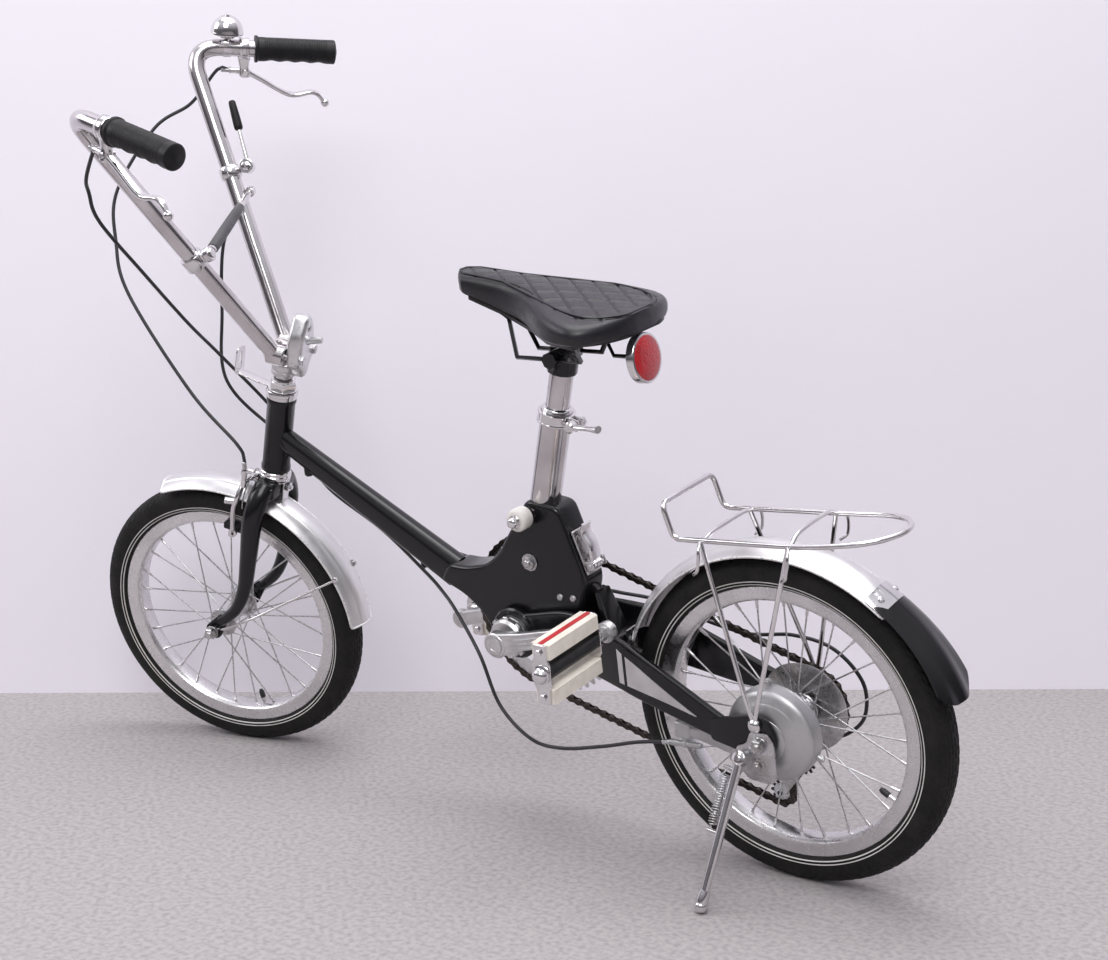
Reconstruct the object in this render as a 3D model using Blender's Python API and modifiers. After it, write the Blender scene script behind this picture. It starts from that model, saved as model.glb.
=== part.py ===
"""A folding bike with 16-inch wheels, standing on its kickstand with its wheel and bars turned left.

Metres and degrees. The pieces are built in the bike's own upright frame: the origin is on the ground
below the rear axle, +X points forward, +Y left and +Z up. Empties on the joints' axes carry them.
The steering is then turned, and the whole bike leans on its stand.
"""
import math

import bmesh
import bpy
from mathutils import Matrix, Vector

GAP = 0.0003              # clearance between pieces that touch
RUNNING = 0.0006          # clearance round a turning piece

# Stance in the photograph
LEAN = 10.4               # to the left, onto the stand
STEER_TURN = 14.8         # fork to the left
STEM_TURN = 7.4           # the stem is set a little further left in the fork
CRANK_ANGLE = 14.5        # left crank above level, pointing back
PEDAL_TILT = 91.0

# Wheels
WHEEL_R = 0.200
TYRE_W = 0.044
TYRE_H = 0.041
BEAD_SINK = 0.0015         # the tyre's foot laps the rim's edge by this much
RIM_R = WHEEL_R - TYRE_H + BEAD_SINK
RIM_DEPTH = 0.0145
RIM_W = 0.027
SPOKES = 28
SPOKE_D = 0.0020
SPOKE_END_GAP = 0.0018    # spokes stop this short of the rim's inner face
SPOKE_SINK = 0.0004       # a spoke's axis lies this far inside its flange's face
SPOKE_LACE = 2            # holes of the flange between a spoke's own hole and its nipple
FLANGE_R = 0.0205
FLANGE_T = 0.0028
AXLE_R = 0.0048
HUB_NECK_R = 0.0105        # the rear hub's end, inside the sprockets
HUB_STEPS = 12
DRUM_R = 0.0465
DRUM_IN = 0.0340
DRUM_OUT = 0.0470
COVER_R = 0.0550
COVER_IN = 0.0300
GUARD_RING_R = 0.0545     # ring between the sprockets and the spokes
GUARD_RING_Y = 0.0315
FRONT_FLANGE_Y = 0.0290
REAR_FLANGE_Y = 0.0240
WHEEL_STEPS = 24
REAR_VALVE = 212.1
FRONT_VALVE = 263.6

CABLE_R = 0.0024

# Rear end
REAR_DROP_IN = 0.0630     # inner face of each rear dropout
DROPOUT_T = 0.0060
BRIDGE_X = 0.2245         # cross piece between the beams, before the tyre
BRIDGE_Z = 0.2550
STAND_T = 0.0030
STAND_X = 0.0210
STAND_Y = 0.0830
STAND_Z = 0.1840
STAND_PIN_R = 0.0042
STAND_EYE_HALF = 0.0042
STAND_LEG_R = 0.0055
STAND_FOOT_R = 0.0080
SPRING_R = 0.0048
SPRING_WIRE = 0.0016
SPRING_TURNS = 8
SPRING_POINTS = 8
SPRING_OFFSET = 0.0140    # the spring's axis before the leg's
SPRING_HIGH = 0.0140
SPRING_LOW = 0.0860
REACTION_X = 0.1060       # the brake's reaction arm meets its clip
REACTION_Z = 0.1860
BAND_PIVOT_X = 0.0430
BAND_PIVOT_Y = 0.0585
BAND_PIVOT_Z = 0.1860
BAND_LEVER_HALF = 0.0014
BAND_PIN_R = 0.0026
BB_X = 0.365
BB_Z = 0.258
LUG_R = 0.0330
LUG_T = 0.0097
BEAM_T = 0.0100
BEAM_FORE_Y = 0.0470      # middle of a beam beside the front of the tyre
BEAM_FORE_X = 0.200
BEAM_AFT_X = 0.050

# Head and fork, along the head axis s, forward of it f
FORK_IN = 0.0500          # inner face of each front dropout
FORK_DROP_T = 0.0045
HEAD_X = 0.769
HEAD_Z = 0.424
HEAD_ANGLE = 71.7
HEAD_LEN = 0.1085
HEAD_R = 0.0185
STEERER_R = 0.0127
STEERER_TOP = 0.1318
QUILL_R = 0.0109
CUP_R = 0.0215
CUP_H = 0.0110
RAKE = 0.0465
FORK_DROP = 0.2514
BLADE_Y = 0.0550
BLADE_TOP_R = 0.0120
BLADE_LOW_R = 0.0070
LAMP_PLATE_T = 0.0020
BRAKE_BOLT_S = -0.0220
BRAKE_BOLT_R = 0.0030
PAD_F = 0.0385

# Frame shell
BOX_HALF = 0.0210
TUBE_HEAD_W = 0.0240
TUBE_HEAD_H = 0.0300
TUBE_BOX_W = 0.0300
TUBE_BOX_H = 0.0440
TUBE_JOIN_S = 0.0520      # where the main tube meets the head axis
TUBE_BOX_X = 0.4700
TUBE_BOX_Z = 0.3150
BB_SHELL_R = 0.0245
CUP_BORE_R = 0.0165
CUP_LEFT_OUT = 0.0180
CUP_RIGHT_OUT = 0.0050
SPINDLE_R = 0.0085
BOLT_X = 0.3340
BOLT_Z = 0.3530
BOLT_R = 0.0050
ROLLER_X = 0.3280
ROLLER_Z = 0.4150
ROLLER_R = 0.0140
ROLLER_IN = 0.0060        # from the box's side
ROLLER_OUT = 0.0265
ROLLER_NUT = 0.0085
ROLLER_PIN_R = 0.0040
LATCH_PIVOT_UP = 0.0180
LATCH_PIVOT_OUT = 0.0105
LATCH_PIN_R = 0.0022

# Seat
SEAT_X = 0.317
SEAT_Z = 0.423
SEAT_TILT = 15.9
SEAT_TUBE_R = 0.0185
SEAT_TUBE_TOP = 0.1270
SEAT_TUBE_LOW = -0.0550
POST_R = 0.0143
POST_LOW = 0.0100
POST_TOP = 0.2000
SKEWER_R = 0.0028

# Saddle
SADDLE_NOSE_TOP = 0.7090
SADDLE_TAIL_TOP = 0.6695
SADDLE_BULGE = 0.0060
SADDLE_NOSE_FOOT = 0.6900
SADDLE_TAIL_FOOT = 0.6445
SADDLE_REAR_X = 0.1460
SADDLE_NOSE_X = 0.4030
SADDLE_HALF_W = 0.0970
QUILT_DEPTH = 0.0026
PAN_GAP = 0.0012            # below the cushion, whose foot curves between stations
REFLECTOR_R = 0.0285
REFLECTOR_X = 0.1580
REFLECTOR_Z = 0.6130

# Cranks and chain
CRANK_LEN = 0.172
SPROCKET_GAP = 0.0014      # between the chain and the wheels under it
CRANK_IN = 0.0580         # inner face of each crank arm
CRANK_T = 0.0130
CHAIN_Y = -0.0400
CHAIN_HALF_W = 0.0034
CHAIN_HALF_H = 0.0042
RING_PITCH_R = 0.105
SPROCKET_PITCH_R = 0.048
SPROCKET_STEP = 0.0055
PULLEY_R = 0.0165
PULLEY_TOP_X = 0.0120
PULLEY_TOP_DROP = 0.0780   # below the rear axle
PULLEY_TOP_Z = WHEEL_R - PULLEY_TOP_DROP
PULLEY_LOW_X = 0.0440
PULLEY_LOW_DROP = 0.1220
PULLEY_LOW_Z = WHEEL_R - PULLEY_LOW_DROP
RING_IN = 0.0368
PEDAL_AXLE_R = 0.0050
PEDAL_PLAY = 0.0007       # round the axle in the pedal's barrel
PEDAL_IN = 0.0920
PEDAL_OUT = 0.1920

# Bars, in the stem's own frame
BAR_R = 0.0111
GRIP_R = 0.0160
BAR_PIVOT_S = 0.1760
BAR_PIVOT_Y = 0.0210
BAR_EYE_F = 0.0065
BAR_PIN_R = 0.0045
STEM_LOW_S = 0.1430
STEM_FACE = 0.0075
GRIP_LEN = 0.1050
LEVER_HALF = 0.0060
LEVER_HORN = 0.0200         # the cable's barrel reaches this far before the pivot
ROD_R = 0.0042
ROD_LEFT = 0.42
ROD_RIGHT = 0.49
ROD_PIN_R = 0.0048
SHIFT_T = 0.575
SHIFT_PIN_R = 0.0030
SHIFT_BARREL = 0.0120
SHIFT_HUB_OUT = 0.0135    # from the bar's surface
BELL_POST_R = 0.0060
BELL_SEAT = 0.0010        # the bell's foot stands this far off the bar
BELL_POST = 0.0075
BELL_LEVER_DROP = 0.0042  # the lever's ring below the dome

# Mudguards
GUARD_GAP = 0.0150         # between the tyre's tread and the guards' skin
GUARD_R = WHEEL_R + GUARD_GAP
GUARD_HALF_W = 0.0270
GUARD_T = 0.0012
GUARD_RISE = 0.0110

FRONT_GUARD_FROM = 75.0
FRONT_GUARD_TO = 181.0
REAR_GUARD_FROM = 21.5
REAR_GUARD_TO = 131.5
FLAP_TO = 164.0
STAY_ANGLE = 160.0
STAY_R = 0.0018

# Carrier
CARRIER_D = 0.0065
CARRIER_HALF_W = 0.0540
CARRIER_Z = 0.4240
STRUT_X = 0.0050
STRUT_Z = 0.2220
STRUT_Y = 0.0722

LOCK_S = HEAD_LEN + CUP_H + RUNNING
STAY_Y = FORK_IN + FORK_DROP_T + GAP + STAY_R
FRONT_CLAMP = STAY_Y + STAY_R

STEEL = ((0.75, 0.75, 0.77, 1.0), 0.22, 1.0)
CHROME = ((0.83, 0.83, 0.85, 1.0), 0.10, 1.0)
ALLOY = ((0.70, 0.70, 0.72, 1.0), 0.35, 1.0)
BLACK_PAINT = ((0.012, 0.012, 0.014, 1.0), 0.28, 0.0)
BLACK_RUBBER = ((0.018, 0.018, 0.018, 1.0), 0.62, 0.0)
BLACK_VINYL = ((0.015, 0.015, 0.017, 1.0), 0.42, 0.0)
CREAM = ((0.86, 0.82, 0.74, 1.0), 0.45, 0.0)
SILVER_PAINT = ((0.78, 0.77, 0.78, 1.0), 0.35, 0.6)
DARK_STEEL = ((0.09, 0.085, 0.08, 1.0), 0.38, 0.9)
RED_LENS = ((0.70, 0.02, 0.03, 1.0), 0.12, 0.0)
WHITE_PLASTIC = ((0.85, 0.84, 0.82, 1.0), 0.40, 0.0)

X_AXIS = Vector((1, 0, 0))
Y_AXIS = Vector((0, 1, 0))
Z_AXIS = Vector((0, 0, 1))

FLAT_ANGLE = math.radians(0.4)    # faces turned less than this are one flat face

partCollection = None
jointEmpties = {}


def clearScene():
    for old in list(bpy.data.objects):
        bpy.data.objects.remove(old)


def material(name, look):
    """A Principled material from a (colour, roughness, metallic) look."""
    made = bpy.data.materials.new(name)
    made.use_nodes = True
    shader = made.node_tree.nodes["Principled BSDF"]
    shader.inputs["Base Color"].default_value = look[0]
    shader.inputs["Roughness"].default_value = look[1]
    shader.inputs["Metallic"].default_value = look[2]
    made.diffuse_color = look[0]
    return made


def linked(mesh, name="piece"):
    obj = bpy.data.objects.new(name, mesh)
    bpy.context.scene.collection.objects.link(obj)
    return obj


def solid(obj):
    """The evaluated object as a plain welded mesh in the bike's frame, with its faces outward."""
    bpy.context.view_layer.update()
    graph = bpy.context.evaluated_depsgraph_get()
    mesh = bpy.data.meshes.new_from_object(obj.evaluated_get(graph))
    mesh.transform(obj.matrix_world)
    bpy.data.objects.remove(obj)
    work = bmesh.new()
    work.from_mesh(mesh)
    bmesh.ops.remove_doubles(work, verts=work.verts, dist=0.00001)
    bmesh.ops.dissolve_degenerate(work, edges=work.edges, dist=0.000005)
    bmesh.ops.recalc_face_normals(work, faces=work.faces)
    work.to_mesh(mesh)
    work.free()
    return linked(mesh)


def aligned(origin, direction, across=None):
    """A matrix whose Z runs along direction, and whose X is as near across as it can be."""
    z = Vector(direction).normalized()
    hint = Vector(across) if across is not None else (X_AXIS if abs(z.x) < 0.9 else Z_AXIS)
    x = (hint - z * hint.dot(z)).normalized()
    y = z.cross(x)
    turn = Matrix((x, y, z)).transposed()
    return Matrix.Translation(Vector(origin)) @ turn.to_4x4()


def rod(start, end, radius, sides=16, endRadius=None, across=None):
    """A cylinder or cone between two points."""
    start = Vector(start)
    end = Vector(end)
    work = bmesh.new()
    bmesh.ops.create_cone(work, cap_ends=True, segments=sides, radius1=radius,
                          radius2=radius if endRadius is None else endRadius,
                          depth=(end - start).length)
    mesh = bpy.data.meshes.new("rod")
    work.to_mesh(mesh)
    work.free()
    mesh.transform(aligned((start + end) / 2, end - start, across))
    return linked(mesh)


def overFlats(radius, sides):
    """The radius at the corners of a bore with this many sides that a pin of radius turns in."""
    return (radius + GAP) / math.cos(math.pi / sides)


def block(centre, size, matrix=None):
    """A box of the given size, in the axes of matrix if there is one."""
    work = bmesh.new()
    bmesh.ops.create_cube(work, size=1.0)
    bmesh.ops.scale(work, vec=size, verts=work.verts)
    mesh = bpy.data.meshes.new("block")
    work.to_mesh(mesh)
    work.free()
    turn = matrix.to_3x3().to_4x4() if matrix else Matrix.Identity(4)
    mesh.transform(Matrix.Translation(Vector(centre)) @ turn)
    return linked(mesh)


def ball(centre, radius, sides=12, rings=8):
    work = bmesh.new()
    bmesh.ops.create_uvsphere(work, u_segments=sides, v_segments=rings, radius=radius)
    mesh = bpy.data.meshes.new("ball")
    work.to_mesh(mesh)
    work.free()
    mesh.transform(Matrix.Translation(Vector(centre)))
    return linked(mesh)


def rounded(points, radius, steps=4):
    """A polyline with each inner corner turned into an arc of about the given radius."""
    points = [Vector(p) for p in points]
    result = [points[0]]
    for before, corner, after in zip(points, points[1:], points[2:]):
        back = before - corner
        ahead = after - corner
        reach = min(radius, back.length * 0.48, ahead.length * 0.48)
        first = corner + back.normalized() * reach
        last = corner + ahead.normalized() * reach
        for step in range(steps + 1):
            t = step / steps
            result.append(first * (1 - t) ** 2 + corner * 2 * t * (1 - t) + last * t ** 2)
    result.append(points[-1])
    return result


def smoothed(points, spacing):
    """Points about spacing apart on a smooth curve through the given points."""
    points = [Vector(p) for p in points]
    ends = [points[0] * 2 - points[1]] + points + [points[-1] * 2 - points[-2]]
    result = [points[0]]
    for a, b, c, d in zip(ends, ends[1:], ends[2:], ends[3:]):
        count = max(1, round((c - b).length / spacing))
        for step in range(1, count + 1):
            t = step / count
            result.append(0.5 * ((b * 2) + (c - a) * t + (a * 2 - b * 5 + c * 4 - d) * t ** 2
                                 + (b * 3 - a - c * 3 + d) * t ** 3))
    return result


def wire(points, radius, resolution=1, cyclic=False, taper=None):
    """A tube along a polyline, as a curve with a bevel and filled caps."""
    curve = bpy.data.curves.new("wire", "CURVE")
    curve.dimensions = "3D"
    curve.bevel_depth = radius
    curve.bevel_resolution = resolution
    curve.use_fill_caps = not cyclic
    spline = curve.splines.new("POLY")
    spline.points.add(len(points) - 1)
    for index, point in enumerate(points):
        spline.points[index].co = (*point, 1.0)
        if taper:
            spline.points[index].radius = taper(index / (len(points) - 1))
    spline.use_cyclic_u = cyclic
    obj = bpy.data.objects.new("wire", curve)
    bpy.context.scene.collection.objects.link(obj)
    return solid(obj)


def flat(outline, thickness, matrix):
    """A flat outline in the matrix's XY plane, half its thickness each way along its Z."""
    curve = bpy.data.curves.new("flat", "CURVE")
    curve.dimensions = "2D"
    curve.fill_mode = "BOTH"
    curve.extrude = thickness / 2
    spline = curve.splines.new("POLY")
    spline.points.add(len(outline) - 1)
    for index, (a, b) in enumerate(outline):
        spline.points[index].co = (a, b, 0.0, 1.0)
    spline.use_cyclic_u = True
    obj = bpy.data.objects.new("flat", curve)
    bpy.context.scene.collection.objects.link(obj)
    obj.matrix_world = matrix
    return solid(obj)


def sidePlane(y):
    """A plane seen from the bike's side: its X is the bike's X, its Y is up."""
    return Matrix(((1, 0, 0, 0), (0, 0, -1, y), (0, 1, 0, 0), (0, 0, 0, 1)))


def turned(profile, origin, direction, steps=24, ring=False, across=None):
    """A profile of (radius, height) points, top to bottom, turned round direction at origin."""
    mesh = bpy.data.meshes.new("turned")
    points = [(radius, 0.0, height) for radius, height in profile]
    edges = [(i, i + 1) for i in range(len(points) - 1)]
    if ring:
        edges.append((len(points) - 1, 0))
    mesh.from_pydata(points, edges, [])
    obj = linked(mesh)
    screw = obj.modifiers.new("screw", "SCREW")
    screw.axis = "Z"
    screw.steps = steps
    screw.render_steps = steps
    screw.use_merge_vertices = True
    screw.merge_threshold = 0.00001
    obj.matrix_world = aligned(origin, direction, across)
    return solid(obj)


def loft(sections, cyclic=False):
    """Skin a list of closed rings of equal length; the ends are capped unless the loft is cyclic."""
    count = len(sections[0])
    verts = [tuple(p) for ring in sections for p in ring]
    faces = []
    spans = len(sections) if cyclic else len(sections) - 1
    for i in range(spans):
        low = i * count
        high = ((i + 1) % len(sections)) * count
        for j in range(count):
            k = (j + 1) % count
            faces.append((low + j, low + k, high + k, high + j))
    if not cyclic:
        faces.append(tuple(reversed(range(count))))
        faces.append(tuple((len(sections) - 1) * count + j for j in range(count)))
    mesh = bpy.data.meshes.new("loft")
    mesh.from_pydata(verts, [], faces)
    return solid(linked(mesh))


def combine(base, tools, operation):
    """Boolean tools into base one by one, with the exact solver."""
    for tool in tools:
        step = base.modifiers.new(operation.lower(), "BOOLEAN")
        step.operation = operation
        step.solver = "EXACT"
        step.object = tool
        made = solid(base)
        bpy.data.objects.remove(tool)
        base = made
    work = bmesh.new()
    work.from_mesh(base.data)
    bmesh.ops.dissolve_limit(work, angle_limit=FLAT_ANGLE, verts=work.verts, edges=work.edges)
    work.to_mesh(base.data)
    work.free()
    return base


def fuse(base, *tools):
    return combine(base, tools, "UNION")


def cut(base, *tools):
    return combine(base, tools, "DIFFERENCE")


def bevelled(obj, width, segments=1, angle=40):
    bevel = obj.modifiers.new("bevel", "BEVEL")
    bevel.width = width
    bevel.segments = segments
    bevel.limit_method = "ANGLE"
    bevel.angle_limit = math.radians(angle)
    return solid(obj)


def pivot(name, point, axis, parent=None):
    """An empty on a joint's axis, its Z along the axis."""
    empty = bpy.data.objects.new("joint_" + name, None)
    empty.empty_display_size = 0.03
    bpy.context.scene.collection.objects.link(empty)
    empty.matrix_world = aligned(point, axis)
    if parent:
        hang(empty, jointEmpties[parent])
    jointEmpties[name] = empty
    return empty


def hang(obj, parent):
    """Parent obj where it stands."""
    bpy.context.view_layer.update()
    obj.parent = parent
    obj.matrix_parent_inverse = parent.matrix_world.inverted()


def part(name, obj, look, joint):
    """Name a finished piece, give it its material and hang it on its joint."""
    obj.name = name
    obj.data.name = name
    for polygon in obj.data.polygons:
        polygon.use_smooth = True
    obj.data.set_sharp_from_angle(angle=math.radians(38))
    obj.data.materials.clear()
    obj.data.materials.append(material(name, look))
    for holder in list(obj.users_collection):
        holder.objects.unlink(obj)
    partCollection.objects.link(obj)
    hang(obj, jointEmpties[joint])
    return obj


def headUp():
    angle = math.radians(HEAD_ANGLE)
    return Vector((-math.cos(angle), 0, math.sin(angle)))


def headForward():
    angle = math.radians(HEAD_ANGLE)
    return Vector((math.sin(angle), 0, math.cos(angle)))


def atHead(s, f=0.0, y=0.0):
    """A point s up the head axis from the head tube's foot, f forward of the axis and y left."""
    return Vector((HEAD_X, y, HEAD_Z)) + headUp() * s + headForward() * f


def headTurn():
    """Axes of the head: X forward, Y left, Z up the axis."""
    return Matrix((headForward(), Y_AXIS, headUp())).transposed().to_4x4()


def headBlock(sLow, sHigh, fBack, fFront, yRight, yLeft):
    """A box in the head's axes."""
    centre = atHead((sLow + sHigh) / 2, (fBack + fFront) / 2, (yRight + yLeft) / 2)
    return block(centre, (fFront - fBack, yLeft - yRight, sHigh - sLow), headTurn())


def atSeat(s, f=0.0, y=0.0):
    """A point s up the seat post's axis from the top of the box, f forward of it."""
    tilt = math.radians(SEAT_TILT)
    up = Vector((-math.sin(tilt), 0, math.cos(tilt)))
    ahead = Vector((math.cos(tilt), 0, math.sin(tilt)))
    return Vector((SEAT_X, y, SEAT_Z)) + up * s + ahead * f


def seatUp():
    return (atSeat(1.0) - atSeat(0.0)).normalized()


def seatTurn():
    ahead = atSeat(0, 1.0) - atSeat(0)
    return Matrix((ahead, Y_AXIS, seatUp())).transposed().to_4x4()


def frontAxle():
    return atHead(-FORK_DROP, RAKE)


def bb(y=0.0, x=0.0, z=0.0):
    return Vector((BB_X + x, y, BB_Z + z))


def onWheel(centre, radius, angle, y=0.0):
    """A point in the wheel's plane: angle from straight ahead, upward."""
    turn = math.radians(angle)
    return Vector((centre.x + radius * math.cos(turn), y, centre.z + radius * math.sin(turn)))


def roundRing(centre, across, up, halfAcross, halfUp, chamfer):
    """Eight points round a rectangle with cut corners."""
    a = halfAcross
    b = halfUp
    c = chamfer
    ring = [(a, -b + c), (a, b - c), (a - c, b), (-a + c, b),
            (-a, b - c), (-a, -b + c), (-a + c, -b), (a - c, -b)]
    return [Vector(centre) + across * x + up * z for x, z in ring]


# Wheels

def tyre(centre, down, name, joint):
    """A tyre with its tread's edge and its bead in the rim."""
    half = [(WHEEL_R, TYRE_W * 0.14), (WHEEL_R - 0.0065, TYRE_W * 0.39), (WHEEL_R - 0.0190, TYRE_W / 2),
            (RIM_R + RUNNING, RIM_W * 0.54)]
    profile = [(r, h) for r, h in reversed(half)] + [(r, -h) for r, h in half]
    made = turned(profile, centre, Y_AXIS, WHEEL_STEPS, True, down)
    return part(name, made, BLACK_RUBBER, joint)


def rim(centre, down, valveAngle, name, joint):
    """A rim with flanges, a well and its valve."""
    w = RIM_W / 2
    inner = RIM_R - RIM_DEPTH
    half = [(RIM_R, w), (RIM_R - 0.0075, RIM_W * 0.25)]
    low = [(inner + 0.0040, w * 0.94), (inner, w * 0.55)]
    profile = half + [(r, -h) for r, h in reversed(half)] + [(r, -h) for r, h in low] \
        + list(reversed(low))
    made = turned(profile, centre, Y_AXIS, WHEEL_STEPS, True, down)
    outer = onWheel(centre, inner + 0.003, valveAngle)
    tip = onWheel(centre, inner - 0.017, valveAngle)
    made = fuse(made, rod(outer, tip, 0.0032, 6))
    return part(name, made, ALLOY, joint)


def spokeSet(centre, flangeY):
    """Crossed spokes on both flanges, as one mesh of bodies that don't meet."""
    perFlange = SPOKES // 2
    pitch = 360.0 / perFlange
    work = bmesh.new()
    for side in (1, -1):
        for index in range(perFlange):
            lead = 1 if index % 2 else -1
            hubAngle = index * pitch + (pitch / 2 if side < 0 else 0)
            rimAngle = hubAngle + lead * SPOKE_LACE * pitch
            hubPoint = onWheel(centre, FLANGE_R - 0.0035, hubAngle,
                               side * (flangeY + lead * (FLANGE_T / 2 - SPOKE_SINK)))
            rimPoint = onWheel(centre, RIM_R - RIM_DEPTH - SPOKE_END_GAP, rimAngle, side * 0.0020)
            ahead = rimPoint - hubPoint
            made = bmesh.ops.create_cone(work, cap_ends=True, segments=3, radius1=SPOKE_D / 2,
                                         radius2=SPOKE_D / 2, depth=ahead.length)
            edgeOut = (Y_AXIS * side * lead).cross(ahead)
            bmesh.ops.transform(work, verts=made["verts"],
                                matrix=aligned((hubPoint + rimPoint) / 2, ahead, edgeOut))
    mesh = bpy.data.meshes.new("spokes")
    work.to_mesh(mesh)
    work.free()
    return linked(mesh)


def hubProfile(flangeY, leftEnd, rightEnd, barrel, neck):
    """A hub shell's outline between its left and right ends."""
    t = FLANGE_T / 2
    side = [(neck, flangeY + t), (FLANGE_R, flangeY + t), (FLANGE_R, flangeY - t), (barrel, flangeY - t)]
    return [(0.0, leftEnd), (neck, leftEnd)] + side + [(r, -h) for r, h in reversed(side)] \
        + [(neck, -rightEnd), (0.0, -rightEnd)]


def bored(made, centre):
    """A hub with the axle's bore through it."""
    return cut(made, rod(centre + Y_AXIS * 0.1, centre - Y_AXIS * 0.1, overFlats(AXLE_R, 8), 8))


def frontHub():
    centre = frontAxle()
    end = FORK_IN - RUNNING
    made = turned(hubProfile(FRONT_FLANGE_Y, end, end, 0.0115, 0.0095), centre, Y_AXIS, HUB_STEPS)
    made = bored(fuse(made, spokeSet(centre, FRONT_FLANGE_Y)), centre)
    return part("front_hub", made, STEEL, "front_wheel")


def rearHub():
    """The rear hub with its brake drum on the left and a spoke guard disc by the right flange."""
    centre = Vector((0, 0, WHEEL_R))
    profile = hubProfile(REAR_FLANGE_Y, DRUM_OUT + 0.0015, REAR_DROP_IN - RUNNING, 0.0150, HUB_NECK_R)
    made = turned(profile, centre, Y_AXIS, HUB_STEPS)
    drum = rod(centre + Y_AXIS * DRUM_IN, centre + Y_AXIS * DRUM_OUT, DRUM_R, 12)
    guard = rod(centre - Y_AXIS * (GUARD_RING_Y - 0.0006), centre - Y_AXIS * (GUARD_RING_Y + 0.0006),
                GUARD_RING_R, 12)
    made = bored(fuse(made, drum, guard, spokeSet(centre, REAR_FLANGE_Y)), centre)
    return part("rear_hub", made, STEEL, "rear_wheel")


def axle(centre, faceLeft, faceRight, name, joint):
    """An axle with a nut outside each clamped face."""
    reach = max(faceLeft, faceRight) + 0.0130
    made = rod(centre - Y_AXIS * reach, centre + Y_AXIS * reach, AXLE_R, 8)
    for side, face in ((1, faceLeft), (-1, faceRight)):
        made = fuse(made, rod(centre + Y_AXIS * side * (face + GAP),
                              centre + Y_AXIS * side * (face + 0.0085), 0.0088, 6))
    return part(name, made, STEEL, joint)


# Frame

def frameShell():
    """Head tube, main tube, box and bottom bracket in one weld, with the cups pressed in."""
    head = rod(atHead(0), atHead(HEAD_LEN), HEAD_R, 12)
    start = atHead(TUBE_JOIN_S)
    end = Vector((TUBE_BOX_X, 0, TUBE_BOX_Z))
    along = (end - start).normalized()
    up = Vector((-along.z, 0, along.x)) * -1
    sections = []
    for t in (0.0, 0.5, 1.0):
        halfW = (TUBE_HEAD_W * (1 - t) + TUBE_BOX_W * t) / 2
        halfH = (TUBE_HEAD_H * (1 - t) + TUBE_BOX_H * t) / 2
        sections.append(roundRing(start.lerp(end, t), Y_AXIS, up, halfW, halfH, halfW * 0.55))
    outline = [(SEAT_X - 0.032, SEAT_Z + 0.004), (SEAT_X + 0.014, SEAT_Z + 0.010),
               (0.347, 0.409), (0.366, 0.384), (0.384, 0.357), (0.408, 0.339), (0.440, 0.332),
               (TUBE_BOX_X - 0.002, TUBE_BOX_Z + 0.018), (TUBE_BOX_X + 0.014, TUBE_BOX_Z - 0.006),
               (BB_X + 0.083, BB_Z + 0.036), (BB_X + 0.058, BB_Z + 0.017),
               (BB_X + 0.036, BB_Z - 0.018), (BB_X, BB_Z - 0.035), (BB_X - 0.032, BB_Z - 0.026),
               (BB_X - 0.062, BB_Z - 0.006), (BB_X - 0.090, BB_Z + 0.016),
               (BB_X - 0.1010, BB_Z + 0.044), (BB_X - 0.1105, BB_Z + 0.077)]
    box = bevelled(flat(outline, BOX_HALF * 2, sidePlane(0)), 0.0035, angle=60)
    bossFoot = start.lerp(end, 0.16)
    guideFoot = start.lerp(end, 0.84)
    out = BOX_HALF + GAP + LUG_T
    cups = [rod(atHead(-CUP_H), atHead(0.002), CUP_R, 12),
            rod(atHead(HEAD_LEN - 0.002), atHead(HEAD_LEN + CUP_H), CUP_R, 12),
            rod(bb(out + GAP + 0.001), bb(-out - GAP - 0.001), CUP_BORE_R, 12),
            rod(bb(out + GAP), bb(out + CUP_LEFT_OUT), BB_SHELL_R, 12),
            rod(bb(-out - GAP), bb(-out - CUP_RIGHT_OUT), BB_SHELL_R, 12)]
    shell = fuse(box, loft(sections), head,
                 rod(bossFoot, bossFoot - Z_AXIS * 0.0290, 0.0060, 8),
                 rod(guideFoot - up * TUBE_BOX_H * 0.3, guideFoot - up * TUBE_BOX_H * 0.62, 0.0045, 6), *cups)
    shell = cut(shell,
                rod(atHead(-0.03), atHead(HEAD_LEN + 0.03), STEERER_R + RUNNING, 12),
                rod(atSeat(SEAT_TUBE_LOW - 0.002), atSeat(0.05), SEAT_TUBE_R + GAP, 12),
                rod(bb(0.09), bb(-0.09), overFlats(SPINDLE_R, 8), 8),
                rod((BOLT_X, BOX_HALF + 0.01, BOLT_Z), (BOLT_X, -BOX_HALF - 0.01, BOLT_Z),
                    BOLT_R + GAP, 8))
    return part("frame_shell", shell, BLACK_PAINT, "frame")


def seatTube():
    """The fixed lower post, open at both ends."""
    profile = [(SEAT_TUBE_R, SEAT_TUBE_TOP), (SEAT_TUBE_R, SEAT_TUBE_LOW),
               (POST_R + GAP, SEAT_TUBE_LOW), (POST_R + GAP, SEAT_TUBE_TOP)]
    return part("seat_tube", turned(profile, atSeat(0), seatUp(), 12, True), CHROME, "frame")


def boxBolt():
    """The big bolt through the box, with a head and a nut."""
    foot = Vector((BOLT_X, 0, BOLT_Z))
    made = rod(foot - Y_AXIS * (BOX_HALF + 0.004), foot + Y_AXIS * (BOX_HALF + 0.004), BOLT_R, 8)
    for side in (1, -1):
        made = fuse(made, rod(foot + Y_AXIS * side * (BOX_HALF + GAP),
                              foot + Y_AXIS * side * (BOX_HALF + 0.0055), 0.0095, 6))
    return part("box_bolt", made, STEEL, "frame")


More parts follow.
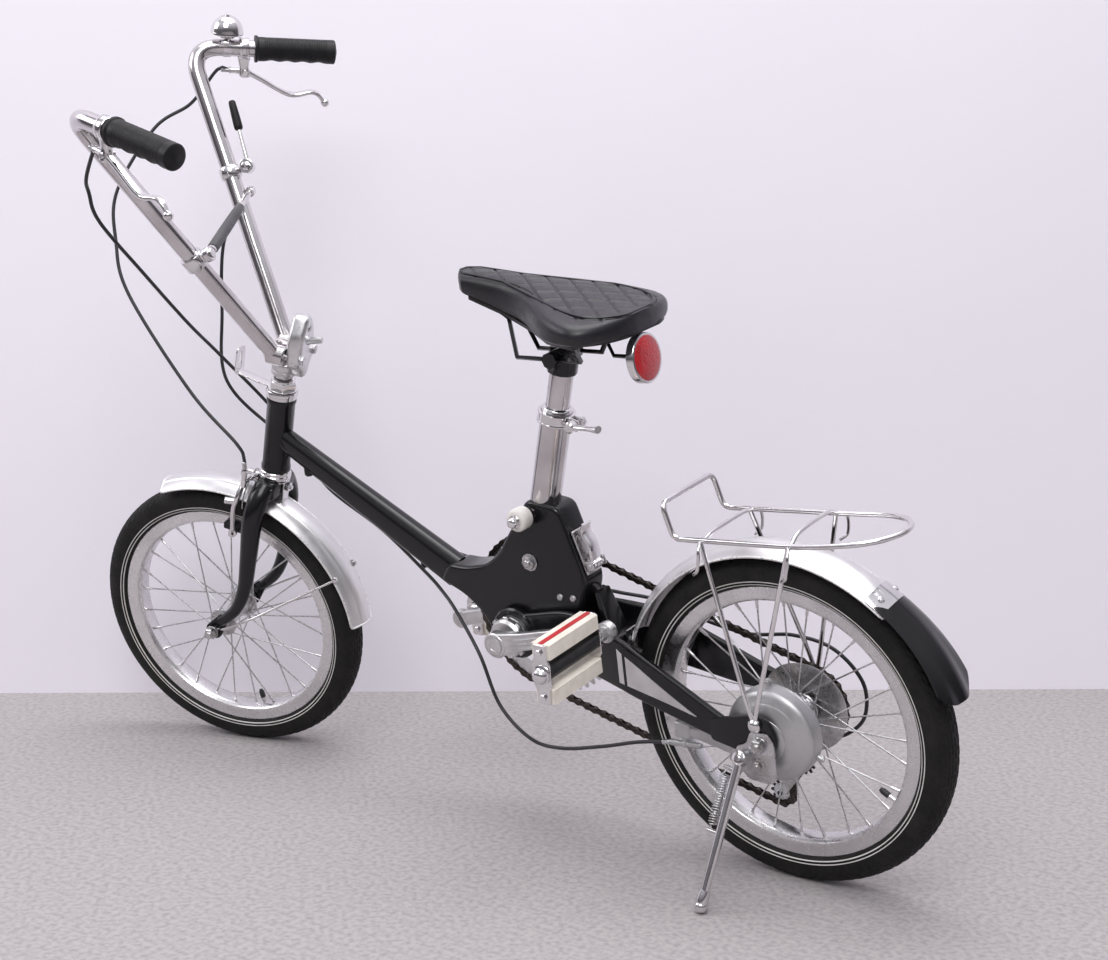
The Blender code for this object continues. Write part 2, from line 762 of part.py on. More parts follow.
def roller():
    """The stowing roller on the left of the box, and its axle."""
    foot = Vector((ROLLER_X, BOX_HALF + GAP, ROLLER_Z))
    end = ROLLER_OUT + ROLLER_NUT
    outline = [(0.0, end), (ROLLER_PIN_R, end), (ROLLER_PIN_R, ROLLER_OUT + 0.005),
               (0.0085, ROLLER_OUT + 0.005), (0.0085, ROLLER_OUT + GAP), (ROLLER_PIN_R, ROLLER_OUT + GAP),
               (ROLLER_PIN_R, ROLLER_IN - GAP), (0.0085, ROLLER_IN - GAP), (0.0085, 0.0), (0.0, 0.0)]
    pin = turned(outline, foot, Y_AXIS, 8)
    part("roller_axle", pin, CHROME, "frame")
    profile = [(ROLLER_PIN_R + GAP, ROLLER_OUT - GAP), (ROLLER_R - 0.0025, ROLLER_OUT - GAP),
               (ROLLER_R, ROLLER_OUT - 0.003), (ROLLER_R, ROLLER_IN + 0.0030),
               (ROLLER_R - 0.0025, ROLLER_IN), (ROLLER_PIN_R + GAP, ROLLER_IN)]
    part("roller", turned(profile, foot, Y_AXIS, 12, True), WHITE_PLASTIC, "roller")


# Fold latch

def latchTurn():
    """Axes on the box's rear face: X out of it, Y left, Z up along it."""
    low = Vector((BB_X - 0.1105, 0, BB_Z + 0.077))
    top = Vector((SEAT_X - 0.032, 0, SEAT_Z + 0.004))
    up = (top - low).normalized()
    out = Vector((-up.z, 0, up.x))
    return low, up, out


def onLatch(up, out, y=0.0):
    low, upward, outward = latchTurn()
    return low + upward * up + outward * out + Y_AXIS * y


def latch():
    """A lever latch on the box's rear face that holds the rear arm's strike."""
    low, upward, outward = latchTurn()
    turn = Matrix((outward, Y_AXIS, upward)).transposed()
    base = block(onLatch(0.036, 0.0018 + GAP), (0.0036, 0.028, 0.056), turn)
    ears = [block(onLatch(LATCH_PIVOT_UP, LATCH_PIVOT_OUT / 2 + 0.003, side * 0.0125),
                  (LATCH_PIVOT_OUT + 0.003, 0.0025, 0.012), turn) for side in (1, -1)]
    hinge = onLatch(LATCH_PIVOT_UP, LATCH_PIVOT_OUT)
    pin = rod(hinge - Y_AXIS * 0.0150, hinge + Y_AXIS * 0.0150, LATCH_PIN_R, 8)
    part("latch_base", fuse(base, *ears, pin), ALLOY, "frame")
    points = [onLatch(LATCH_PIVOT_UP - 0.0035, LATCH_PIVOT_OUT - 0.0003),
              onLatch(LATCH_PIVOT_UP + 0.0035, LATCH_PIVOT_OUT + 0.0005),
              onLatch(LATCH_PIVOT_UP + 0.022, 0.0150), onLatch(LATCH_PIVOT_UP + 0.040, 0.0120),
              onLatch(LATCH_PIVOT_UP + 0.050, 0.0180)]
    sections = []
    for index, spot in enumerate(points):
        before = points[max(index - 1, 0)]
        after = points[min(index + 1, len(points) - 1)]
        along = (after - before).normalized()
        thick = Vector((-along.z, 0, along.x))
        sections.append(roundRing(spot, Y_AXIS, thick, 0.0100, 0.0020, 0.0008))
    made = fuse(loft(sections), rod(hinge - Y_AXIS * 0.0098, hinge + Y_AXIS * 0.0098, 0.0048, 8))
    hole = rod(hinge - Y_AXIS * 0.02, hinge + Y_AXIS * 0.02, overFlats(LATCH_PIN_R, 8), 8)
    part("latch_lever", cut(made, hole), STEEL, "latch_lever")


# Rear arm

def beamRings(side):
    """Sections of one beam, from beside the box to the dropout."""
    lugMid = BOX_HALF + GAP + LUG_T / 2
    aftMid = REAR_DROP_IN + 0.0005
    stations = [(BB_X - 0.020, lugMid, BB_Z - 0.024, BB_Z + 0.029, LUG_T / 2),
                (BB_X - 0.090, lugMid + 0.0015, BB_Z - 0.029, BB_Z + 0.041, LUG_T / 2),
                (BEAM_FORE_X, BEAM_FORE_Y, BB_Z - 0.036, BB_Z + 0.029, BEAM_T / 2),
                (0.165, BEAM_FORE_Y + 0.005, 0.214, 0.274, BEAM_T / 2),
                (BEAM_AFT_X, aftMid, WHEEL_R - 0.010, WHEEL_R + 0.021, BEAM_T / 2)]
    rings = []
    for x, y, low, high, half in stations:
        rings.append(roundRing((x, side * y, (low + high) / 2), Y_AXIS, Z_AXIS, half,
                               (high - low) / 2, 0.0028))
    return rings


def dropout(side):
    """A plate behind the beam, with the axle's hole in it."""
    outline = [(0.066, WHEEL_R + 0.018), (0.022, WHEEL_R + 0.028), (0.006, WHEEL_R + 0.033),
               (-0.008, WHEEL_R + 0.029), (-0.017, WHEEL_R + 0.012), (-0.019, WHEEL_R - 0.001),
               (-0.013, WHEEL_R - 0.014), (0.003, WHEEL_R - 0.020), (0.066, WHEEL_R - 0.008)]
    return flat(outline, DROPOUT_T, sidePlane(side * (REAR_DROP_IN + DROPOUT_T / 2)))


def rearArm():
    """Two beams, their pivot lugs, the bridge with the strike, and both dropouts."""
    pieces = []
    for side in (1, -1):
        pieces.append(loft(beamRings(side)))
        pieces.append(rod(bb(side * (BOX_HALF + GAP)), bb(side * (BOX_HALF + GAP + LUG_T)), LUG_R, 12))
        pieces.append(dropout(side))
    bridge = block((BRIDGE_X, 0, BRIDGE_Z), (0.024, 2 * BEAM_FORE_Y - 0.004, 0.036))
    strike = loft([roundRing((BRIDGE_X + 0.002, 0, BRIDGE_Z), X_AXIS, Y_AXIS, 0.009, 0.020, 0.002),
                   roundRing((BRIDGE_X + 0.012, 0, BRIDGE_Z + 0.034), X_AXIS, Y_AXIS, 0.005, 0.016, 0.002),
                   roundRing((BRIDGE_X + 0.022, 0, BRIDGE_Z + 0.067), X_AXIS, Y_AXIS, 0.003, 0.013, 0.001)])
    made = fuse(pieces[0], *pieces[1:], bridge, strike)
    holes = [rod((0, 0.09, WHEEL_R), (0, -0.09, WHEEL_R), AXLE_R + GAP, 8),
             rod(bb(0.06), bb(-0.06), overFlats(CUP_BORE_R, 12), 12)]
    holes.append(rod((STRUT_X, 0.09, STRUT_Z), (STRUT_X, -0.09, STRUT_Z), 0.0028, 8))
    return part("rear_arm", cut(made, *holes), BLACK_PAINT, "rear_arm")


def carrier():
    """A wire carrier: main loop, raised front loop, cross wires, struts, feet, screws and hooks."""
    r = CARRIER_D / 2
    half = CARRIER_HALF_W
    z = CARRIER_Z
    main = [(0.100, half, z), (-0.060, half + 0.001, z + 0.010), (-0.110, half * 0.93, z + 0.016),
            (-0.140, half * 0.66, z + 0.020), (-0.156, half * 0.25, z + 0.022)]
    main = main + [(x, -y, h) for x, y, h in reversed(main)]
    front = [(0.112, -half, z + 0.040), (0.112, half, z + 0.040)]
    bends = rounded(main[-2:] + front + main[:2], 0.012, 1)
    made = wire(main[2:-2] + bends, r, 1, True)
    pieces = []
    for x, lift in ((0.062, 0.0035), (-0.046, 0.0090)):
        pieces.append(rod((x, half, z + lift), (x, -half, z + lift), r * 0.8, 5))
    for side in (1, -1):
        foot = Vector((STRUT_X, side * STRUT_Y, STRUT_Z))
        outer = STRUT_Y + 0.0026
        for topX, lift in ((0.066, 0.002), (-0.044, 0.0085)):
            top = Vector((topX, side * half, z + lift))
            knee = foot.lerp(top, 0.13)
            pieces.append(wire([top, Vector((knee.x, foot.y, knee.z)), foot], r * 0.85, 0))
            hook = [(topX, side * half, z + lift), (topX - 0.006, side * (half + 0.014), z + lift - 0.006),
                    (topX - 0.004, side * (half + 0.017), z + lift - 0.028),
                    (topX + 0.004, side * (half + 0.012), z + lift - 0.036)]
            pieces.append(wire(hook, r * 0.6, 0))
        screw = [(0.0, outer + 0.0034), (0.0062, outer + 0.0012), (0.0078, STRUT_Y - 0.0026),
                 (0.0024, STRUT_Y - 0.0026), (0.0024, REAR_DROP_IN + 0.0006), (0.0, REAR_DROP_IN + 0.0006)]
        pieces.append(turned(screw, (foot.x, 0, foot.z), Y_AXIS * side, 8))
    return part("carrier", fuse(made, *pieces), CHROME, "rear_arm")


# Band brake

def bandBrake():
    """The brake's domed cover, open towards the wheel, with its reaction arm and cable holder."""
    centre = Vector((0, 0, WHEEL_R))
    out = REAR_DROP_IN - 0.0008
    profile = [(AXLE_R + GAP, out), (0.0240, out), (0.0420, out - 0.0060),
               (COVER_R, out - 0.0130), (COVER_R, COVER_IN), (COVER_R - 0.0016, COVER_IN),
               (COVER_R - 0.0016, out - 0.0150), (0.0420, out - 0.0085), (AXLE_R + GAP, out - 0.0085)]
    cover = turned(profile, centre, Y_AXIS, 12, True)
    armY = out - 0.0120
    root = onWheel(centre, COVER_R - 0.002, -20, armY)
    tip = Vector((REACTION_X, armY, REACTION_Z))
    rings = [roundRing(root, Y_AXIS, Z_AXIS, 0.0022, 0.0140, 0.001),
             roundRing(root.lerp(tip, 0.5), Y_AXIS, Z_AXIS, 0.0030, 0.0100, 0.001),
             roundRing(tip, Y_AXIS, Z_AXIS, 0.0040, 0.0065, 0.001)]
    clip = block(tip + Vector((0.008, 0, 0.0005)), (0.022, 0.0100, 0.022))
    holder = rod(tip + Vector((0.028, 0, -0.0195)), tip + Vector((-0.014, 0, -0.0165)), 0.0034, 6)
    neck = rod(tip + Vector((0.008, 0, 0)), tip + Vector((0.006, 0, -0.018)), 0.0034, 4)
    lugs = [rod(onWheel(centre, COVER_R - 0.0012, a, COVER_IN + 0.0045),
                onWheel(centre, COVER_R + 0.008, a, COVER_IN + 0.0045), 0.0032, 4) for a in (84, -156)]
    pin = rod((BAND_PIVOT_X, BAND_PIVOT_Y - 0.0080, BAND_PIVOT_Z),
              (BAND_PIVOT_X, BAND_PIVOT_Y + BAND_LEVER_HALF + 0.0008, BAND_PIVOT_Z), BAND_PIN_R, 8)
    made = fuse(cover, loft(rings), clip, neck, holder, *lugs, pin)
    return part("band_brake", made, ALLOY, "rear_arm")


def bandBrakeLever():
    """The short arm that pulls the brake's band, with its cable clamp below the beam."""
    foot = Vector((BAND_PIVOT_X, BAND_PIVOT_Y, BAND_PIVOT_Z))
    tip = foot + Vector((-0.0005, 0, -0.0160))
    half = Y_AXIS * BAND_LEVER_HALF
    made = fuse(rod(foot - half, foot + half, 0.0054, 8),
                block((foot + tip) / 2 - Z_AXIS * 0.002, (0.0055, 2 * BAND_LEVER_HALF, 0.0160)),
                rod(tip - half, tip + Y_AXIS * 0.0068, 0.0038, 6))
    made = cut(made, rod(foot - Y_AXIS * 0.02, foot + Y_AXIS * 0.02, overFlats(BAND_PIN_R, 8), 8))
    return part("band_brake_lever", made, STEEL, "band_brake_lever")


# Kickstand

def kickstandBracket():
    """A plate on the axle outside the left dropout, with the leg's pivot pin."""
    y = REAR_DROP_IN + DROPOUT_T + GAP + STAND_T / 2
    outline = [(0.012, WHEEL_R + 0.014), (-0.010, WHEEL_R + 0.014), (-0.017, WHEEL_R + 0.004),
               (-0.018, WHEEL_R - 0.040), (-0.010, WHEEL_R - 0.048), (0.018, WHEEL_R - 0.046),
               (0.032, WHEEL_R - 0.030), (0.032, WHEEL_R - 0.008), (0.018, WHEEL_R - 0.002)]
    plate = flat(outline, STAND_T, sidePlane(y))
    axis = standAxis()
    top = standPoint()
    pin = rod(top - axis * ((STAND_Y - y) / axis.y), top + axis * 0.0070, STAND_PIN_R, 8)
    head = rod(top + axis * (STAND_EYE_HALF + GAP), top + axis * (STAND_EYE_HALF + 0.0035), 0.0066, 8)
    bolt = rod((0.004, y, WHEEL_R - 0.026), (0.004, y + 0.0065, WHEEL_R - 0.026), 0.0060, 6, 0.0040)
    made = cut(plate, rod((0, 0.09, WHEEL_R), (0, 0.05, WHEEL_R), AXLE_R + GAP, 8))
    return part("kickstand_bracket", fuse(made, pin, head, bolt), STEEL, "rear_arm")


def standPoint():
    return Vector((STAND_X, STAND_Y, STAND_Z))


def standDown():
    """The leg's direction when it is down."""
    return Vector((0.097, 0.474, -0.874)).normalized()


def standAxis():
    """The leg swings flat from down to back along the wheel."""
    back = Vector((-0.98, 0.15, 0.10))
    return standDown().cross(back).normalized()


def kickstand(groundPoint, groundUp):
    """The leg, down to its foot on the ground, and its spring."""
    top = standPoint()
    down = standDown()
    axis = standAxis()
    side = down.cross(axis).normalized()
    reach = -((top - groundPoint).dot(groundUp) - STAND_FOOT_R) / down.dot(groundUp)
    foot = top + down * reach
    eye = cut(rod(top - axis * STAND_EYE_HALF, top + axis * STAND_EYE_HALF, 0.0090, 10),
              rod(top - axis * 0.02, top + axis * 0.02, overFlats(STAND_PIN_R, 8), 8))
    legTop = top + down * 0.0070
    shoe = rod(foot - down * 0.004, foot - down * 0.020, STAND_FOOT_R * 0.95, 8, 0.0062)
    pinY = side * SPRING_OFFSET
    low = top + down * SPRING_LOW
    high = top + down * SPRING_HIGH
    pinLow = rod(low, low + pinY * 1.35, 0.0022, 4)
    pinHigh = rod(high, high + pinY * 1.35, 0.0022, 4)
    made = fuse(eye, rod(legTop, foot, STAND_LEG_R, 8), ball(foot, STAND_FOOT_R, 8, 4), shoe,
                pinLow, pinHigh)
    part("kickstand_leg", made, CHROME, "kickstand_leg")
    start = high + pinY + down * (0.0022 + SPRING_WIRE * 0.75)
    end = low + pinY - down * (0.0022 + SPRING_WIRE * 0.75)
    length = (end - start).length
    points = [start]
    total = SPRING_TURNS * SPRING_POINTS
    lead = SPRING_WIRE
    for step in range(total + 1):
        angle = 2 * math.pi * step / SPRING_POINTS
        reachNow = lead + (length - 2 * lead) * step / total
        points.append(start + down * reachNow + side * SPRING_R * math.cos(angle)
                      + axis * SPRING_R * math.sin(angle))
    points.append(end)
    pitch = (length - 2 * lead) / SPRING_TURNS
    print("kickstand spring's gap between turns: %.2f mm" % ((pitch - SPRING_WIRE) * 1000))
    part("kickstand_spring", wire(points, SPRING_WIRE / 2, 1), STEEL, "kickstand_leg")
    return foot


# Drive

def tangent(first, firstR, second, secondR):
    """End points of the line that leaves one circle and meets the next.

    A positive radius is run round anticlockwise, a negative one clockwise, in the side plane.
    """
    ahead = second - first
    base = math.atan2(ahead.z, ahead.x)
    turn = base + math.asin((firstR - secondR) / math.hypot(ahead.x, ahead.z))
    right = Vector((math.sin(turn), 0, -math.cos(turn)))
    return first + right * firstR, second + right * secondR


def chainPath(step):
    """Points along the chain's loop over ring, sprocket and both pulleys."""
    wheels = [(bb(CHAIN_Y), RING_PITCH_R), (Vector((0, CHAIN_Y, WHEEL_R)), SPROCKET_PITCH_R),
              (Vector((PULLEY_TOP_X, CHAIN_Y, PULLEY_TOP_Z)), -PULLEY_R),
              (Vector((PULLEY_LOW_X, CHAIN_Y, PULLEY_LOW_Z)), PULLEY_R)]
    points = []
    count = len(wheels)
    for index in range(count):
        centre, radius = wheels[index]
        before, beforeR = wheels[index - 1]
        after, afterR = wheels[(index + 1) % count]
        arrive = tangent(before, beforeR, centre, radius)[1] - centre
        leave = tangent(centre, radius, after, afterR)[0] - centre
        first = math.atan2(arrive.z, arrive.x)
        last = math.atan2(leave.z, leave.x)
        sweep = (last - first) % (2 * math.pi)
        if radius < 0:
            sweep -= 2 * math.pi
        arcs = max(5, round(abs(sweep * radius) / step))
        for k in range(arcs + 1):
            angle = first + sweep * k / arcs
            points.append(centre + Vector((math.cos(angle), 0, math.sin(angle))) * abs(radius))
    return points


def chain():
    """The chain's loop as a band of its own width and height."""
    points = chainPath(0.021)
    sections = []
    count = len(points)
    for index, spot in enumerate(points):
        along = (points[(index + 1) % count] - points[index - 1]).normalized()
        up = Vector((-along.z, 0, along.x))
        sections.append([spot + Y_AXIS * a * CHAIN_HALF_W + up * b * CHAIN_HALF_H
                         for a, b in ((1, -1), (1, 1), (-1, 1), (-1, -1))])
    return part("chain", loft(sections, True), DARK_STEEL, "rear_arm")


def freewheel():
    """Sprockets in steps on the hub's right end."""
    inner = CHAIN_Y + 0.0012
    bore = overFlats(HUB_NECK_R, HUB_STEPS)
    outer = [(bore, -inner)]
    for index in range(4):
        middle = -CHAIN_Y + SPROCKET_STEP * index
        radius = SPROCKET_PITCH_R - CHAIN_HALF_H - SPROCKET_GAP - 0.0050 * index
        outer += [(radius, middle - 0.0011), (radius, middle + 0.0011)]
    outer.append((bore, outer[-1][1]))
    made = turned(outer, Vector((0, 0, WHEEL_R)), -Y_AXIS, HUB_STEPS, True)
    return part("freewheel", made, DARK_STEEL, "freewheel")


def derailleur():
    """The changer: body on the right dropout, arm, and the cage with its two pulleys."""
    hangerX = 0.010
    hangerZ = WHEEL_R - 0.034
    top = Vector((PULLEY_TOP_X, CHAIN_Y, PULLEY_TOP_Z))
    low = Vector((PULLEY_LOW_X, CHAIN_Y, PULLEY_LOW_Z))
    plateAt = CHAIN_HALF_W + 0.0022
    outY = -(REAR_DROP_IN + DROPOUT_T + 0.0006)
    hanger = flat([(-0.004, WHEEL_R - 0.012), (0.014, WHEEL_R - 0.010), (0.020, WHEEL_R - 0.040),
                   (0.002, WHEEL_R - 0.044)], 0.0030, sidePlane(outY - 0.0015))
    pieces = [rod((hangerX, outY - 0.0005, hangerZ), (hangerX, outY - 0.0110, hangerZ), 0.0085, 8),
              block((0.022, outY - 0.0065, WHEEL_R - 0.056), (0.018, 0.0090, 0.034)),
              rod((0.024, outY - 0.0065, WHEEL_R - 0.070), (0.020, CHAIN_Y - plateAt, WHEEL_R - 0.080),
                  0.0060, 6)]
    along = (low - top).normalized()
    across = Vector((along.z, 0, -along.x))
    reach = [top - along * 0.009, top + across * 0.007, low + across * 0.007, low + along * 0.009,
             low - across * 0.007, top - across * 0.007]
    for side in (1, -1):
        pieces.append(flat([(p.x, p.z) for p in reach], 0.0012, sidePlane(CHAIN_Y + side * plateAt)))
    for spot in (top, low):
        pieces.append(rod(spot + Y_AXIS * (plateAt + 0.0004), spot - Y_AXIS * (plateAt + 0.0004), 0.0035, 6))
        pieces.append(rod(spot + Y_AXIS * 0.0018, spot - Y_AXIS * 0.0018,
                          PULLEY_R - CHAIN_HALF_H - SPROCKET_GAP, 10))
    made = cut(fuse(hanger, *pieces), rod((0, -0.04, WHEEL_R), (0, -0.12, WHEEL_R), 0.0092, 8))
    return part("derailleur", made, STEEL, "rear_arm")


def crankPoint(side, y=0.0):
    """A crank's pedal end: the left one points back and up."""
    turn = math.radians(180 - CRANK_ANGLE)
    return bb(y) + Vector((math.cos(turn), 0, math.sin(turn))) * CRANK_LEN * side


def crankArm(side):
    """A tapered arm from the spindle's end to the pedal's eye, with the pedal's axle in it."""
    inner = CRANK_IN
    mid = side * (inner + CRANK_T / 2)
    tip = crankPoint(side, mid)
    hub = bb(mid)
    along = (tip - hub).normalized()
    up = Vector((-along.z, 0, along.x))
    rings = []
    for t, wide, thick in ((0.0, 0.0135, 1.0), (0.25, 0.0110, 0.85), (0.85, 0.0090, 0.72), (1.0, 0.0095, 0.80)):
        rings.append(roundRing(hub.lerp(tip, t), Y_AXIS, up, CRANK_T / 2 * thick, wide, 0.0025))
    foot = crankPoint(side)
    out = Y_AXIS * side
    pieces = [rod(bb(side * inner), bb(side * (inner + CRANK_T)), 0.0165, 12),
              rod(tip - out * CRANK_T * 0.40, tip + out * CRANK_T * 0.42, 0.0125, 8),
              rod(foot + out * (inner + 0.008), foot + out * (PEDAL_OUT - 0.008), PEDAL_AXLE_R, 8),
              rod(foot + out * (inner + CRANK_T - 0.003), foot + out * (PEDAL_IN - 0.0046), 0.0085, 6)]
    return fuse(loft(rings), *pieces)


def cranks():
    """The left arm, and the right arm with its chainring and the spindle."""
    bore = rod(bb(0.02), bb(CRANK_IN + 0.0080), overFlats(SPINDLE_R, 8), 8)
    dome = rod(bb(CRANK_IN + CRANK_T - 0.002), bb(CRANK_IN + CRANK_T + 0.0035), 0.0125, 8, 0.009)
    part("crank_left", cut(fuse(crankArm(1), dome), bore), ALLOY, "crank")
    ringR = RING_PITCH_R - CHAIN_HALF_H - 0.0006
    ring = turned([(ringR, 0.0015), (ringR, -0.0015), (ringR - 0.020, -0.0015), (ringR - 0.020, 0.0015)],
                  bb(CHAIN_Y), Y_AXIS, 24, True)
    spider = [rod(bb(-RING_IN), bb(-CRANK_IN - 0.002), 0.0190, 12)]
    for index in range(5):
        turn = math.radians(72 * index + 20)
        tip = bb(CHAIN_Y) + Vector((math.cos(turn), 0, math.sin(turn))) * (ringR - 0.012)
        across = Vector((-math.sin(turn), 0, math.cos(turn)))
        foot = [bb(CHAIN_Y - 0.003) + across * a * 0.010 + Y_AXIS * b * 0.0022
                for a, b in ((1, -1), (1, 1), (-1, 1), (-1, -1))]
        end = [tip + across * a * 0.0065 + Y_AXIS * b * 0.0018 for a, b in ((1, -1), (1, 1), (-1, 1), (-1, -1))]
        spider.append(loft([foot, end]))
    spindle = rod(bb(-CRANK_IN - 0.004), bb(CRANK_IN + 0.0070), SPINDLE_R, 8)
    domeRight = rod(bb(-CRANK_IN - CRANK_T + 0.002), bb(-CRANK_IN - CRANK_T - 0.0035), 0.0125, 8, 0.009)
    part("crank_right", fuse(crankArm(-1), *spider, ring, spindle, domeRight), ALLOY, "crank")


def pedal(side, name):
    """Axle barrel, two end plates and two blocks, tilted as the pedal hangs."""
    centre = crankPoint(side)
    tilt = math.radians(PEDAL_TILT) * (1 if side > 0 else -1)
    ahead = Vector((math.cos(tilt), 0, math.sin(tilt)))
    up = Vector((-math.sin(tilt), 0, math.cos(tilt)))
    turn = Matrix((ahead, Y_AXIS, up)).transposed()
    mid = side * (PEDAL_IN + PEDAL_OUT) / 2
    length = PEDAL_OUT - PEDAL_IN
    spot = centre + Y_AXIS * mid
    pieces = [rod(centre + Y_AXIS * side * (PEDAL_IN - 0.004), centre + Y_AXIS * side * (PEDAL_OUT + 0.005),
                  0.0105, 8)]
    for end in (-1, 1):
        plateAt = spot + Y_AXIS * end * (length / 2 - 0.0015)
        pieces.append(block(plateAt, (0.072, 0.0030, 0.016), turn))
    for fore in (-1, 1):
        pieces.append(block(spot + ahead * fore * 0.027, (0.019, length - 0.004, 0.025), turn))
    made = fuse(pieces[0], *pieces[1:])
    made = cut(made, rod(centre + Y_AXIS * side * (PEDAL_IN - 0.02),
                         centre + Y_AXIS * side * (PEDAL_OUT - 0.006), PEDAL_AXLE_R + PEDAL_PLAY, 8))
    part(name, made, CREAM, name)


# Seat

def seatPost():
    made = rod(atSeat(POST_LOW), atSeat(POST_TOP), POST_R, 12)
    return part("seat_post", made, CHROME, "seat_post")


def seatClamp():
    """A split ring round the top of the lower post, with two ears at the back."""
    s = SEAT_TUBE_TOP - 0.010
    ring = turned([(SEAT_TUBE_R + 0.0042, 0.0075), (SEAT_TUBE_R + 0.0042, -0.0075),
                   (SEAT_TUBE_R + GAP, -0.0075), (SEAT_TUBE_R + GAP, 0.0075)],
                  atSeat(s), seatUp(), 12, True)
    ears = [block(atSeat(s, -SEAT_TUBE_R - 0.0085, side * 0.0050), (0.0150, 0.0040, 0.0140), seatTurn())
            for side in (1, -1)]
    made = cut(fuse(ring, *ears), block(atSeat(s, -SEAT_TUBE_R - 0.004), (0.012, 0.0050, 0.03), seatTurn()),
               rod(atSeat(s, -SEAT_TUBE_R - 0.0110, 0.03), atSeat(s, -SEAT_TUBE_R - 0.0110, -0.03),
                   SKEWER_R + GAP, 8))
    return part("seat_clamp", made, CHROME, "frame")


def quickRelease():
    """The clamp's skewer with its nut and cam lever."""
    s = SEAT_TUBE_TOP - 0.010
    spot = atSeat(s, -SEAT_TUBE_R - 0.0110)
    left = 0.0070 + GAP
    tip = spot + Y_AXIS * (left + 0.006)
    path = [tip, tip + (atSeat(0.004, -0.020) - atSeat(0)), tip + (atSeat(0.010, -0.036) - atSeat(0)) + Y_AXIS * 0.004]
    lever = wire(path, 0.0036, 0)
    made = fuse(rod(spot - Y_AXIS * (left + 0.004), spot + Y_AXIS * (left + 0.004), SKEWER_R, 8),
                rod(spot + Y_AXIS * left, spot + Y_AXIS * (left + 0.0105), 0.0068, 8),
                rod(spot - Y_AXIS * left, spot - Y_AXIS * (left + 0.0070), 0.0062, 6), lever)
    return part("seat_lever", made, STEEL, "seat_lever")


def saddleHalf(x):
    """Half width of the saddle's top at x, from nose to tail."""
    t = (SADDLE_NOSE_X - x) / (SADDLE_NOSE_X - SADDLE_REAR_X)
    nose = 0.0250 * min(1.0, math.sqrt(max(t, 0.0) / 0.07))
    flare = 1 / (1 + math.exp(-(t - 0.56) * 11.5))
    tail = math.sqrt(max(0.0, 1 - max(0.0, (t - 0.80) / 0.20) ** 2.4))
    return (nose + (SADDLE_HALF_W - 0.025) * flare) * tail


def saddleTop(x):
    t = (SADDLE_NOSE_X - x) / (SADDLE_NOSE_X - SADDLE_REAR_X)
    return SADDLE_NOSE_TOP + (SADDLE_TAIL_TOP - SADDLE_NOSE_TOP) * t \
        + SADDLE_BULGE * math.sin(math.pi * min(1.0, t * 1.15))


def saddleFoot(x):
    t = (SADDLE_NOSE_X - x) / (SADDLE_NOSE_X - SADDLE_REAR_X)
    return SADDLE_NOSE_FOOT \
        + (SADDLE_TAIL_FOOT - SADDLE_NOSE_FOOT) * math.sin(math.pi / 2 * min(1.0, max(0.0, t * 1.25)))


def saddleCushion():
    """The padded top: crowned, drawn in under its edge, sewn in crossing channels as diamonds."""
    stations = 18
    across = 14
    sections = []
    for i in range(stations + 1):
        x = SADDLE_NOSE_X - (SADDLE_NOSE_X - SADDLE_REAR_X) * (0.006 + 0.985 * i / stations)
        half = saddleHalf(x)
        top = saddleTop(x)
        foot = saddleFoot(x)
        ring = []
        for j in range(across + 1):
            v = 2 * j / across - 1
            y = half * math.sin(v * math.pi / 2 * 0.94) / math.sin(math.pi / 2 * 0.94)
            drop = (top - foot) * (1 - math.sqrt(max(0.0, 1 - abs(v) ** 2.6 * 0.80)))
            sewn = QUILT_DEPTH * ((i + j) % 2 == 0) * (1 - abs(v) ** 8)
            ring.append(Vector((x, y, top - drop - sewn)))
        ring.append(Vector((x, half * 0.965, foot + 0.004)))
        ring.append(Vector((x, half * 0.90, foot)))
        ring.append(Vector((x, -half * 0.90, foot)))
        ring.append(Vector((x, -half * 0.965, foot + 0.004)))
        sections.append(ring)
    made = loft(sections)
    sewLines(made, len(sections[0]), stations, across)
    return part("saddle_cushion", made, BLACK_VINYL, "seat_post")


def sewLines(obj, count, stations, across):
    """Split each face of the quilted top along its sewn line, from one low corner to the other."""
    work = bmesh.new()
    work.from_mesh(obj.data)
    work.verts.ensure_lookup_table()
    for i in range(stations):
        for j in range(across):
            first = i * count + j + (0 if (i + j) % 2 == 0 else 1)
            last = (i + 1) * count + j + (1 if (i + j) % 2 == 0 else 0)
            bmesh.ops.connect_verts(work, verts=[work.verts[first], work.verts[last]])
    work.to_mesh(obj.data)
    work.free()


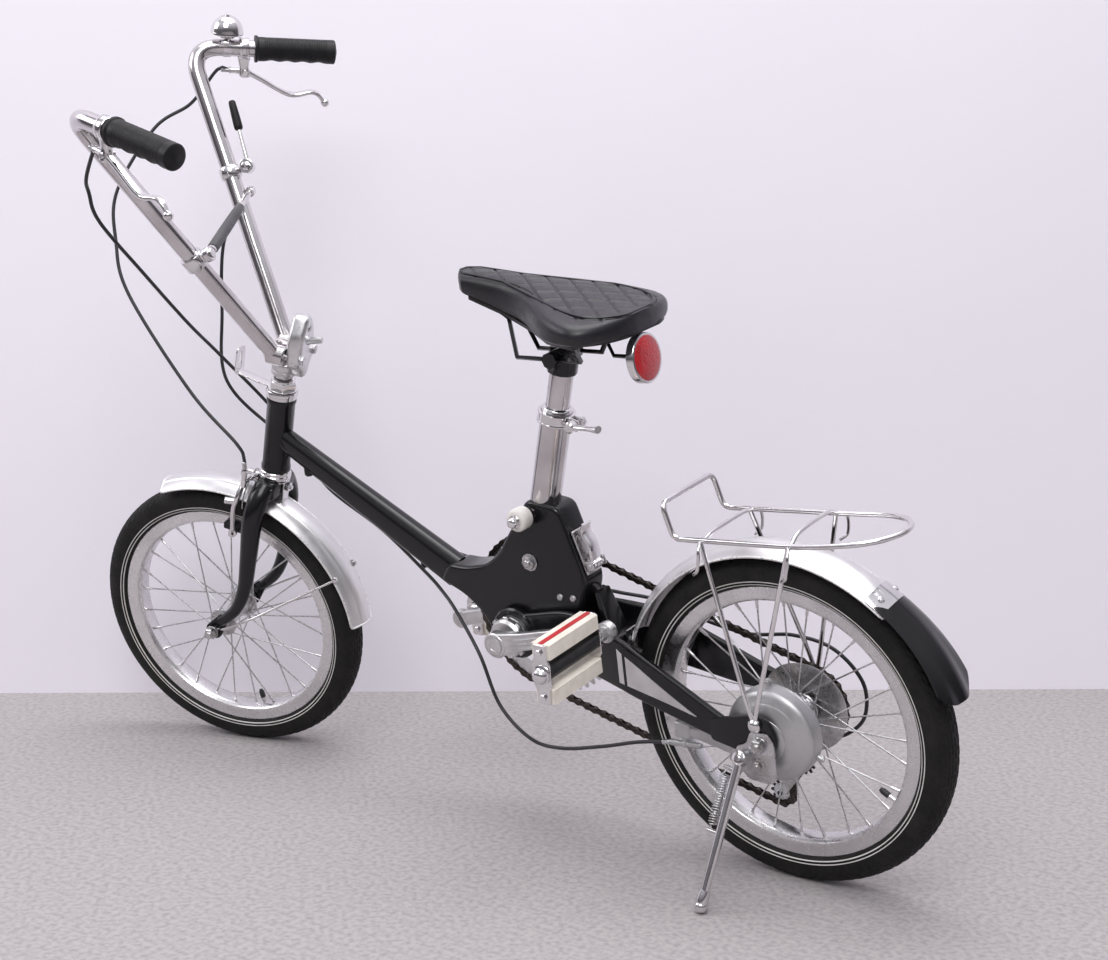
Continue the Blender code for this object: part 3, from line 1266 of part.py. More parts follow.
def saddleBase():
    """The pan under the cushion, its rails, springs' posts, and the clamp on the seat post."""
    rings = []
    for t in (0.10, 0.3, 0.5, 0.65, 0.82):
        x = SADDLE_NOSE_X - (SADDLE_NOSE_X - SADDLE_REAR_X) * t
        foot = saddleFoot(x) - PAN_GAP
        half = saddleHalf(x) * 0.84
        rings.append([Vector((x, half, foot)), Vector((x, half, foot - 0.004)),
                      Vector((x, -half, foot - 0.004)), Vector((x, -half, foot))])
    pan = loft(rings)
    clampAt = atSeat(POST_TOP - 0.012)
    rails = []
    for side in (1, -1):
        y = 0.021
        low = clampAt.z + 0.006
        path = [(SADDLE_NOSE_X - 0.045, side * 0.008, saddleFoot(SADDLE_NOSE_X - 0.045) - 0.0055),
                (SADDLE_NOSE_X - 0.075, side * 0.012, saddleFoot(SADDLE_NOSE_X - 0.075) - 0.012),
                (clampAt.x + 0.050, side * y, low), (clampAt.x - 0.040, side * y, low),
                (SADDLE_REAR_X + 0.075, side * 0.040, saddleFoot(SADDLE_REAR_X + 0.075) - 0.010),
                (SADDLE_REAR_X + 0.053, side * 0.046, saddleFoot(SADDLE_REAR_X + 0.053) - 0.0050)]
        rails.append(wire(path, 0.0034, 0))
    clamp = fuse(rod(clampAt + Y_AXIS * 0.028 + Z_AXIS * 0.006, clampAt - Y_AXIS * 0.028 + Z_AXIS * 0.006,
                     0.0100, 8),
                 rod(atSeat(POST_TOP - 0.026), atSeat(POST_TOP + 0.002), 0.0180, 12))
    clamp = cut(clamp, rod(atSeat(POST_TOP - 0.06), atSeat(POST_TOP + GAP), POST_R + GAP, 12))
    bracket = wire([(SADDLE_REAR_X + 0.060, 0, saddleFoot(SADDLE_REAR_X + 0.060) - 0.0050),
                    (SADDLE_REAR_X + 0.048, 0, REFLECTOR_Z),
                    (REFLECTOR_X + 0.0020, 0, REFLECTOR_Z)], 0.0028, 0)
    made = fuse(pan, *rails, clamp, bracket)
    return part("saddle_base", made, STEEL, "seat_post")


def reflector():
    """A round reflector behind the saddle, facing back."""
    tilt = Vector((-math.cos(math.radians(6)), 0, math.sin(math.radians(6))))
    profile = [(0.0, 0.0060), (REFLECTOR_R * 0.7, 0.0050), (REFLECTOR_R, 0.0025), (REFLECTOR_R, -0.0060),
               (0.0, -0.0070)]
    made = turned(profile, Vector((REFLECTOR_X - 0.0062, 0, REFLECTOR_Z)), tilt, 16)
    return part("reflector", made, RED_LENS, "seat_post")


# Fork and steering

def fork():
    """Steerer, crown, two raked blades and their dropouts."""
    crownTop = -CUP_H - RUNNING
    steerer = rod(atHead(crownTop - 0.010), atHead(STEERER_TOP), STEERER_R, 12)
    crown = bevelled(headBlock(crownTop - 0.024, crownTop, -0.0150, 0.0150, -0.0300, 0.0300), 0.004)
    pieces = [crown] + brakeBolt()
    for side in (1, -1):
        path = [atHead(crownTop - 0.008, 0.002, side * 0.024), atHead(crownTop - 0.022, 0.003, side * 0.038),
                atHead(-0.062, 0.003, side * 0.0505), atHead(-0.118, 0.002, side * BLADE_Y),
                atHead(-0.165, 0.004, side * BLADE_Y), atHead(-0.200, 0.013, side * BLADE_Y),
                atHead(-0.222, 0.027, side * BLADE_Y), atHead(-FORK_DROP + 0.0195, RAKE - 0.0105, side * BLADE_Y)]
        thin = BLADE_LOW_R / BLADE_TOP_R
        pieces.append(wire(path, BLADE_TOP_R, 1, taper=lambda t: 1 - (1 - thin) * max(0.0, t - 0.3) / 0.7))
        tip = atHead(-FORK_DROP, RAKE, side * (FORK_IN + FORK_DROP_T / 2))
        pieces.append(rod(tip - Y_AXIS * FORK_DROP_T / 2, tip + Y_AXIS * FORK_DROP_T / 2, 0.0125, 8))
        top = atHead(-FORK_DROP + 0.018, RAKE - 0.010, side * (FORK_IN + FORK_DROP_T / 2))
        pieces.append(block((tip + top) / 2, (0.015, FORK_DROP_T, 0.024), headTurn()))
    made = fuse(steerer, *pieces)
    centre = frontAxle()
    made = cut(made, rod(atHead(0.020), atHead(STEERER_TOP + 0.02), QUILL_R + GAP, 12),
               rod(centre + Y_AXIS * 0.09, centre - Y_AXIS * 0.09, AXLE_R + GAP, 8))
    return part("fork", made, BLACK_PAINT, "steering")


def brakeBolt():
    """The front brake's bolt through the crown, with its seat, nut and collar."""
    spans = ((-0.0270, 0.0480, BRAKE_BOLT_R, 8), (0.0140, 0.0195, 0.0080, 8), (0.0402, 0.0455, 0.0070, 6),
             (-0.0190, -0.0240, 0.0070, 6))
    return [rod(atHead(BRAKE_BOLT_S, low), atHead(BRAKE_BOLT_S, high), radius, sides)
            for low, high, radius, sides in spans]


def lampBracket():
    """The locknut with the lamp bracket under it: a ring, an arm and an empty lamp plate."""
    ring = turned([(0.0185, LAMP_PLATE_T / 2), (0.0185, -LAMP_PLATE_T / 2),
                   (STEERER_R + GAP, -LAMP_PLATE_T / 2), (STEERER_R + GAP, LAMP_PLATE_T / 2)],
                  atHead(LOCK_S + LAMP_PLATE_T / 2), headUp(), 12, True)
    arm = [roundRing(atHead(LOCK_S + LAMP_PLATE_T / 2, 0.0165), Y_AXIS, headUp(), 0.0070, 0.0010, 0.0003),
           roundRing(atHead(LOCK_S + 0.003, 0.040), Y_AXIS, headUp(), 0.0070, 0.0010, 0.0003),
           roundRing(atHead(LOCK_S + 0.006, 0.0650), Y_AXIS, headUp(), 0.0080, 0.0010, 0.0003)]
    plate = headBlock(LOCK_S + 0.002, LOCK_S + 0.040, 0.0640, 0.0660, -0.0110, 0.0110)
    low = LOCK_S + LAMP_PLATE_T - 0.0004
    nut = cut(rod(atHead(low), atHead(low + 0.0104), 0.0190, 6),
              rod(atHead(low - 0.01), atHead(low + 0.02), STEERER_R + GAP, 12))
    return part("headset_locknut", fuse(ring, loft(arm), plate, nut), CHROME, "steering")


def frontMudguard():
    """The front guard with its bracket behind the crown and a stay on each side."""
    centre = frontAxle()
    extras = []
    tail = onWheel(centre, GUARD_R - GUARD_RISE * 0.9, STAY_ANGLE)
    for side in (1, -1):
        foot = atHead(-FORK_DROP, RAKE, side * STAY_Y)
        root = Vector((tail.x, side * GUARD_HALF_W * 0.95, tail.z))
        path = [root]
        for t, y in ((0.35, 0.050), (0.62, 0.0665), (0.87, 0.0660), (0.935, STAY_Y)):
            spot = root.lerp(foot, t)
            path.append(Vector((spot.x, side * y, spot.z)))
        path.append(foot)
        extras.append(wire(path, STAY_R, 0))
        extras.append(rod(foot - Y_AXIS * STAY_R, foot + Y_AXIS * STAY_R, 0.0085, 8))
    crownFoot = -CUP_H - RUNNING - 0.024
    extras.append(headBlock(crownFoot - 0.0130, crownFoot + 0.0220, -0.0185, -0.0155, -0.008, 0.008))
    made = fuse(mudguardMesh(centre, FRONT_GUARD_FROM, FRONT_GUARD_TO, 10), *extras)
    made = cut(made, rod(centre + Y_AXIS * 0.09, centre - Y_AXIS * 0.09, AXLE_R + 0.0006, 8),
               rod(atHead(BRAKE_BOLT_S, -0.05), atHead(BRAKE_BOLT_S, 0.0), BRAKE_BOLT_R + GAP, 8))
    return part("front_mudguard", made, SILVER_PAINT, "steering")


def mudguardMesh(centre, firstAngle, lastAngle, steps):
    """A thin crowned strip round the wheel."""
    sections = []
    spots = (-1.0, -0.45, 0.45, 1.0)
    for step in range(steps + 1):
        angle = firstAngle + (lastAngle - firstAngle) * step / steps
        outer = [onWheel(centre, GUARD_R - GUARD_RISE * t * t, angle, GUARD_HALF_W * t) for t in spots]
        inner = [onWheel(centre, GUARD_R - GUARD_RISE * t * t - GUARD_T, angle, GUARD_HALF_W * t * 0.985)
                 for t in reversed(spots)]
        sections.append(outer + inner)
    return loft(sections)


def rearMudguard():
    """The rear guard with its tab on the arm's bridge."""
    centre = Vector((0, 0, WHEEL_R))
    made = mudguardMesh(centre, REAR_GUARD_FROM, REAR_GUARD_TO, 8)
    foot = Vector((BRIDGE_X - 0.012 - GAP, 0, BRIDGE_Z))
    root = onWheel(centre, GUARD_R - GUARD_T * 0.5, REAR_GUARD_FROM + 2)
    tab = loft([roundRing((foot.x - 0.0015, 0, BRIDGE_Z - 0.010), Y_AXIS, X_AXIS, 0.010, 0.0015, 0.0005),
                roundRing((foot.x - 0.0015, 0, BRIDGE_Z + 0.010), Y_AXIS, X_AXIS, 0.010, 0.0015, 0.0005),
                roundRing((root.x - 0.0016, 0, root.z + 0.0010), Y_AXIS, X_AXIS, 0.010, 0.0022, 0.0005)])
    return part("rear_mudguard", fuse(made, tab), SILVER_PAINT, "rear_arm")


def mudFlap():
    """A soft flap below the rear guard's end, and its clip."""
    centre = Vector((0, 0, WHEEL_R))
    sections = []
    spots = (-1.0, -0.45, 0.45, 1.0)
    steps = 4
    for step in range(steps + 1):
        t = step / steps
        angle = REAR_GUARD_TO - 6 + (FLAP_TO - REAR_GUARD_TO + 6) * t
        wide = GUARD_HALF_W * (1.02 + 0.28 * t)
        lift = GUARD_R + 0.0004 + 0.0020 * t
        rise = GUARD_RISE * (1.0 - 0.4 * t)
        outer = [onWheel(centre, lift + 0.0012 - rise * v * v, angle, wide * v) for v in spots]
        inner = [onWheel(centre, lift - rise * v * v, angle, wide * v) for v in reversed(spots)]
        sections.append(outer + inner)
    return part("mud_flap", loft(sections), BLACK_RUBBER, "rear_arm")


def caliper():
    """The front brake's two arms with their shoes."""
    for side, name, depth in ((1, "caliper_arm_left", 0.0352), (-1, "caliper_arm_right", 0.0245)):
        eye = cut(rod(atHead(BRAKE_BOLT_S, depth - 0.0040), atHead(BRAKE_BOLT_S, depth + 0.0040), 0.0085, 8),
                  rod(atHead(BRAKE_BOLT_S, 0.0), atHead(BRAKE_BOLT_S, 0.08), BRAKE_BOLT_R + GAP, 8))
        padSpot = atHead(-FORK_DROP + 0.1530, PAD_F, side * 0.0205)
        path = [atHead(BRAKE_BOLT_S - 0.001, depth, side * 0.0075), atHead(BRAKE_BOLT_S - 0.002, depth, side * 0.024),
                atHead(BRAKE_BOLT_S - 0.018, 0.034, side * 0.0365), atHead(-0.060, PAD_F, side * 0.0375),
                atHead(-FORK_DROP + 0.1500, PAD_F, side * 0.0350)]
        arm = wire(path, 0.0042, 1)
        post = rod(Vector((padSpot.x, side * 0.0240, padSpot.z)), Vector((padSpot.x, side * 0.0440, padSpot.z)),
                   0.0038, 6)
        pad = block(padSpot, (0.042, 0.0095, 0.0100), headTurn())
        pieces = [arm, post, pad]
        if side < 0:
            cross = [atHead(BRAKE_BOLT_S + 0.004, depth, 0.0030), atHead(BRAKE_BOLT_S + 0.010, depth - 0.001, 0.020),
                     atHead(BRAKE_BOLT_S + 0.010, depth, 0.0420)]
            pieces.append(wire(cross, 0.0036, 0))
            pieces.append(rod(atHead(BRAKE_BOLT_S + 0.003, depth, 0.0420), atHead(BRAKE_BOLT_S + 0.030, depth, 0.0420),
                              0.0046, 6))
        else:
            pieces.append(rod(atHead(BRAKE_BOLT_S - 0.026, PAD_F - 0.003, 0.0370),
                              atHead(BRAKE_BOLT_S - 0.026, PAD_F + 0.012, 0.0420), 0.0046, 6))
        part(name, fuse(eye, *pieces), CHROME, name)


# Stem and bars

def stem():
    """The quill in the steerer, and the casting that carries both bars."""
    quill = rod(atHead(0.035), atHead(STEM_LOW_S + 0.003), QUILL_R, 12)
    collar = rod(atHead(STEM_LOW_S), atHead(STEM_LOW_S + 0.0160), 0.0165, 12)
    plate = bevelled(headBlock(STEM_LOW_S + 0.002, STEM_LOW_S + 0.088, -0.0300, -STEM_FACE, -0.0250, 0.0250),
                     0.004)
    stub = rod(atHead(BAR_PIVOT_S + 0.020, -0.026), atHead(BAR_PIVOT_S + 0.026, -0.0480), 0.0048, 8)
    heads = [rod(atHead(BAR_PIVOT_S, -0.028, side * BAR_PIVOT_Y), atHead(BAR_PIVOT_S, -0.035, side * BAR_PIVOT_Y),
                 0.0070, 8) for side in (1, -1)]
    pins = [rod(atHead(BAR_PIVOT_S, -STEM_FACE - 0.004, side * BAR_PIVOT_Y),
                atHead(BAR_PIVOT_S, BAR_EYE_F + 0.0140, side * BAR_PIVOT_Y), BAR_PIN_R, 8) for side in (1, -1)]
    made = fuse(collar, quill, plate, stub, *heads, *pins)
    return part("stem_head", made, ALLOY, "stem")


def barPath(side):
    """The bar's centre line: up and out from its eye, then back along the grip."""
    points = [atHead(BAR_PIVOT_S - 0.003, BAR_EYE_F - 0.002, side * (BAR_PIVOT_Y - 0.001)),
              atHead(0.4910, 0.2280, side * 0.1680), atHead(0.4993, 0.0567, side * 0.2520)]
    return points


def barEnds(side):
    points = barPath(side)
    along = (points[2] - points[1]).normalized()
    return points[2], along


def bar(side, name, joint):
    """A chromed bar with its eye, and the clamp of the stay rod or of the shifter."""
    tube = wire(rounded(barPath(side), 0.045, 3), BAR_R, 2)
    eyeAt = atHead(BAR_PIVOT_S, 0, side * BAR_PIVOT_Y)
    ahead = headForward()
    eye = rod(eyeAt - ahead * (STEM_FACE - GAP), eyeAt + ahead * (BAR_EYE_F + 0.0095), 0.0135, 10)
    clamp = rodClamp() if side > 0 else shiftClamp()
    hole = rod(eyeAt - ahead * 0.05, eyeAt + ahead * 0.05, overFlats(BAR_PIN_R, 8), 8)
    made = fuse(cut(fuse(tube, eye), hole), *clamp)
    return part(name, made, CHROME, joint)


def grip(side, name, joint):
    """A rubber grip over the bar's end, with a flange at its inner end."""
    tip, along = barEnds(side)
    start = tip - along * GRIP_LEN
    profile = [(0.0, GRIP_LEN + 0.0035), (GRIP_R - 0.003, GRIP_LEN + 0.0030), (GRIP_R, GRIP_LEN - 0.001),
               (GRIP_R, 0.0030), (GRIP_R + 0.0018, 0.0), (BAR_R + GAP, 0.0),
               (BAR_R + GAP, GRIP_LEN + GAP), (0.0, GRIP_LEN + GAP)]
    return part(name, turned(profile, start, along, 14), BLACK_RUBBER, joint)


def leverFrame(side):
    """Where the brake lever's mount holds the bar, and its axes."""
    tip, along = barEnds(side)
    spot = tip - along * (GRIP_LEN + 0.0140)
    under = (atHead(0, 0) - atHead(1.0, 0)).normalized()
    under = (under - along * under.dot(along)).normalized()
    across = along.cross(under).normalized()
    return spot, along, under, across


def leverMount(side, name, joint):
    """The band round the bar, the lever's housing below it and the cable's exit."""
    spot, along, under, across = leverFrame(side)
    band = turned([(BAR_R + 0.0030, 0.0060), (BAR_R + 0.0030, -0.0060), (BAR_R + GAP, -0.0060),
                   (BAR_R + GAP, 0.0060)], spot, along, 8, True)
    root = spot + under * (BAR_R + 0.0015)
    pivotAt = leverPivot(side)
    body = loft([roundRing(root, along, across, 0.0085, 0.0065, 0.002),
                 roundRing(pivotAt + under * 0.0080, along, across, 0.0080, LEVER_HALF + 0.0030, 0.002)])
    horn = rod(pivotAt - along * 0.004, pivotAt - along * LEVER_HORN, 0.0042, 6)
    made = fuse(band, body, horn)
    made = cut(made, block(pivotAt + along * 0.0100, (0.034, 2 * LEVER_HALF + 2 * GAP, 0.024),
                           Matrix((along, across, along.cross(across))).transposed()))
    pin = rod(pivotAt - across * (LEVER_HALF + 0.004), pivotAt + across * (LEVER_HALF + 0.004), 0.0022, 6)
    made = fuse(made, pin)
    return part(name, made, ALLOY, joint)


def leverPivot(side):
    spot, along, under, across = leverFrame(side)
    return spot + under * 0.0300 + along * 0.0020


def brakeLever(side, name, joint):
    """A blade that runs back under the grip and ends in a ball."""
    spot, along, under, across = leverFrame(side)
    foot = leverPivot(side)
    path = [foot, foot + along * 0.020 + under * 0.010, foot + along * 0.060 + under * 0.030,
            foot + along * 0.092 + under * 0.026, foot + along * 0.108 + under * 0.040]
    sections = []
    for index, point in enumerate(path):
        ahead = (path[min(index + 1, 4)] - path[max(index - 1, 0)]).normalized()
        thick = ahead.cross(across)
        wide = (LEVER_HALF, 0.0058, 0.0062, 0.0052, 0.0030)[index]
        sections.append(roundRing(point, across, thick, wide if index else LEVER_HALF - GAP, 0.0030, 0.001))
    blade = loft(sections)
    eye = rod(foot - across * (LEVER_HALF - GAP), foot + across * (LEVER_HALF - GAP), 0.0062, 8)
    made = fuse(blade, eye, ball(path[-1], 0.0060, 8, 4))
    made = cut(made, rod(foot - across * 0.02, foot + across * 0.02, 0.0022 + 0.0006, 6))
    return part(name, made, CHROME, joint)


def rodClamp():
    """The stay rod's clamp on the left bar, with the pin that the rod turns on."""
    foot, out = rodAxis()
    spot, along = onBar(1, ROD_LEFT)
    clamp = turned([(BAR_R + 0.0040, 0.0090), (BAR_R + 0.0040, -0.0090), (BAR_R - 0.0008, -0.0090),
                    (BAR_R - 0.0008, 0.0090)], spot, along, 8, True)
    return [clamp, rod(spot + out * (BAR_R - 0.002), foot + out * 0.0065, ROD_PIN_R, 8)]


def stayRod():
    """The rod that ties the bars: an eye on the left bar's pin, a sleeve, a tip behind the right bar."""
    foot, out = rodAxis()
    tip = onBar(-1, ROD_RIGHT)[0] + out * (BAR_R + ROD_R + GAP)
    reach = (tip - foot).normalized()
    end = tip + reach * 0.0190
    eye = cut(rod(foot - out * 0.0045, foot + out * 0.0060, 0.0095, 10),
              rod(foot - out * 0.02, foot + out * 0.02, overFlats(ROD_PIN_R, 8), 8))
    made = fuse(eye, rod(foot + reach * 0.0080, end, ROD_R, 6),
                rod(foot + reach * 0.0145, foot.lerp(tip, 0.78), 0.0072, 8),
                rod(end - reach * 0.004, end + reach * 0.003, ROD_R + 0.0016, 6))
    part("stay_rod", made, BLACK_RUBBER, "stay_rod")


def onBar(side, t):
    """A point t of the way from a bar's eye to its bend, and the bar's direction there."""
    points = barPath(side)
    return points[0].lerp(points[1], t), (points[1] - points[0]).normalized()


def behind(along):
    """The direction square to a bar that points back."""
    back = -headForward()
    return (back - along * back.dot(along)).normalized()


def rodAxis():
    """The stay rod's pin on the left bar, square to the plane that both bars lie in."""
    spot, along = onBar(1, ROD_LEFT)
    out = along.cross(onBar(-1, ROD_RIGHT)[1]).normalized()
    if out.dot(headForward()) > 0:
        out = -out
    return spot + out * (BAR_R + 0.0115), out


def shifterAt():
    """The shifter's hub behind the right bar, and the bar's own directions there."""
    spot, along = onBar(-1, SHIFT_T)
    out = behind(along)
    across = along.cross(out)
    return spot, along, out, across if across.y < 0 else -across


def shiftClamp():
    """The shifter's band on the right bar, its boss and pin, and the cable's barrel."""
    spot, along, out, side = shifterAt()
    ring = turned([(BAR_R + 0.0032, 0.0075), (BAR_R + 0.0032, -0.0075), (BAR_R - 0.0008, -0.0075),
                   (BAR_R - 0.0008, 0.0075)], spot, along, 8, True)
    hub = spot + out * (BAR_R + SHIFT_HUB_OUT)
    barrel = spot + side * (BAR_R + 0.0060)
    return [ring, rod(hub - side * 0.0080, hub + side * 0.0020, 0.0095, 8),
            rod(hub, hub + side * 0.0095, SHIFT_PIN_R, 8),
            rod(spot + out * (BAR_R - 0.001) - side * 0.0030, hub - side * 0.0030, 0.0045, 6),
            rod(barrel + along * 0.006, barrel - along * SHIFT_BARREL, 0.0042, 6)]


def shifter():
    """The thumb shifter's lever with its rubber end."""
    spot, along, out, side = shifterAt()
    hub = spot + out * (BAR_R + SHIFT_HUB_OUT)
    eye = cut(rod(hub + side * (0.0020 + GAP), hub + side * 0.0075, 0.0090, 10),
              rod(hub - side * 0.02, hub + side * 0.02, overFlats(SHIFT_PIN_R, 8), 8))
    foot = hub + side * 0.0050
    tip = foot + along * 0.090 + out * 0.006
    made = fuse(eye, rod(foot + along * 0.006, tip, 0.0024, 6),
                rod(foot.lerp(tip, 0.58), tip + along * 0.006, 0.0058, 8, 0.0045))
    part("shift_lever", made, STEEL, "shift_lever")


def bellAt():
    tip, along = barEnds(-1)
    return tip - along * (GRIP_LEN + 0.036), along


def bell():
    """A thumb bell on the right bar: band, base and dome, and its lever."""
    spot, along = bellAt()
    up = (headUp() - along * headUp().dot(along)).normalized()
    across = along.cross(up)
    band = turned([(BAR_R + 0.0024, 0.0045), (BAR_R + 0.0024, -0.0045), (BAR_R + GAP, -0.0045),
                   (BAR_R + GAP, 0.0045)], spot, along, 8, True)
    seat = spot + up * (BAR_R + BELL_SEAT)
    foot = seat + up * BELL_POST
    profile = [(0.0, 0.0240), (0.0100, 0.0220), (0.0180, 0.0150), (0.0215, 0.0050), (0.0200, 0.0),
               (0.0, 0.0)]
    made = fuse(band, rod(seat, foot + up * 0.001, BELL_POST_R, 8), turned(profile, foot, up, 12))
    part("bell", made, CHROME, "right_bar")
    hinge = foot - up * BELL_LEVER_DROP
    ring = cut(rod(hinge - up * 0.0012, hinge + up * 0.0012, 0.0100, 10),
               rod(hinge - up * 0.01, hinge + up * 0.01, overFlats(BELL_POST_R, 8), 8))
    leverTip = hinge + across * -0.0320 - along * 0.004
    made = fuse(ring, rod(hinge - across * 0.0080, leverTip, 0.0022, 4),
                rod(leverTip - up * 0.0030, leverTip + up * 0.0040, 0.0055, 6))
    part("bell_lever", made, CHROME, "bell_lever")


def bellHinge():
    spot, along = bellAt()
    up = (headUp() - along * headUp().dot(along)).normalized()
    return spot + up * (BAR_R + BELL_SEAT + BELL_POST - BELL_LEVER_DROP), up


# Cables

def steered(points, angle):
    """Points given along the head axis as (s, f, y), turned with the fork or the stem."""
    turn = Matrix.Rotation(math.radians(angle), 3, headUp())
    root = atHead(0)
    return [root + turn @ (atHead(s, f, y) - root) for s, f, y in points]


def leverExit(side, reach):
    """A point on the line of a lever's barrel, in (s, f, y)."""
    spot, along, under, across = leverFrame(side)
    return headPlace(leverPivot(side) - along * reach)


def headPlace(point):
    away = point - atHead(0)
    return away.dot(headUp()), away.dot(headForward()), point.y


def frontBrakeCable():
    """From the right lever, in a bow before the bars, down to the caliper."""
    route = steered([leverExit(-1, LEVER_HORN + GAP), leverExit(-1, LEVER_HORN + 0.016),
                     (0.4150, 0.2200, -0.168), (0.3796, 0.2580, -0.140), (0.3002, 0.2850, -0.090),
                     (0.2421, 0.2700, -0.060), (0.1852, 0.2352, -0.030)], STEER_TURN + STEM_TURN)
    route += steered([(0.0900, 0.1200, 0.030), (0.0420, 0.0400, 0.0410), (0.0250, 0.0268, 0.0420),
                      (BRAKE_BOLT_S + 0.0305, 0.0245, 0.0420)], STEER_TURN)
    return part("front_brake_cable", wire(smoothed(route, 0.028), CABLE_R, 2), BLACK_RUBBER, "steering")


def rearBrakeCable():
    """From the left lever down past the head, below the main tube and along the left beam."""
    route = steered([leverExit(1, LEVER_HORN + GAP), leverExit(1, LEVER_HORN + 0.004), (0.4200, 0.1980, 0.176),
                     (0.3950, 0.2020, 0.160), (0.3600, 0.1900, 0.155), (0.2808, 0.1550, 0.100),
                     (0.2000, 0.1200, 0.040), (0.1400, 0.0950, -0.012)], STEER_TURN + STEM_TURN)
    route += [Vector(p) for p in ((0.786, -0.026, 0.500), (0.750, -0.031, 0.448), (0.690, -0.014, 0.399),
                                  (0.600, -0.010, 0.352), (0.530, -0.004, 0.305), (0.498, 0.004, 0.286),
                                  (0.4637, 0.020, 0.268), (0.417, 0.040, 0.2246), (0.3865, 0.050, 0.166),
                                  (0.3408, 0.055, 0.1319), (0.2956, 0.055, 0.1275), (0.2344, 0.054, 0.1414),
                                  (0.180, 0.052, 0.1575))]
    route.append(Vector((REACTION_X + 0.0284, REAR_DROP_IN - 0.0128, REACTION_Z - 0.0196)))
    return part("rear_brake_cable", wire(smoothed(route, 0.040), CABLE_R, 2), BLACK_RUBBER, "frame")


def shiftCable():
    """From the shifter down past the head, along the right side and round behind to the changer."""
    spot, along, out, side = shifterAt()
    barrel = spot + side * (BAR_R + 0.0060)
    route = steered([headPlace(barrel - along * (SHIFT_BARREL + GAP)), headPlace(barrel - along * 0.030),
                     (0.2600, 0.1320, -0.094), (0.1744, 0.1186, -0.070), (0.0900, 0.0970, -0.045)],
                    STEER_TURN + STEM_TURN)
    route += [Vector(p) for p in ((0.806, -0.032, 0.474), (0.752, -0.042, 0.446), (0.690, -0.026, 0.424),
                                  (0.600, -0.022, 0.372), (0.520, -0.022, 0.338), (0.450, -0.0250, 0.322),
                                  (0.400, -0.0250, 0.322), (0.350, -0.0250, 0.318), (0.300, -0.0280, 0.311),
                                  (0.250, -0.0380, 0.303), (0.200, -0.0500, 0.295), (0.150, -0.0570, 0.277),
                                  (0.091, -0.0670, 0.262), (0.036, -0.0785, 0.264), (-0.015, -0.0800, 0.254),
                                  (-0.050, -0.0800, 0.218), (-0.050, -0.0790, 0.175), (-0.025, -0.0775, 0.148),
                                  (-0.002, -0.0765, 0.144))]
    route.append(Vector((0.0125, -(REAR_DROP_IN + DROPOUT_T + 0.0071), WHEEL_R - 0.0560)))
    return part("shift_cable", wire(smoothed(route, 0.040), CABLE_R, 2), BLACK_RUBBER, "frame")


# Joints

def makeJoints():
    """One empty on each joint's axis, hung in the order in which the bodies carry each other."""
    head = atHead(0)
    pivot("frame", (0, 0, 0), Z_AXIS)
    pivot("steering", head, headUp(), "frame")
    pivot("stem", head, headUp(), "steering")
    pivot("front_wheel", frontAxle(), Y_AXIS, "steering")
    pivot("rear_arm", bb(), -Y_AXIS, "frame")
    pivot("rear_wheel", (0, 0, WHEEL_R), Y_AXIS, "rear_arm")
    pivot("freewheel", (0, 0, WHEEL_R), Y_AXIS, "rear_arm")
    pivot("kickstand_leg", standPoint(), standAxis(), "rear_arm")
    pivot("band_brake_lever", (BAND_PIVOT_X, BAND_PIVOT_Y, BAND_PIVOT_Z), -Y_AXIS, "rear_arm")
    pivot("crank", bb(), Y_AXIS, "frame")
    pivot("pedal_left", crankPoint(1), Y_AXIS, "crank")
    pivot("pedal_right", crankPoint(-1), Y_AXIS, "crank")
    pivot("seat_post", atSeat(0), seatUp(), "frame")
    pivot("seat_lever", atSeat(SEAT_TUBE_TOP - 0.010, -SEAT_TUBE_R - 0.0110), Y_AXIS, "frame")
    pivot("roller", (ROLLER_X, 0, ROLLER_Z), Y_AXIS, "frame")
    pivot("latch_lever", onLatch(LATCH_PIVOT_UP, LATCH_PIVOT_OUT), -Y_AXIS, "frame")
    bolt = atHead(BRAKE_BOLT_S)
    pivot("caliper_arm_left", bolt, headForward(), "steering")
    pivot("caliper_arm_right", bolt, headForward(), "steering")
    pivot("left_bar", atHead(BAR_PIVOT_S, 0, BAR_PIVOT_Y), -headForward(), "stem")
    pivot("right_bar", atHead(BAR_PIVOT_S, 0, -BAR_PIVOT_Y), headForward(), "stem")
    for side, name, carrierName in ((1, "left_brake_lever", "left_bar"), (-1, "right_brake_lever", "right_bar")):
        across = leverFrame(side)[3]
        pivot(name, leverPivot(side), -across, carrierName)
    rodFoot, rodOut = rodAxis()
    pivot("stay_rod", rodFoot, rodOut, "left_bar")
    spot, along, out, side = shifterAt()
    pivot("shift_lever", spot + out * (BAR_R + SHIFT_HUB_OUT), side, "right_bar")
    hinge, up = bellHinge()
    pivot("bell_lever", hinge, up, "right_bar")


def turnJoint(name, angle):
    """Turn a joint's empty, and all that hangs on it, about its own axis."""
    empty = jointEmpties[name]
    empty.matrix_world = empty.matrix_world @ Matrix.Rotation(math.radians(angle), 4, "Z")
    bpy.context.view_layer.update()


def lowestPoint(obj, stance):
    matrix = stance @ obj.matrix_world
    return min((matrix @ vertex.co).z for vertex in obj.data.vertices)


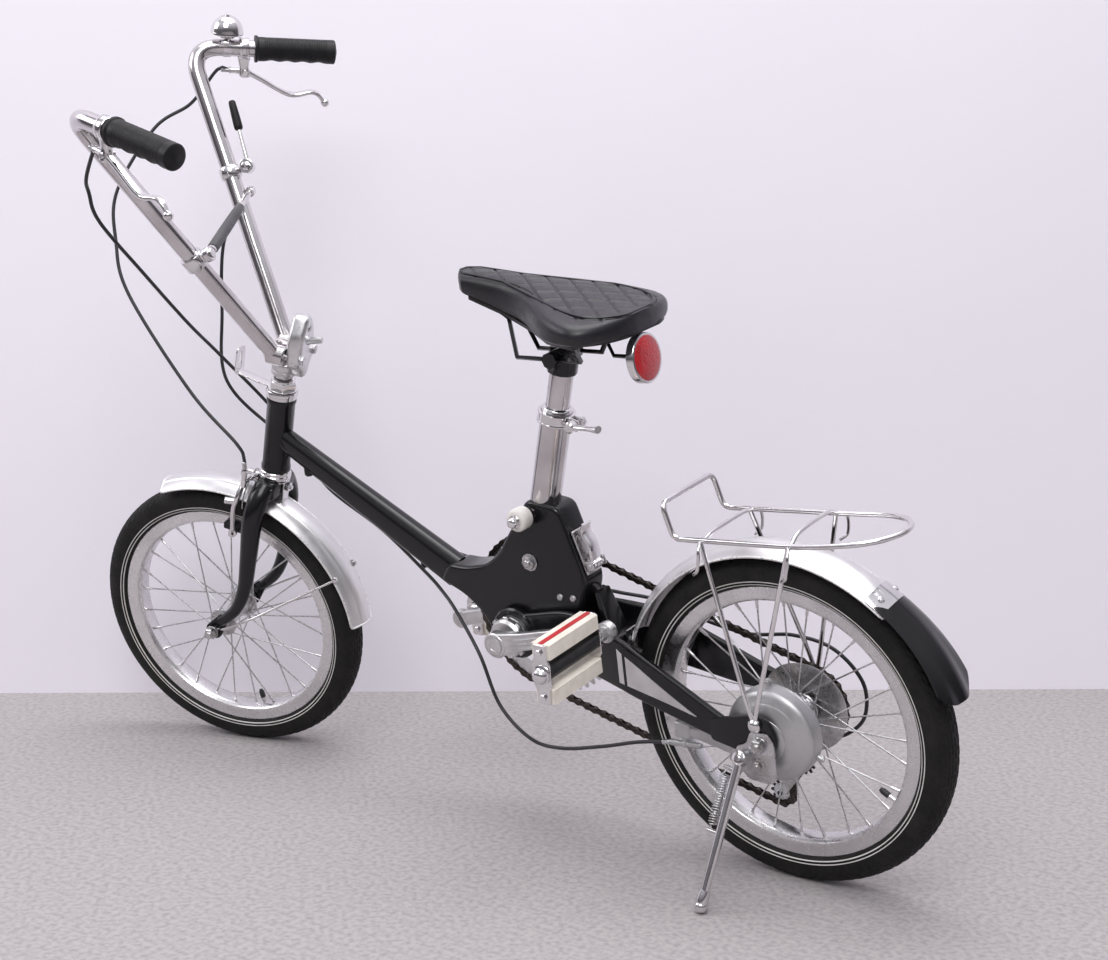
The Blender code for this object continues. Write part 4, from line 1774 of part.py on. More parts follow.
def leanStance(front, rear):
    """The lean onto the stand, with the pitch that keeps both turned wheels on the ground."""
    lean = Matrix.Rotation(math.radians(-LEAN), 4, "X")
    pitch = 0.0
    for _ in range(4):
        stance = lean @ Matrix.Rotation(pitch, 4, "Y")
        drop = lowestPoint(front, stance) - lowestPoint(rear, stance)
        pitch += drop / frontAxle().x
    stance = lean @ Matrix.Rotation(pitch, 4, "Y")
    return Matrix.Translation((0, 0, -lowestPoint(rear, stance))) @ stance


def frontDown():
    """The direction in the front wheel's own plane that points at the ground once it is turned."""
    turn = Matrix.Rotation(math.radians(STEER_TURN), 3, headUp())
    down = Matrix.Rotation(math.radians(LEAN), 3, "X") @ Vector((0, 0, -1))
    return turn.transposed() @ down


def main():
    global partCollection
    clearScene()
    partCollection = bpy.data.collections.new("folding_bike")
    bpy.context.scene.collection.children.link(partCollection)
    makeJoints()
    rear = Vector((0, 0, WHEEL_R))
    rearTyre = tyre(rear, -Z_AXIS, "rear_tyre", "rear_wheel")
    frontTyre = tyre(frontAxle(), frontDown(), "front_tyre", "front_wheel")
    rim(rear, -Z_AXIS, REAR_VALVE, "rear_rim", "rear_wheel")
    rim(frontAxle(), frontDown(), FRONT_VALVE, "front_rim", "front_wheel")
    frontHub()
    rearHub()
    axle(frontAxle(), FRONT_CLAMP, FRONT_CLAMP, "front_axle", "steering")
    dropFace = REAR_DROP_IN + DROPOUT_T
    axle(rear, dropFace + GAP + STAND_T, dropFace, "rear_axle", "rear_arm")
    frameShell()
    seatTube()
    boxBolt()
    roller()
    latch()
    rearArm()
    rearMudguard()
    mudFlap()
    carrier()
    bandBrake()
    bandBrakeLever()
    kickstandBracket()
    chain()
    freewheel()
    derailleur()
    cranks()
    for side, name in ((1, "pedal_left"), (-1, "pedal_right")):
        pedal(side, name)
    seatPost()
    seatClamp()
    quickRelease()
    saddleCushion()
    saddleBase()
    reflector()
    fork()
    lampBracket()
    frontMudguard()
    caliper()
    stem()
    for side, word in ((1, "left"), (-1, "right")):
        joint = word + "_bar"
        bar(side, joint, joint)
        grip(side, word + "_grip", joint)
        leverMount(side, word + "_lever_mount", joint)
        brakeLever(side, word + "_brake_lever", word + "_brake_lever")
    stayRod()
    shifter()
    bell()
    turnJoint("steering", STEER_TURN)
    turnJoint("stem", STEM_TURN)
    stance = leanStance(frontTyre, rearTyre)
    ground = stance.inverted() @ Vector((0, 0, 0))
    groundUp = (stance.inverted().to_3x3() @ Z_AXIS).normalized()
    kickstand(ground, groundUp)
    frontBrakeCable()
    rearBrakeCable()
    shiftCable()
    jointEmpties["frame"].matrix_world = stance
    bpy.context.view_layer.update()
    corners = [obj.matrix_world @ vertex.co for obj in partCollection.objects
               for vertex in obj.data.vertices]
    middleX = (min(c.x for c in corners) + max(c.x for c in corners)) / 2
    middleY = (min(c.y for c in corners) + max(c.y for c in corners)) / 2
    lowZ = min(c.z for c in corners)
    jointEmpties["frame"].matrix_world = Matrix.Translation((-middleX, -middleY, -lowZ)) @ stance
    bpy.context.view_layer.update()


main()
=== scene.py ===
import math

import bmesh
import bpy
import numpy as np
from mathutils import Matrix, Vector


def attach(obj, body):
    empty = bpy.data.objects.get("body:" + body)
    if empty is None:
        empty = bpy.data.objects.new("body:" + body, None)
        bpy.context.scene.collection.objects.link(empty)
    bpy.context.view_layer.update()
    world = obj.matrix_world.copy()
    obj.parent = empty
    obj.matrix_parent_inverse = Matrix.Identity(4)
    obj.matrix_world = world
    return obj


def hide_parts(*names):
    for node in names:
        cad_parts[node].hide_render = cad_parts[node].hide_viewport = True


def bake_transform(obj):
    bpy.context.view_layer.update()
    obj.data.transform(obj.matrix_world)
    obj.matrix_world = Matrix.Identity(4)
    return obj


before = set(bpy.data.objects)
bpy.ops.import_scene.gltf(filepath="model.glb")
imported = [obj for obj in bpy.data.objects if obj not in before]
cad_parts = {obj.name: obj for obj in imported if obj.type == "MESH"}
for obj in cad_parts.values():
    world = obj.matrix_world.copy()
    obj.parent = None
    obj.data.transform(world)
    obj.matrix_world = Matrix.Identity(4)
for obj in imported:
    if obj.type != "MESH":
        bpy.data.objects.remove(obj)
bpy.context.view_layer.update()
print("frame loaded")

# The bike's own upright axes are forward, left and up, with the rear wheel's foot at 0.
# stance leans them onto the stand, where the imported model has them.
stance = np.array(((1.0, 0, 0.00010109, -0.43846387), (-0.00001825, 0.98357147, 0.18051916, -0.13459593),
    (-0.00009943, -0.18051916, 0.98357147, 0.00111201), (0, 0, 0, 1.0)))
xAxis = np.array((1.0, 0, 0))
yAxis = np.array((0, 1.0, 0))
zAxis = np.array((0, 0, 1.0))


# Mesh helpers: a shape is (points, faces).

def vec(*numbers):
    # numbers as one array of floats
    return np.array(numbers, float)


def unit(v):
    # the same direction with a length of 1
    return v / np.linalg.norm(v)


def turnAbout(point, axis, degrees):
    # a 4x4 turn about an axis through a point
    turn = np.eye(4)
    turn[:3, :3] = np.array(Matrix.Rotation(math.radians(degrees), 3, Vector(axis)))
    turn[:3, 3] = point - turn[:3, :3] @ point
    return turn


def smoothStep(low, high, value):
    # rises from 0 at low to 1 at high as three t squared less two t cubed
    t = np.clip((value - low) / (high - low), 0, 1.0)
    return t * t * (3 - 2 * t)


def gridShape(points, closeU=False, closeV=False, caps=False):
    # faces join each point of the [u, v] grid to its next neighbours
    nu, nv = points.shape[:2]
    u = np.arange(nu if closeU else nu - 1)
    v = np.arange(nv if closeV else nv - 1)
    a, b = np.meshgrid(u, v, indexing="ij")
    a2 = (a + 1) % nu
    b2 = (b + 1) % nv
    quads = np.stack((a * nv + b, a2 * nv + b, a2 * nv + b2, a * nv + b2), -1).reshape(-1, 4).tolist()
    if caps:
        quads += [list(range(nv - 1, -1, -1)), [(nu - 1) * nv + k for k in range(nv)]]
    return points.reshape(-1, 3), quads


def headings(path):
    # the unit direction of a path at each of its points
    ahead = np.gradient(path, axis=0)
    return ahead / np.linalg.norm(ahead, axis=1)[:, None]


def carried(path, closed, across=None):
    # two directions square to a path, turned along it without twist
    ahead = headings(path)
    if closed:
        ahead = np.roll(path, -1, 0) - np.roll(path, 1, 0)
        ahead /= np.linalg.norm(ahead, axis=1)[:, None]
    hint = across if across is not None else (zAxis if abs(ahead[0][2]) < 0.9 else xAxis)
    side = np.zeros_like(path)
    for k, tangent in enumerate(ahead):
        hint = unit(hint - tangent * (hint @ tangent))
        side[k] = hint
    return side, np.cross(ahead, side)


def tube(path, radius, sides=16, closed=False, across=None, oval=1.0):
    # a ring of points round each point of the path; oval widens it along its second direction
    path = np.array(path, float)
    side, up = carried(path, closed, across)
    turn = np.linspace(0, 2 * np.pi, sides, endpoint=False)
    reach = np.broadcast_to(np.asarray(radius, float), (len(path),))[:, None, None]
    wide = np.broadcast_to(np.asarray(oval, float), (len(path),))[:, None, None]
    ring = side[:, None, :] * np.cos(turn)[None, :, None] \
        + up[:, None, :] * np.sin(turn)[None, :, None] * wide
    return gridShape(path[:, None, :] + ring * reach, closed, True, not closed)


def basis(axis, across=None):
    # two directions square to an axis, then the axis itself, each of length 1
    z = unit(np.array(axis, float))
    hint = across if across is not None else (xAxis if abs(z[0]) < 0.9 else zAxis)
    x = unit(hint - z * (hint @ z))
    return x, np.cross(z, x), z


def lathe(profile, origin, axis, steps=48, ring=False, across=None):
    # a profile of (radius, height) turned round an axis through origin
    profile = [tuple(p) for p in profile]
    if not ring:
        if profile[0][0] > 0:
            profile = [(0, profile[0][1])] + profile
        if profile[-1][0] > 0:
            profile.append((0, profile[-1][1]))
    x, y, z = basis(axis, across)
    turn = np.linspace(0, 2 * np.pi, steps, endpoint=False)
    round_ = np.cos(turn)[:, None, None] * x + np.sin(turn)[:, None, None] * y
    r = np.array([p[0] for p in profile])[None, :, None]
    h = np.array([p[1] for p in profile])[None, :, None]
    return gridShape(np.asarray(origin, float) + round_ * r + z * h, True, ring)


def rod(start, end, radius, sides=24, endRadius=None, chamfer=0.0):
    # a straight round bar, tapered to endRadius, with chamfered ends
    start = np.array(start, float)
    end = np.array(end, float)
    length = np.linalg.norm(end - start)
    last = radius if endRadius is None else endRadius
    profile = [(radius - chamfer, 0), (radius, chamfer), (last, length - chamfer), (last - chamfer, length)] \
        if chamfer else [(radius, 0), (last, length)]
    return lathe(profile, start, end - start, sides)


def rods(starts, ends, radii, sides=8):
    # many straight rods at once; radii gives each its radius at start and end
    starts = np.asarray(starts, float)
    ends = np.asarray(ends, float)
    ahead = ends - starts
    ahead /= np.linalg.norm(ahead, axis=1)[:, None]
    hint = np.where(np.abs(ahead[:, 1:2]) < 0.9, yAxis[None, :], xAxis[None, :])
    side = hint - ahead * (hint * ahead).sum(1)[:, None]
    side /= np.linalg.norm(side, axis=1)[:, None]
    up = np.cross(ahead, side)
    turn = np.linspace(0, 2 * np.pi, sides, endpoint=False)
    ring = side[:, None, :] * np.cos(turn)[None, :, None] + up[:, None, :] * np.sin(turn)[None, :, None]
    radii = np.broadcast_to(np.asarray(radii, float), (len(starts), 2))
    points = np.stack((starts[:, None, :] + ring * radii[:, :1, None],
        ends[:, None, :] + ring * radii[:, 1:, None]), 1).reshape(-1, 3)
    faces = []
    for k in range(len(starts)):
        low = k * 2 * sides
        faces += [[low + j, low + (j + 1) % sides, low + sides + (j + 1) % sides, low + sides + j]
            for j in range(sides)]
        faces += [list(range(low + sides - 1, low - 1, -1)), list(range(low + sides, low + 2 * sides))]
    return points, faces


def roundRect(centre, across, up, halfA, halfB, corner, steps=4):
    # points round a rectangle whose corners are arcs
    corner = min(corner, halfA * 0.999, halfB * 0.999)
    quarter = np.linspace(0, np.pi / 2, steps + 1)
    ring = []
    for k, (sa, sb) in enumerate(((1, 1), (-1, 1), (-1, -1), (1, -1))):
        turn = quarter + k * np.pi / 2
        ring.append(np.stack((sa * (halfA - corner) + corner * np.cos(turn),
            sb * (halfB - corner) + corner * np.sin(turn)), 1))
    ring = np.concatenate(ring)
    return np.asarray(centre, float) + ring[:, :1] * across + ring[:, 1:] * up


def loft(rings):
    # a skin over rings of as many points each, closed at both ends
    return gridShape(np.array(rings), False, True, True)


def block(centre, size, axes=(xAxis, yAxis, zAxis), corner=0.0008):
    # a box with rounded long edges and a small chamfer at both ends
    a, b, c = axes
    centre = np.array(centre, float)
    rings = []
    for at, shrink in ((-0.5, corner), (-0.5 + corner / size[1], 0), (0.5 - corner / size[1], 0),
            (0.5, corner)):
        rings.append(roundRect(centre + b * size[1] * at, a, c, size[0] / 2 - shrink, size[2] / 2 - shrink,
            corner * 1.5, 2))
    return loft(rings)


def bothWays(profile):
    # a section and its mirror image below it
    return profile + [(r, -h) for r, h in reversed(profile)]


def layered(outline, levels, origin, across, up):
    # a flat outline drawn in by each level's inset and raised by its lift
    outline = np.array(outline, float)
    out = np.cross(across, up)
    sides = (outline - np.roll(outline, 1, 0), np.roll(outline, -1, 0) - outline)
    normal = sum(np.stack((d[:, 1], -d[:, 0]), 1) / np.linalg.norm(d, axis=1)[:, None] for d in sides)
    normal /= np.maximum(np.linalg.norm(normal, axis=1), 0.3)[:, None]
    area = (outline[:, 0] * np.roll(outline[:, 1], -1) - np.roll(outline[:, 0], -1) * outline[:, 1]).sum()
    rings = []
    for inset, lift in levels:
        shape = outline - normal * inset * np.sign(area)
        rings.append(origin + shape[:, :1] * across + shape[:, 1:] * up + out * lift)
    return loft(rings)


def slab(outline, thickness, origin, across, up, edge=0.0006):
    # a flat outline with chamfered edges, half its thickness each way from origin
    levels = [(edge, -thickness / 2), (0, edge - thickness / 2)]
    return layered(outline, bothWays(levels), origin, across, up)


def pillow(outline, thickness, origin, across, up, edge, steps=5):
    # the same with edges that curve over: inset and lift follow a quarter circle
    levels = [(edge * (1 - math.sin(a)), edge * (1 - math.cos(a)) - thickness / 2)
        for a in np.linspace(0, np.pi / 2, steps + 1)]
    return layered(outline, bothWays(levels), origin, across, up)


def holed(outer, inner, thickness, origin, across, up):
    # a flat plate with one hole; both outlines have as many points
    out = np.cross(across, up) * thickness / 2

    def place(shape, side):
        shape = np.array(shape)
        return origin + shape[:, :1] * across + shape[:, 1:] * up + out * side

    return gridShape(np.stack((place(outer, 1), place(inner, 1), place(inner, -1), place(outer, -1)), 1),
        True, True)


def ovalPoints(centre, halfA, halfB, count, power=1.0):
    # an oval whose sides grow straighter as power falls below 1
    turn = np.linspace(0, 2 * np.pi, count, endpoint=False)
    c, s = np.cos(turn), np.sin(turn)
    return np.stack((centre[0] + halfA * np.sign(c) * np.abs(c) ** power,
        centre[1] + halfB * np.sign(s) * np.abs(s) ** power), 1)


def roundedPath(points, radius, steps=8, closed=False):
    # each corner becomes a small curve that starts and ends its radius away
    points = [np.array(p, float) for p in points]
    radii = radius if hasattr(radius, "__len__") else [radius] * len(points)
    count = len(points)
    result = [] if closed else [points[0]]
    for k in range(0 if closed else 1, count if closed else count - 1):
        corner = points[k]
        back = points[k - 1] - corner
        ahead = points[(k + 1) % count] - corner
        reach = min(radii[k], np.linalg.norm(back) * 0.48, np.linalg.norm(ahead) * 0.48)
        first = corner + unit(back) * reach
        last = corner + unit(ahead) * reach
        t = np.linspace(0, 1, steps + 1)[:, None]
        result += list(first * (1 - t) ** 2 + corner * 2 * t * (1 - t) + last * t ** 2)
    if not closed:
        result.append(points[-1])
    return np.array(result)


def rounds(outline, radius, steps=5):
    # a flat outline with its corners curved
    return roundedPath([np.append(np.array(p, float), 0) for p in outline], radius, steps, True)[:, :2]


def evenLoop(loop, pick):
    # points evenly spread along a closed loop; pick gives their number from its length
    gaps = np.linalg.norm(np.roll(loop, -1, 0) - loop, axis=1)
    reach = np.concatenate(([0], np.cumsum(gaps)))
    spots = np.linspace(0, reach[-1], pick(reach[-1]), endpoint=False)
    closed = np.concatenate((loop, loop[:1]))
    return np.stack([np.interp(spots, reach, line) for line in closed.T], 1)


def smoothPath(points, spacing):
    # points about spacing apart on a smooth curve through the given points
    points = np.array(points, float)
    ends = np.concatenate(([points[0] * 2 - points[1]], points, [points[-1] * 2 - points[-2]]))
    result = [points[:1]]
    for a, b, c, d in zip(ends, ends[1:], ends[2:], ends[3:]):
        count = max(1, round(np.linalg.norm(c - b) / spacing))
        t = (np.arange(1, count + 1) / count)[:, None]
        result.append(0.5 * (b * 2 + (c - a) * t + (a * 2 - b * 5 + c * 4 - d) * t ** 2
            + (b * 3 - a - c * 3 + d) * t ** 3))
    return np.concatenate(result)


def piece(name, shapes, look, body, at=stance, replaces=(), sharp=40):
    # joins shapes into one mesh, faces outward, placed by the matrix at
    points = []
    faces = []
    count = 0
    for shapePoints, shapeFaces in shapes:
        points.append(shapePoints)
        faces += [[k + count for k in face] for face in shapeFaces]
        count += len(shapePoints)
    points = np.concatenate(points) @ at[:3, :3].T + at[:3, 3]
    mesh = bpy.data.meshes.new(name)
    mesh.from_pydata(points.tolist(), [], faces)
    work = bmesh.new()
    work.from_mesh(mesh)
    bmesh.ops.remove_doubles(work, verts=work.verts, dist=0.000002)
    bmesh.ops.dissolve_degenerate(work, edges=work.edges, dist=0.000001)
    bmesh.ops.recalc_face_normals(work, faces=work.faces)
    work.to_mesh(mesh)
    work.free()
    return dressed(name, mesh, look, body, replaces, sharp)


def dressed(name, mesh, look, body, replaces, sharp):
    # smooth shading, finish and body, when a body is given
    obj = bpy.data.objects.new(name, mesh)
    bpy.context.scene.collection.objects.link(obj)
    mesh.polygons.foreach_set("use_smooth", np.ones(len(mesh.polygons), bool))
    mesh.set_sharp_from_angle(angle=math.radians(sharp))
    mesh.materials.clear()
    mesh.materials.append(look)
    if body:
        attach(obj, body)
    if replaces:
        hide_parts(*replaces)
    return obj


def refined(node, look, body, sharp):
    # the solid's own mesh, merged, with flat faces joined and round faces shaded smooth
    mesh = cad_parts[node].data.copy()
    work = bmesh.new()
    work.from_mesh(mesh)
    bmesh.ops.remove_doubles(work, verts=work.verts, dist=0.000005)
    bmesh.ops.dissolve_limit(work, angle_limit=math.radians(0.6), verts=work.verts, edges=work.edges)
    work.to_mesh(mesh)
    work.free()
    dressed(node + "_finish", mesh, look, body, (node,), sharp)


# Finishes.

def newNode(nodes, kind, values):
    # a node with some of its inputs set
    made = nodes.new("ShaderNode" + kind)
    for word, value in values.items():
        made.inputs[word].default_value = value
    return made


def finish(name, colour, rough, metal, second, patch, spread, grain=0, grainScale=900, coat=0, cells=0,
        cellScale=600, shine=0.5):
    # colour drifts to second in soft patches, roughness drifts with it, and grain or cells raise the surface
    made = bpy.data.materials.new(name)
    made.use_nodes = True
    nodes = made.node_tree.nodes
    links = made.node_tree.links
    shader = nodes["Principled BSDF"]
    where = newNode(nodes, "TexCoord", {})
    mapping = newNode(nodes, "Mapping", {})
    links.new(where.outputs["Object"], mapping.inputs["Vector"])

    def pattern(kind, values):
        texture = newNode(nodes, kind, values)
        links.new(mapping.outputs["Vector"], texture.inputs["Vector"])
        return texture

    noise = pattern("TexNoise", {"Scale": patch, "Detail": 6})
    mix = nodes.new("ShaderNodeMix")
    mix.data_type = "RGBA"
    mix.inputs["A"].default_value = (*colour, 1)
    mix.inputs["B"].default_value = (*second, 1)
    ease = newNode(nodes, "MapRange", {"From Min": 0.4, "From Max": 0.68})
    links.new(noise.outputs["Fac"], ease.inputs["Value"])
    links.new(ease.outputs["Result"], mix.inputs["Factor"])
    links.new(mix.outputs["Result"], shader.inputs["Base Color"])
    dull = newNode(nodes, "MapRange", {"From Min": 0.3, "From Max": 0.7,
        "To Min": max(0.03, rough - spread), "To Max": rough + spread})
    fine = pattern("TexNoise", {"Scale": patch * 7, "Detail": 4})
    links.new(fine.outputs["Fac"], dull.inputs["Value"])
    links.new(dull.outputs["Result"], shader.inputs["Roughness"])
    for word, value in (("Metallic", metal), ("Specular IOR Level", shine), ("Coat Weight", coat),
            ("Coat Roughness", 0.08)):
        shader.inputs[word].default_value = value
    height = None
    if grain:
        texture = pattern("TexNoise", {"Scale": grainScale, "Detail": 3})
        height = bumped(nodes, links, texture.outputs["Fac"], grain, height)
    if cells:
        texture = pattern("TexVoronoi", {"Scale": cellScale})
        texture.feature = "SMOOTH_F1"
        height = bumped(nodes, links, texture.outputs["Distance"], cells, height)
    if height:
        links.new(height.outputs["Normal"], shader.inputs["Normal"])
    made.diffuse_color = (*colour, 1)
    return made


def bumped(nodes, links, value, strength, before):
    # one bump over another
    bump = newNode(nodes, "Bump", {"Strength": strength, "Distance": 0.0006})
    links.new(value, bump.inputs["Height"])
    if before:
        links.new(before.outputs["Normal"], bump.inputs["Normal"])
    return bump


chrome = finish("chrome", (0.8, 0.79, 0.8), 0.1, 1.0, (0.66, 0.64, 0.65), 26, 0.05, 0.02, 1400)
darkChrome = finish("barChrome", (0.7, 0.68, 0.69), 0.13, 1.0, (0.52, 0.49, 0.5), 14, 0.06, 0.03, 1400)
steel = finish("zincPlate", (0.6, 0.6, 0.62), 0.3, 1.0, (0.42, 0.4, 0.39), 45, 0.08, 0.06, 1100)
alloy = finish("castAlloy", (0.72, 0.72, 0.73), 0.34, 1.0, (0.58, 0.57, 0.57), 30, 0.07, 0.1, 1500)
rimAlloy = finish("rimAlloy", (0.8, 0.79, 0.8), 0.27, 1.0, (0.68, 0.67, 0.68), 9, 0.07, 0.05, 1300)
guardSilver = finish("guardSilver", (0.8, 0.79, 0.8), 0.33, 0.85, (0.7, 0.69, 0.7), 6, 0.06, 0.04, 700,
    coat=0.25)
beadSilver = finish("guardEdge", (0.86, 0.85, 0.84), 0.3, 0.55, (0.78, 0.77, 0.76), 20, 0.06, 0.02, 900)
blackPaint = finish("blackEnamel", (0.004, 0.004, 0.005), 0.2, 0, (0.006, 0.006, 0.008), 12, 0.05, 0.02,
    500, coat=0.15, shine=0.35)
tyreRubber = finish("tyreRubber", (0.008, 0.008, 0.008), 0.6, 0, (0.016, 0.015, 0.014), 30, 0.1, 0.25, 900,
    shine=0.25)
stripeWhite = finish("tyreStripe", (0.72, 0.71, 0.69), 0.55, 0, (0.6, 0.58, 0.55), 60, 0.08, 0.1, 1200)
gripRubber = finish("gripRubber", (0.007, 0.007, 0.008), 0.46, 0, (0.013, 0.012, 0.013), 60, 0.08, 0.2,
    1300, shine=0.3)
cableSheath = finish("cableSheath", (0.016, 0.015, 0.018), 0.38, 0, (0.028, 0.026, 0.03), 40, 0.07, 0.04,
    1500)
vinyl = finish("saddleVinyl", (0.009, 0.009, 0.012), 0.33, 0, (0.014, 0.013, 0.018), 22, 0.06, 0.08, 900,
    cells=0.18, cellScale=1500, shine=0.45)
cream = finish("pedalCream", (0.83, 0.78, 0.7), 0.45, 0, (0.74, 0.68, 0.6), 60, 0.08, 0.1, 1100)
pedalRed = finish("pedalRed", (0.52, 0.02, 0.03), 0.35, 0, (0.42, 0.02, 0.02), 80, 0.06, 0.05, 1100)
chainSteel = finish("oiledSteel", (0.08, 0.07, 0.062), 0.36, 0.9, (0.04, 0.034, 0.03), 160, 0.12, 0.12,
    1800)
redLens = finish("redLens", (0.5, 0.01, 0.016), 0.14, 0, (0.36, 0.006, 0.01), 30, 0.04, 0, 900, coat=0.8,
    cells=0.9, cellScale=420)
castGrey = finish("castGrey", (0.55, 0.55, 0.56), 0.42, 0.9, (0.43, 0.43, 0.43), 24, 0.08, 0.12, 1300)
sleeveGrey = finish("sleeveGrey", (0.05, 0.05, 0.054), 0.46, 0, (0.072, 0.071, 0.075), 30, 0.08, 0.08, 1200)
whitePlastic = finish("whiteNylon", (0.8, 0.78, 0.74), 0.42, 0, (0.7, 0.67, 0.62), 90, 0.07, 0.1, 1400)
blackPlastic = finish("blackPlastic", (0.014, 0.014, 0.015), 0.42, 0, (0.022, 0.022, 0.024), 50, 0.08, 0.1,
    1200)


# The head's axes.

head = {"foot": vec(0.769, 0, 0.424), "angle": 71.7, "turn": 14.8, "stemTurn": 7.4, "forkDrop": 0.2514,
    "rake": 0.0465}
headUp = vec(-math.cos(math.radians(head["angle"])), 0, math.sin(math.radians(head["angle"])))
headAhead = vec(math.sin(math.radians(head["angle"])), 0, math.cos(math.radians(head["angle"])))
headAxes = (headAhead, yAxis, headUp)
forkAt = stance @ turnAbout(head["foot"], headUp, head["turn"])
stemAt = stance @ turnAbout(head["foot"], headUp, head["turn"] + head["stemTurn"])


def atHead(s, f=0.0, y=0.0):
    # s up the head's axis from its foot, f forward of it, y to the left
    return head["foot"] + headUp * s + headAhead * f + yAxis * y


rearCentre = vec(0, 0, 0.2)
frontCentre = atHead(-head["forkDrop"], head["rake"])


def onWheel(centre, radius, angle, y=0.0):
    # angle in degrees from straight ahead, upward; y is across the wheel
    turn = np.radians(angle)
    radius = np.asarray(radius, float)
    return np.stack(np.broadcast_arrays(centre[0] + radius * np.cos(turn), np.asarray(y, float),
        centre[2] + radius * np.sin(turn)), -1)


# Wheels.

wheel = {"middle": 0.1778, "halfHeight": 0.0222, "halfWidth": 0.022, "square": 2.3, "turns": 720,
    "blocks": 84, "rowDegrees": 13.0, "treadDegrees": 58.5, "treadDepth": 0.0013,
    "stripes": (0.1688, 0.1725), "stripeWidth": 0.0011, "spokes": 28, "spokeRadius": 0.001, "lace": 2,
    "rimInner": 0.146, "flangeRadius": 0.0205, "flangeThick": 0.0028}


def tyreSection(phi):
    # radius and width of the tyre's skin at an angle from its crown, as a squared oval drawn in at the bead
    power = 2 / wheel["square"]
    c = np.sign(np.cos(phi)) * np.abs(np.cos(phi)) ** power
    s = np.sign(np.sin(phi)) * np.abs(np.sin(phi)) ** power
    tuck = 1 - 0.22 * smoothStep(math.radians(108), math.radians(132), np.abs(phi))
    return wheel["middle"] + wheel["halfHeight"] * c, wheel["halfWidth"] * s * tuck


def tyreShape(centre):
    # round the wheel by across the tyre; rows of staggered blocks are left where the grooves are cut in
    turn = np.linspace(0, 360, wheel["turns"], endpoint=False)[:, None]
    edge = wheel["treadDegrees"]
    across = np.concatenate((np.linspace(-132, -edge - 5, 12), np.linspace(-edge - 2, edge + 2, 50),
        np.linspace(edge + 5, 132, 12)))[None, :]
    radius, width = tyreSection(np.radians(across))
    row = np.floor((across + edge) / wheel["rowDegrees"])
    inRow = (across + edge) / wheel["rowDegrees"] - row
    along = (turn / 360 * wheel["blocks"] + 0.5 * (row % 2) + 0.35 * inRow) % 1.0
    groove = np.maximum(1 - smoothStep(0.04, 0.2, np.minimum(along, 1 - along)),
        1 - smoothStep(0.06, 0.22, np.minimum(inRow, 1 - inRow)))
    tread = 1 - smoothStep(edge, edge + 2.5, np.abs(across))
    radius = radius - wheel["treadDepth"] * groove * tread
    return gridShape(onWheel(centre, radius, turn, width + 0 * turn), True, True)


def stripeShapes(centre):
    # thin raised bands that follow the sidewall
    shapes = []
    phis = np.radians(np.linspace(90, 125, 400))
    radii, _ = tyreSection(phis)
    for middle in wheel["stripes"]:
        for side in (1, -1):
            span = phis[np.argmin(np.abs(radii - middle - wheel["stripeWidth"] / 2))], \
                phis[np.argmin(np.abs(radii - middle + wheel["stripeWidth"] / 2))]
            phi = np.linspace(span[0], span[1], 4)
            r, w = tyreSection(phi)
            profile = [(a, side * (b + 0.00022)) for a, b in zip(r, w)]
            profile += [(a, side * (b - 0.0004)) for a, b in zip(r[::-1], w[::-1])]
            shapes.append(lathe(profile, centre, yAxis, 160, True))
    return shapes


def rimShape(centre):
    # the rim's section, from its hooked edge in to the spoke bed and back along the well, turned round
    outer = [(0.1642, 0.0148), (0.165, 0.0153), (0.165, 0.0161), (0.1641, 0.0166), (0.1602, 0.016),
        (0.156, 0.0151), (0.1522, 0.0151), (0.1492, 0.0141), (0.147, 0.0116), (0.146, 0.0072)]
    inner = [(0.152, 0.006), (0.156, 0.01), (0.16, 0.0138)]
    profile = bothWays(outer) + [(r, -y) for r, y in reversed(inner)] + inner
    return lathe(profile, centre, yAxis, 144, True)


def spokeLines(centre, flangeY):
    # hub and rim ends of the crossed spokes, every other one on each face of its flange
    perFlange = wheel["spokes"] // 2
    index = np.arange(perFlange)
    pitch = 360 / perFlange
    lead = np.where(index % 2 == 1, 1, -1)
    starts = []
    ends = []
    for side in (1, -1):
        hubAngle = index * pitch + (pitch / 2 if side < 0 else 0)
        rimAngle = hubAngle + lead * wheel["lace"] * pitch
        starts.append(onWheel(centre, wheel["flangeRadius"] - 0.0035, hubAngle,
            side * (flangeY + lead * (wheel["flangeThick"] / 2 + 0.0006))))
        ends.append(onWheel(centre, wheel["rimInner"] - 0.0012, rimAngle, np.full(perFlange, side * 0.002)))
    return np.concatenate(starts), np.concatenate(ends)


def spokeShapes(centre, flangeY):
    # each spoke runs straight from its head in the flange to its nipple in the rim
    starts, ends = spokeLines(centre, flangeY)
    ahead = (ends - starts) / np.linalg.norm(ends - starts, axis=1)[:, None]
    heads = starts.copy()
    inward = np.sign(flangeY * np.sign(starts[:, 1]) - starts[:, 1])
    heads[:, 1] += inward * 0.0044
    return [rods(starts, ends - ahead * 0.009, (wheel["spokeRadius"], wheel["spokeRadius"])),
            rods(starts - ahead * 0.0004, heads, (wheel["spokeRadius"], wheel["spokeRadius"] * 1.9))], \
        [rods(ends - ahead * 0.01, ends + ahead * 0.0012, (0.0016, 0.0021), 8)]


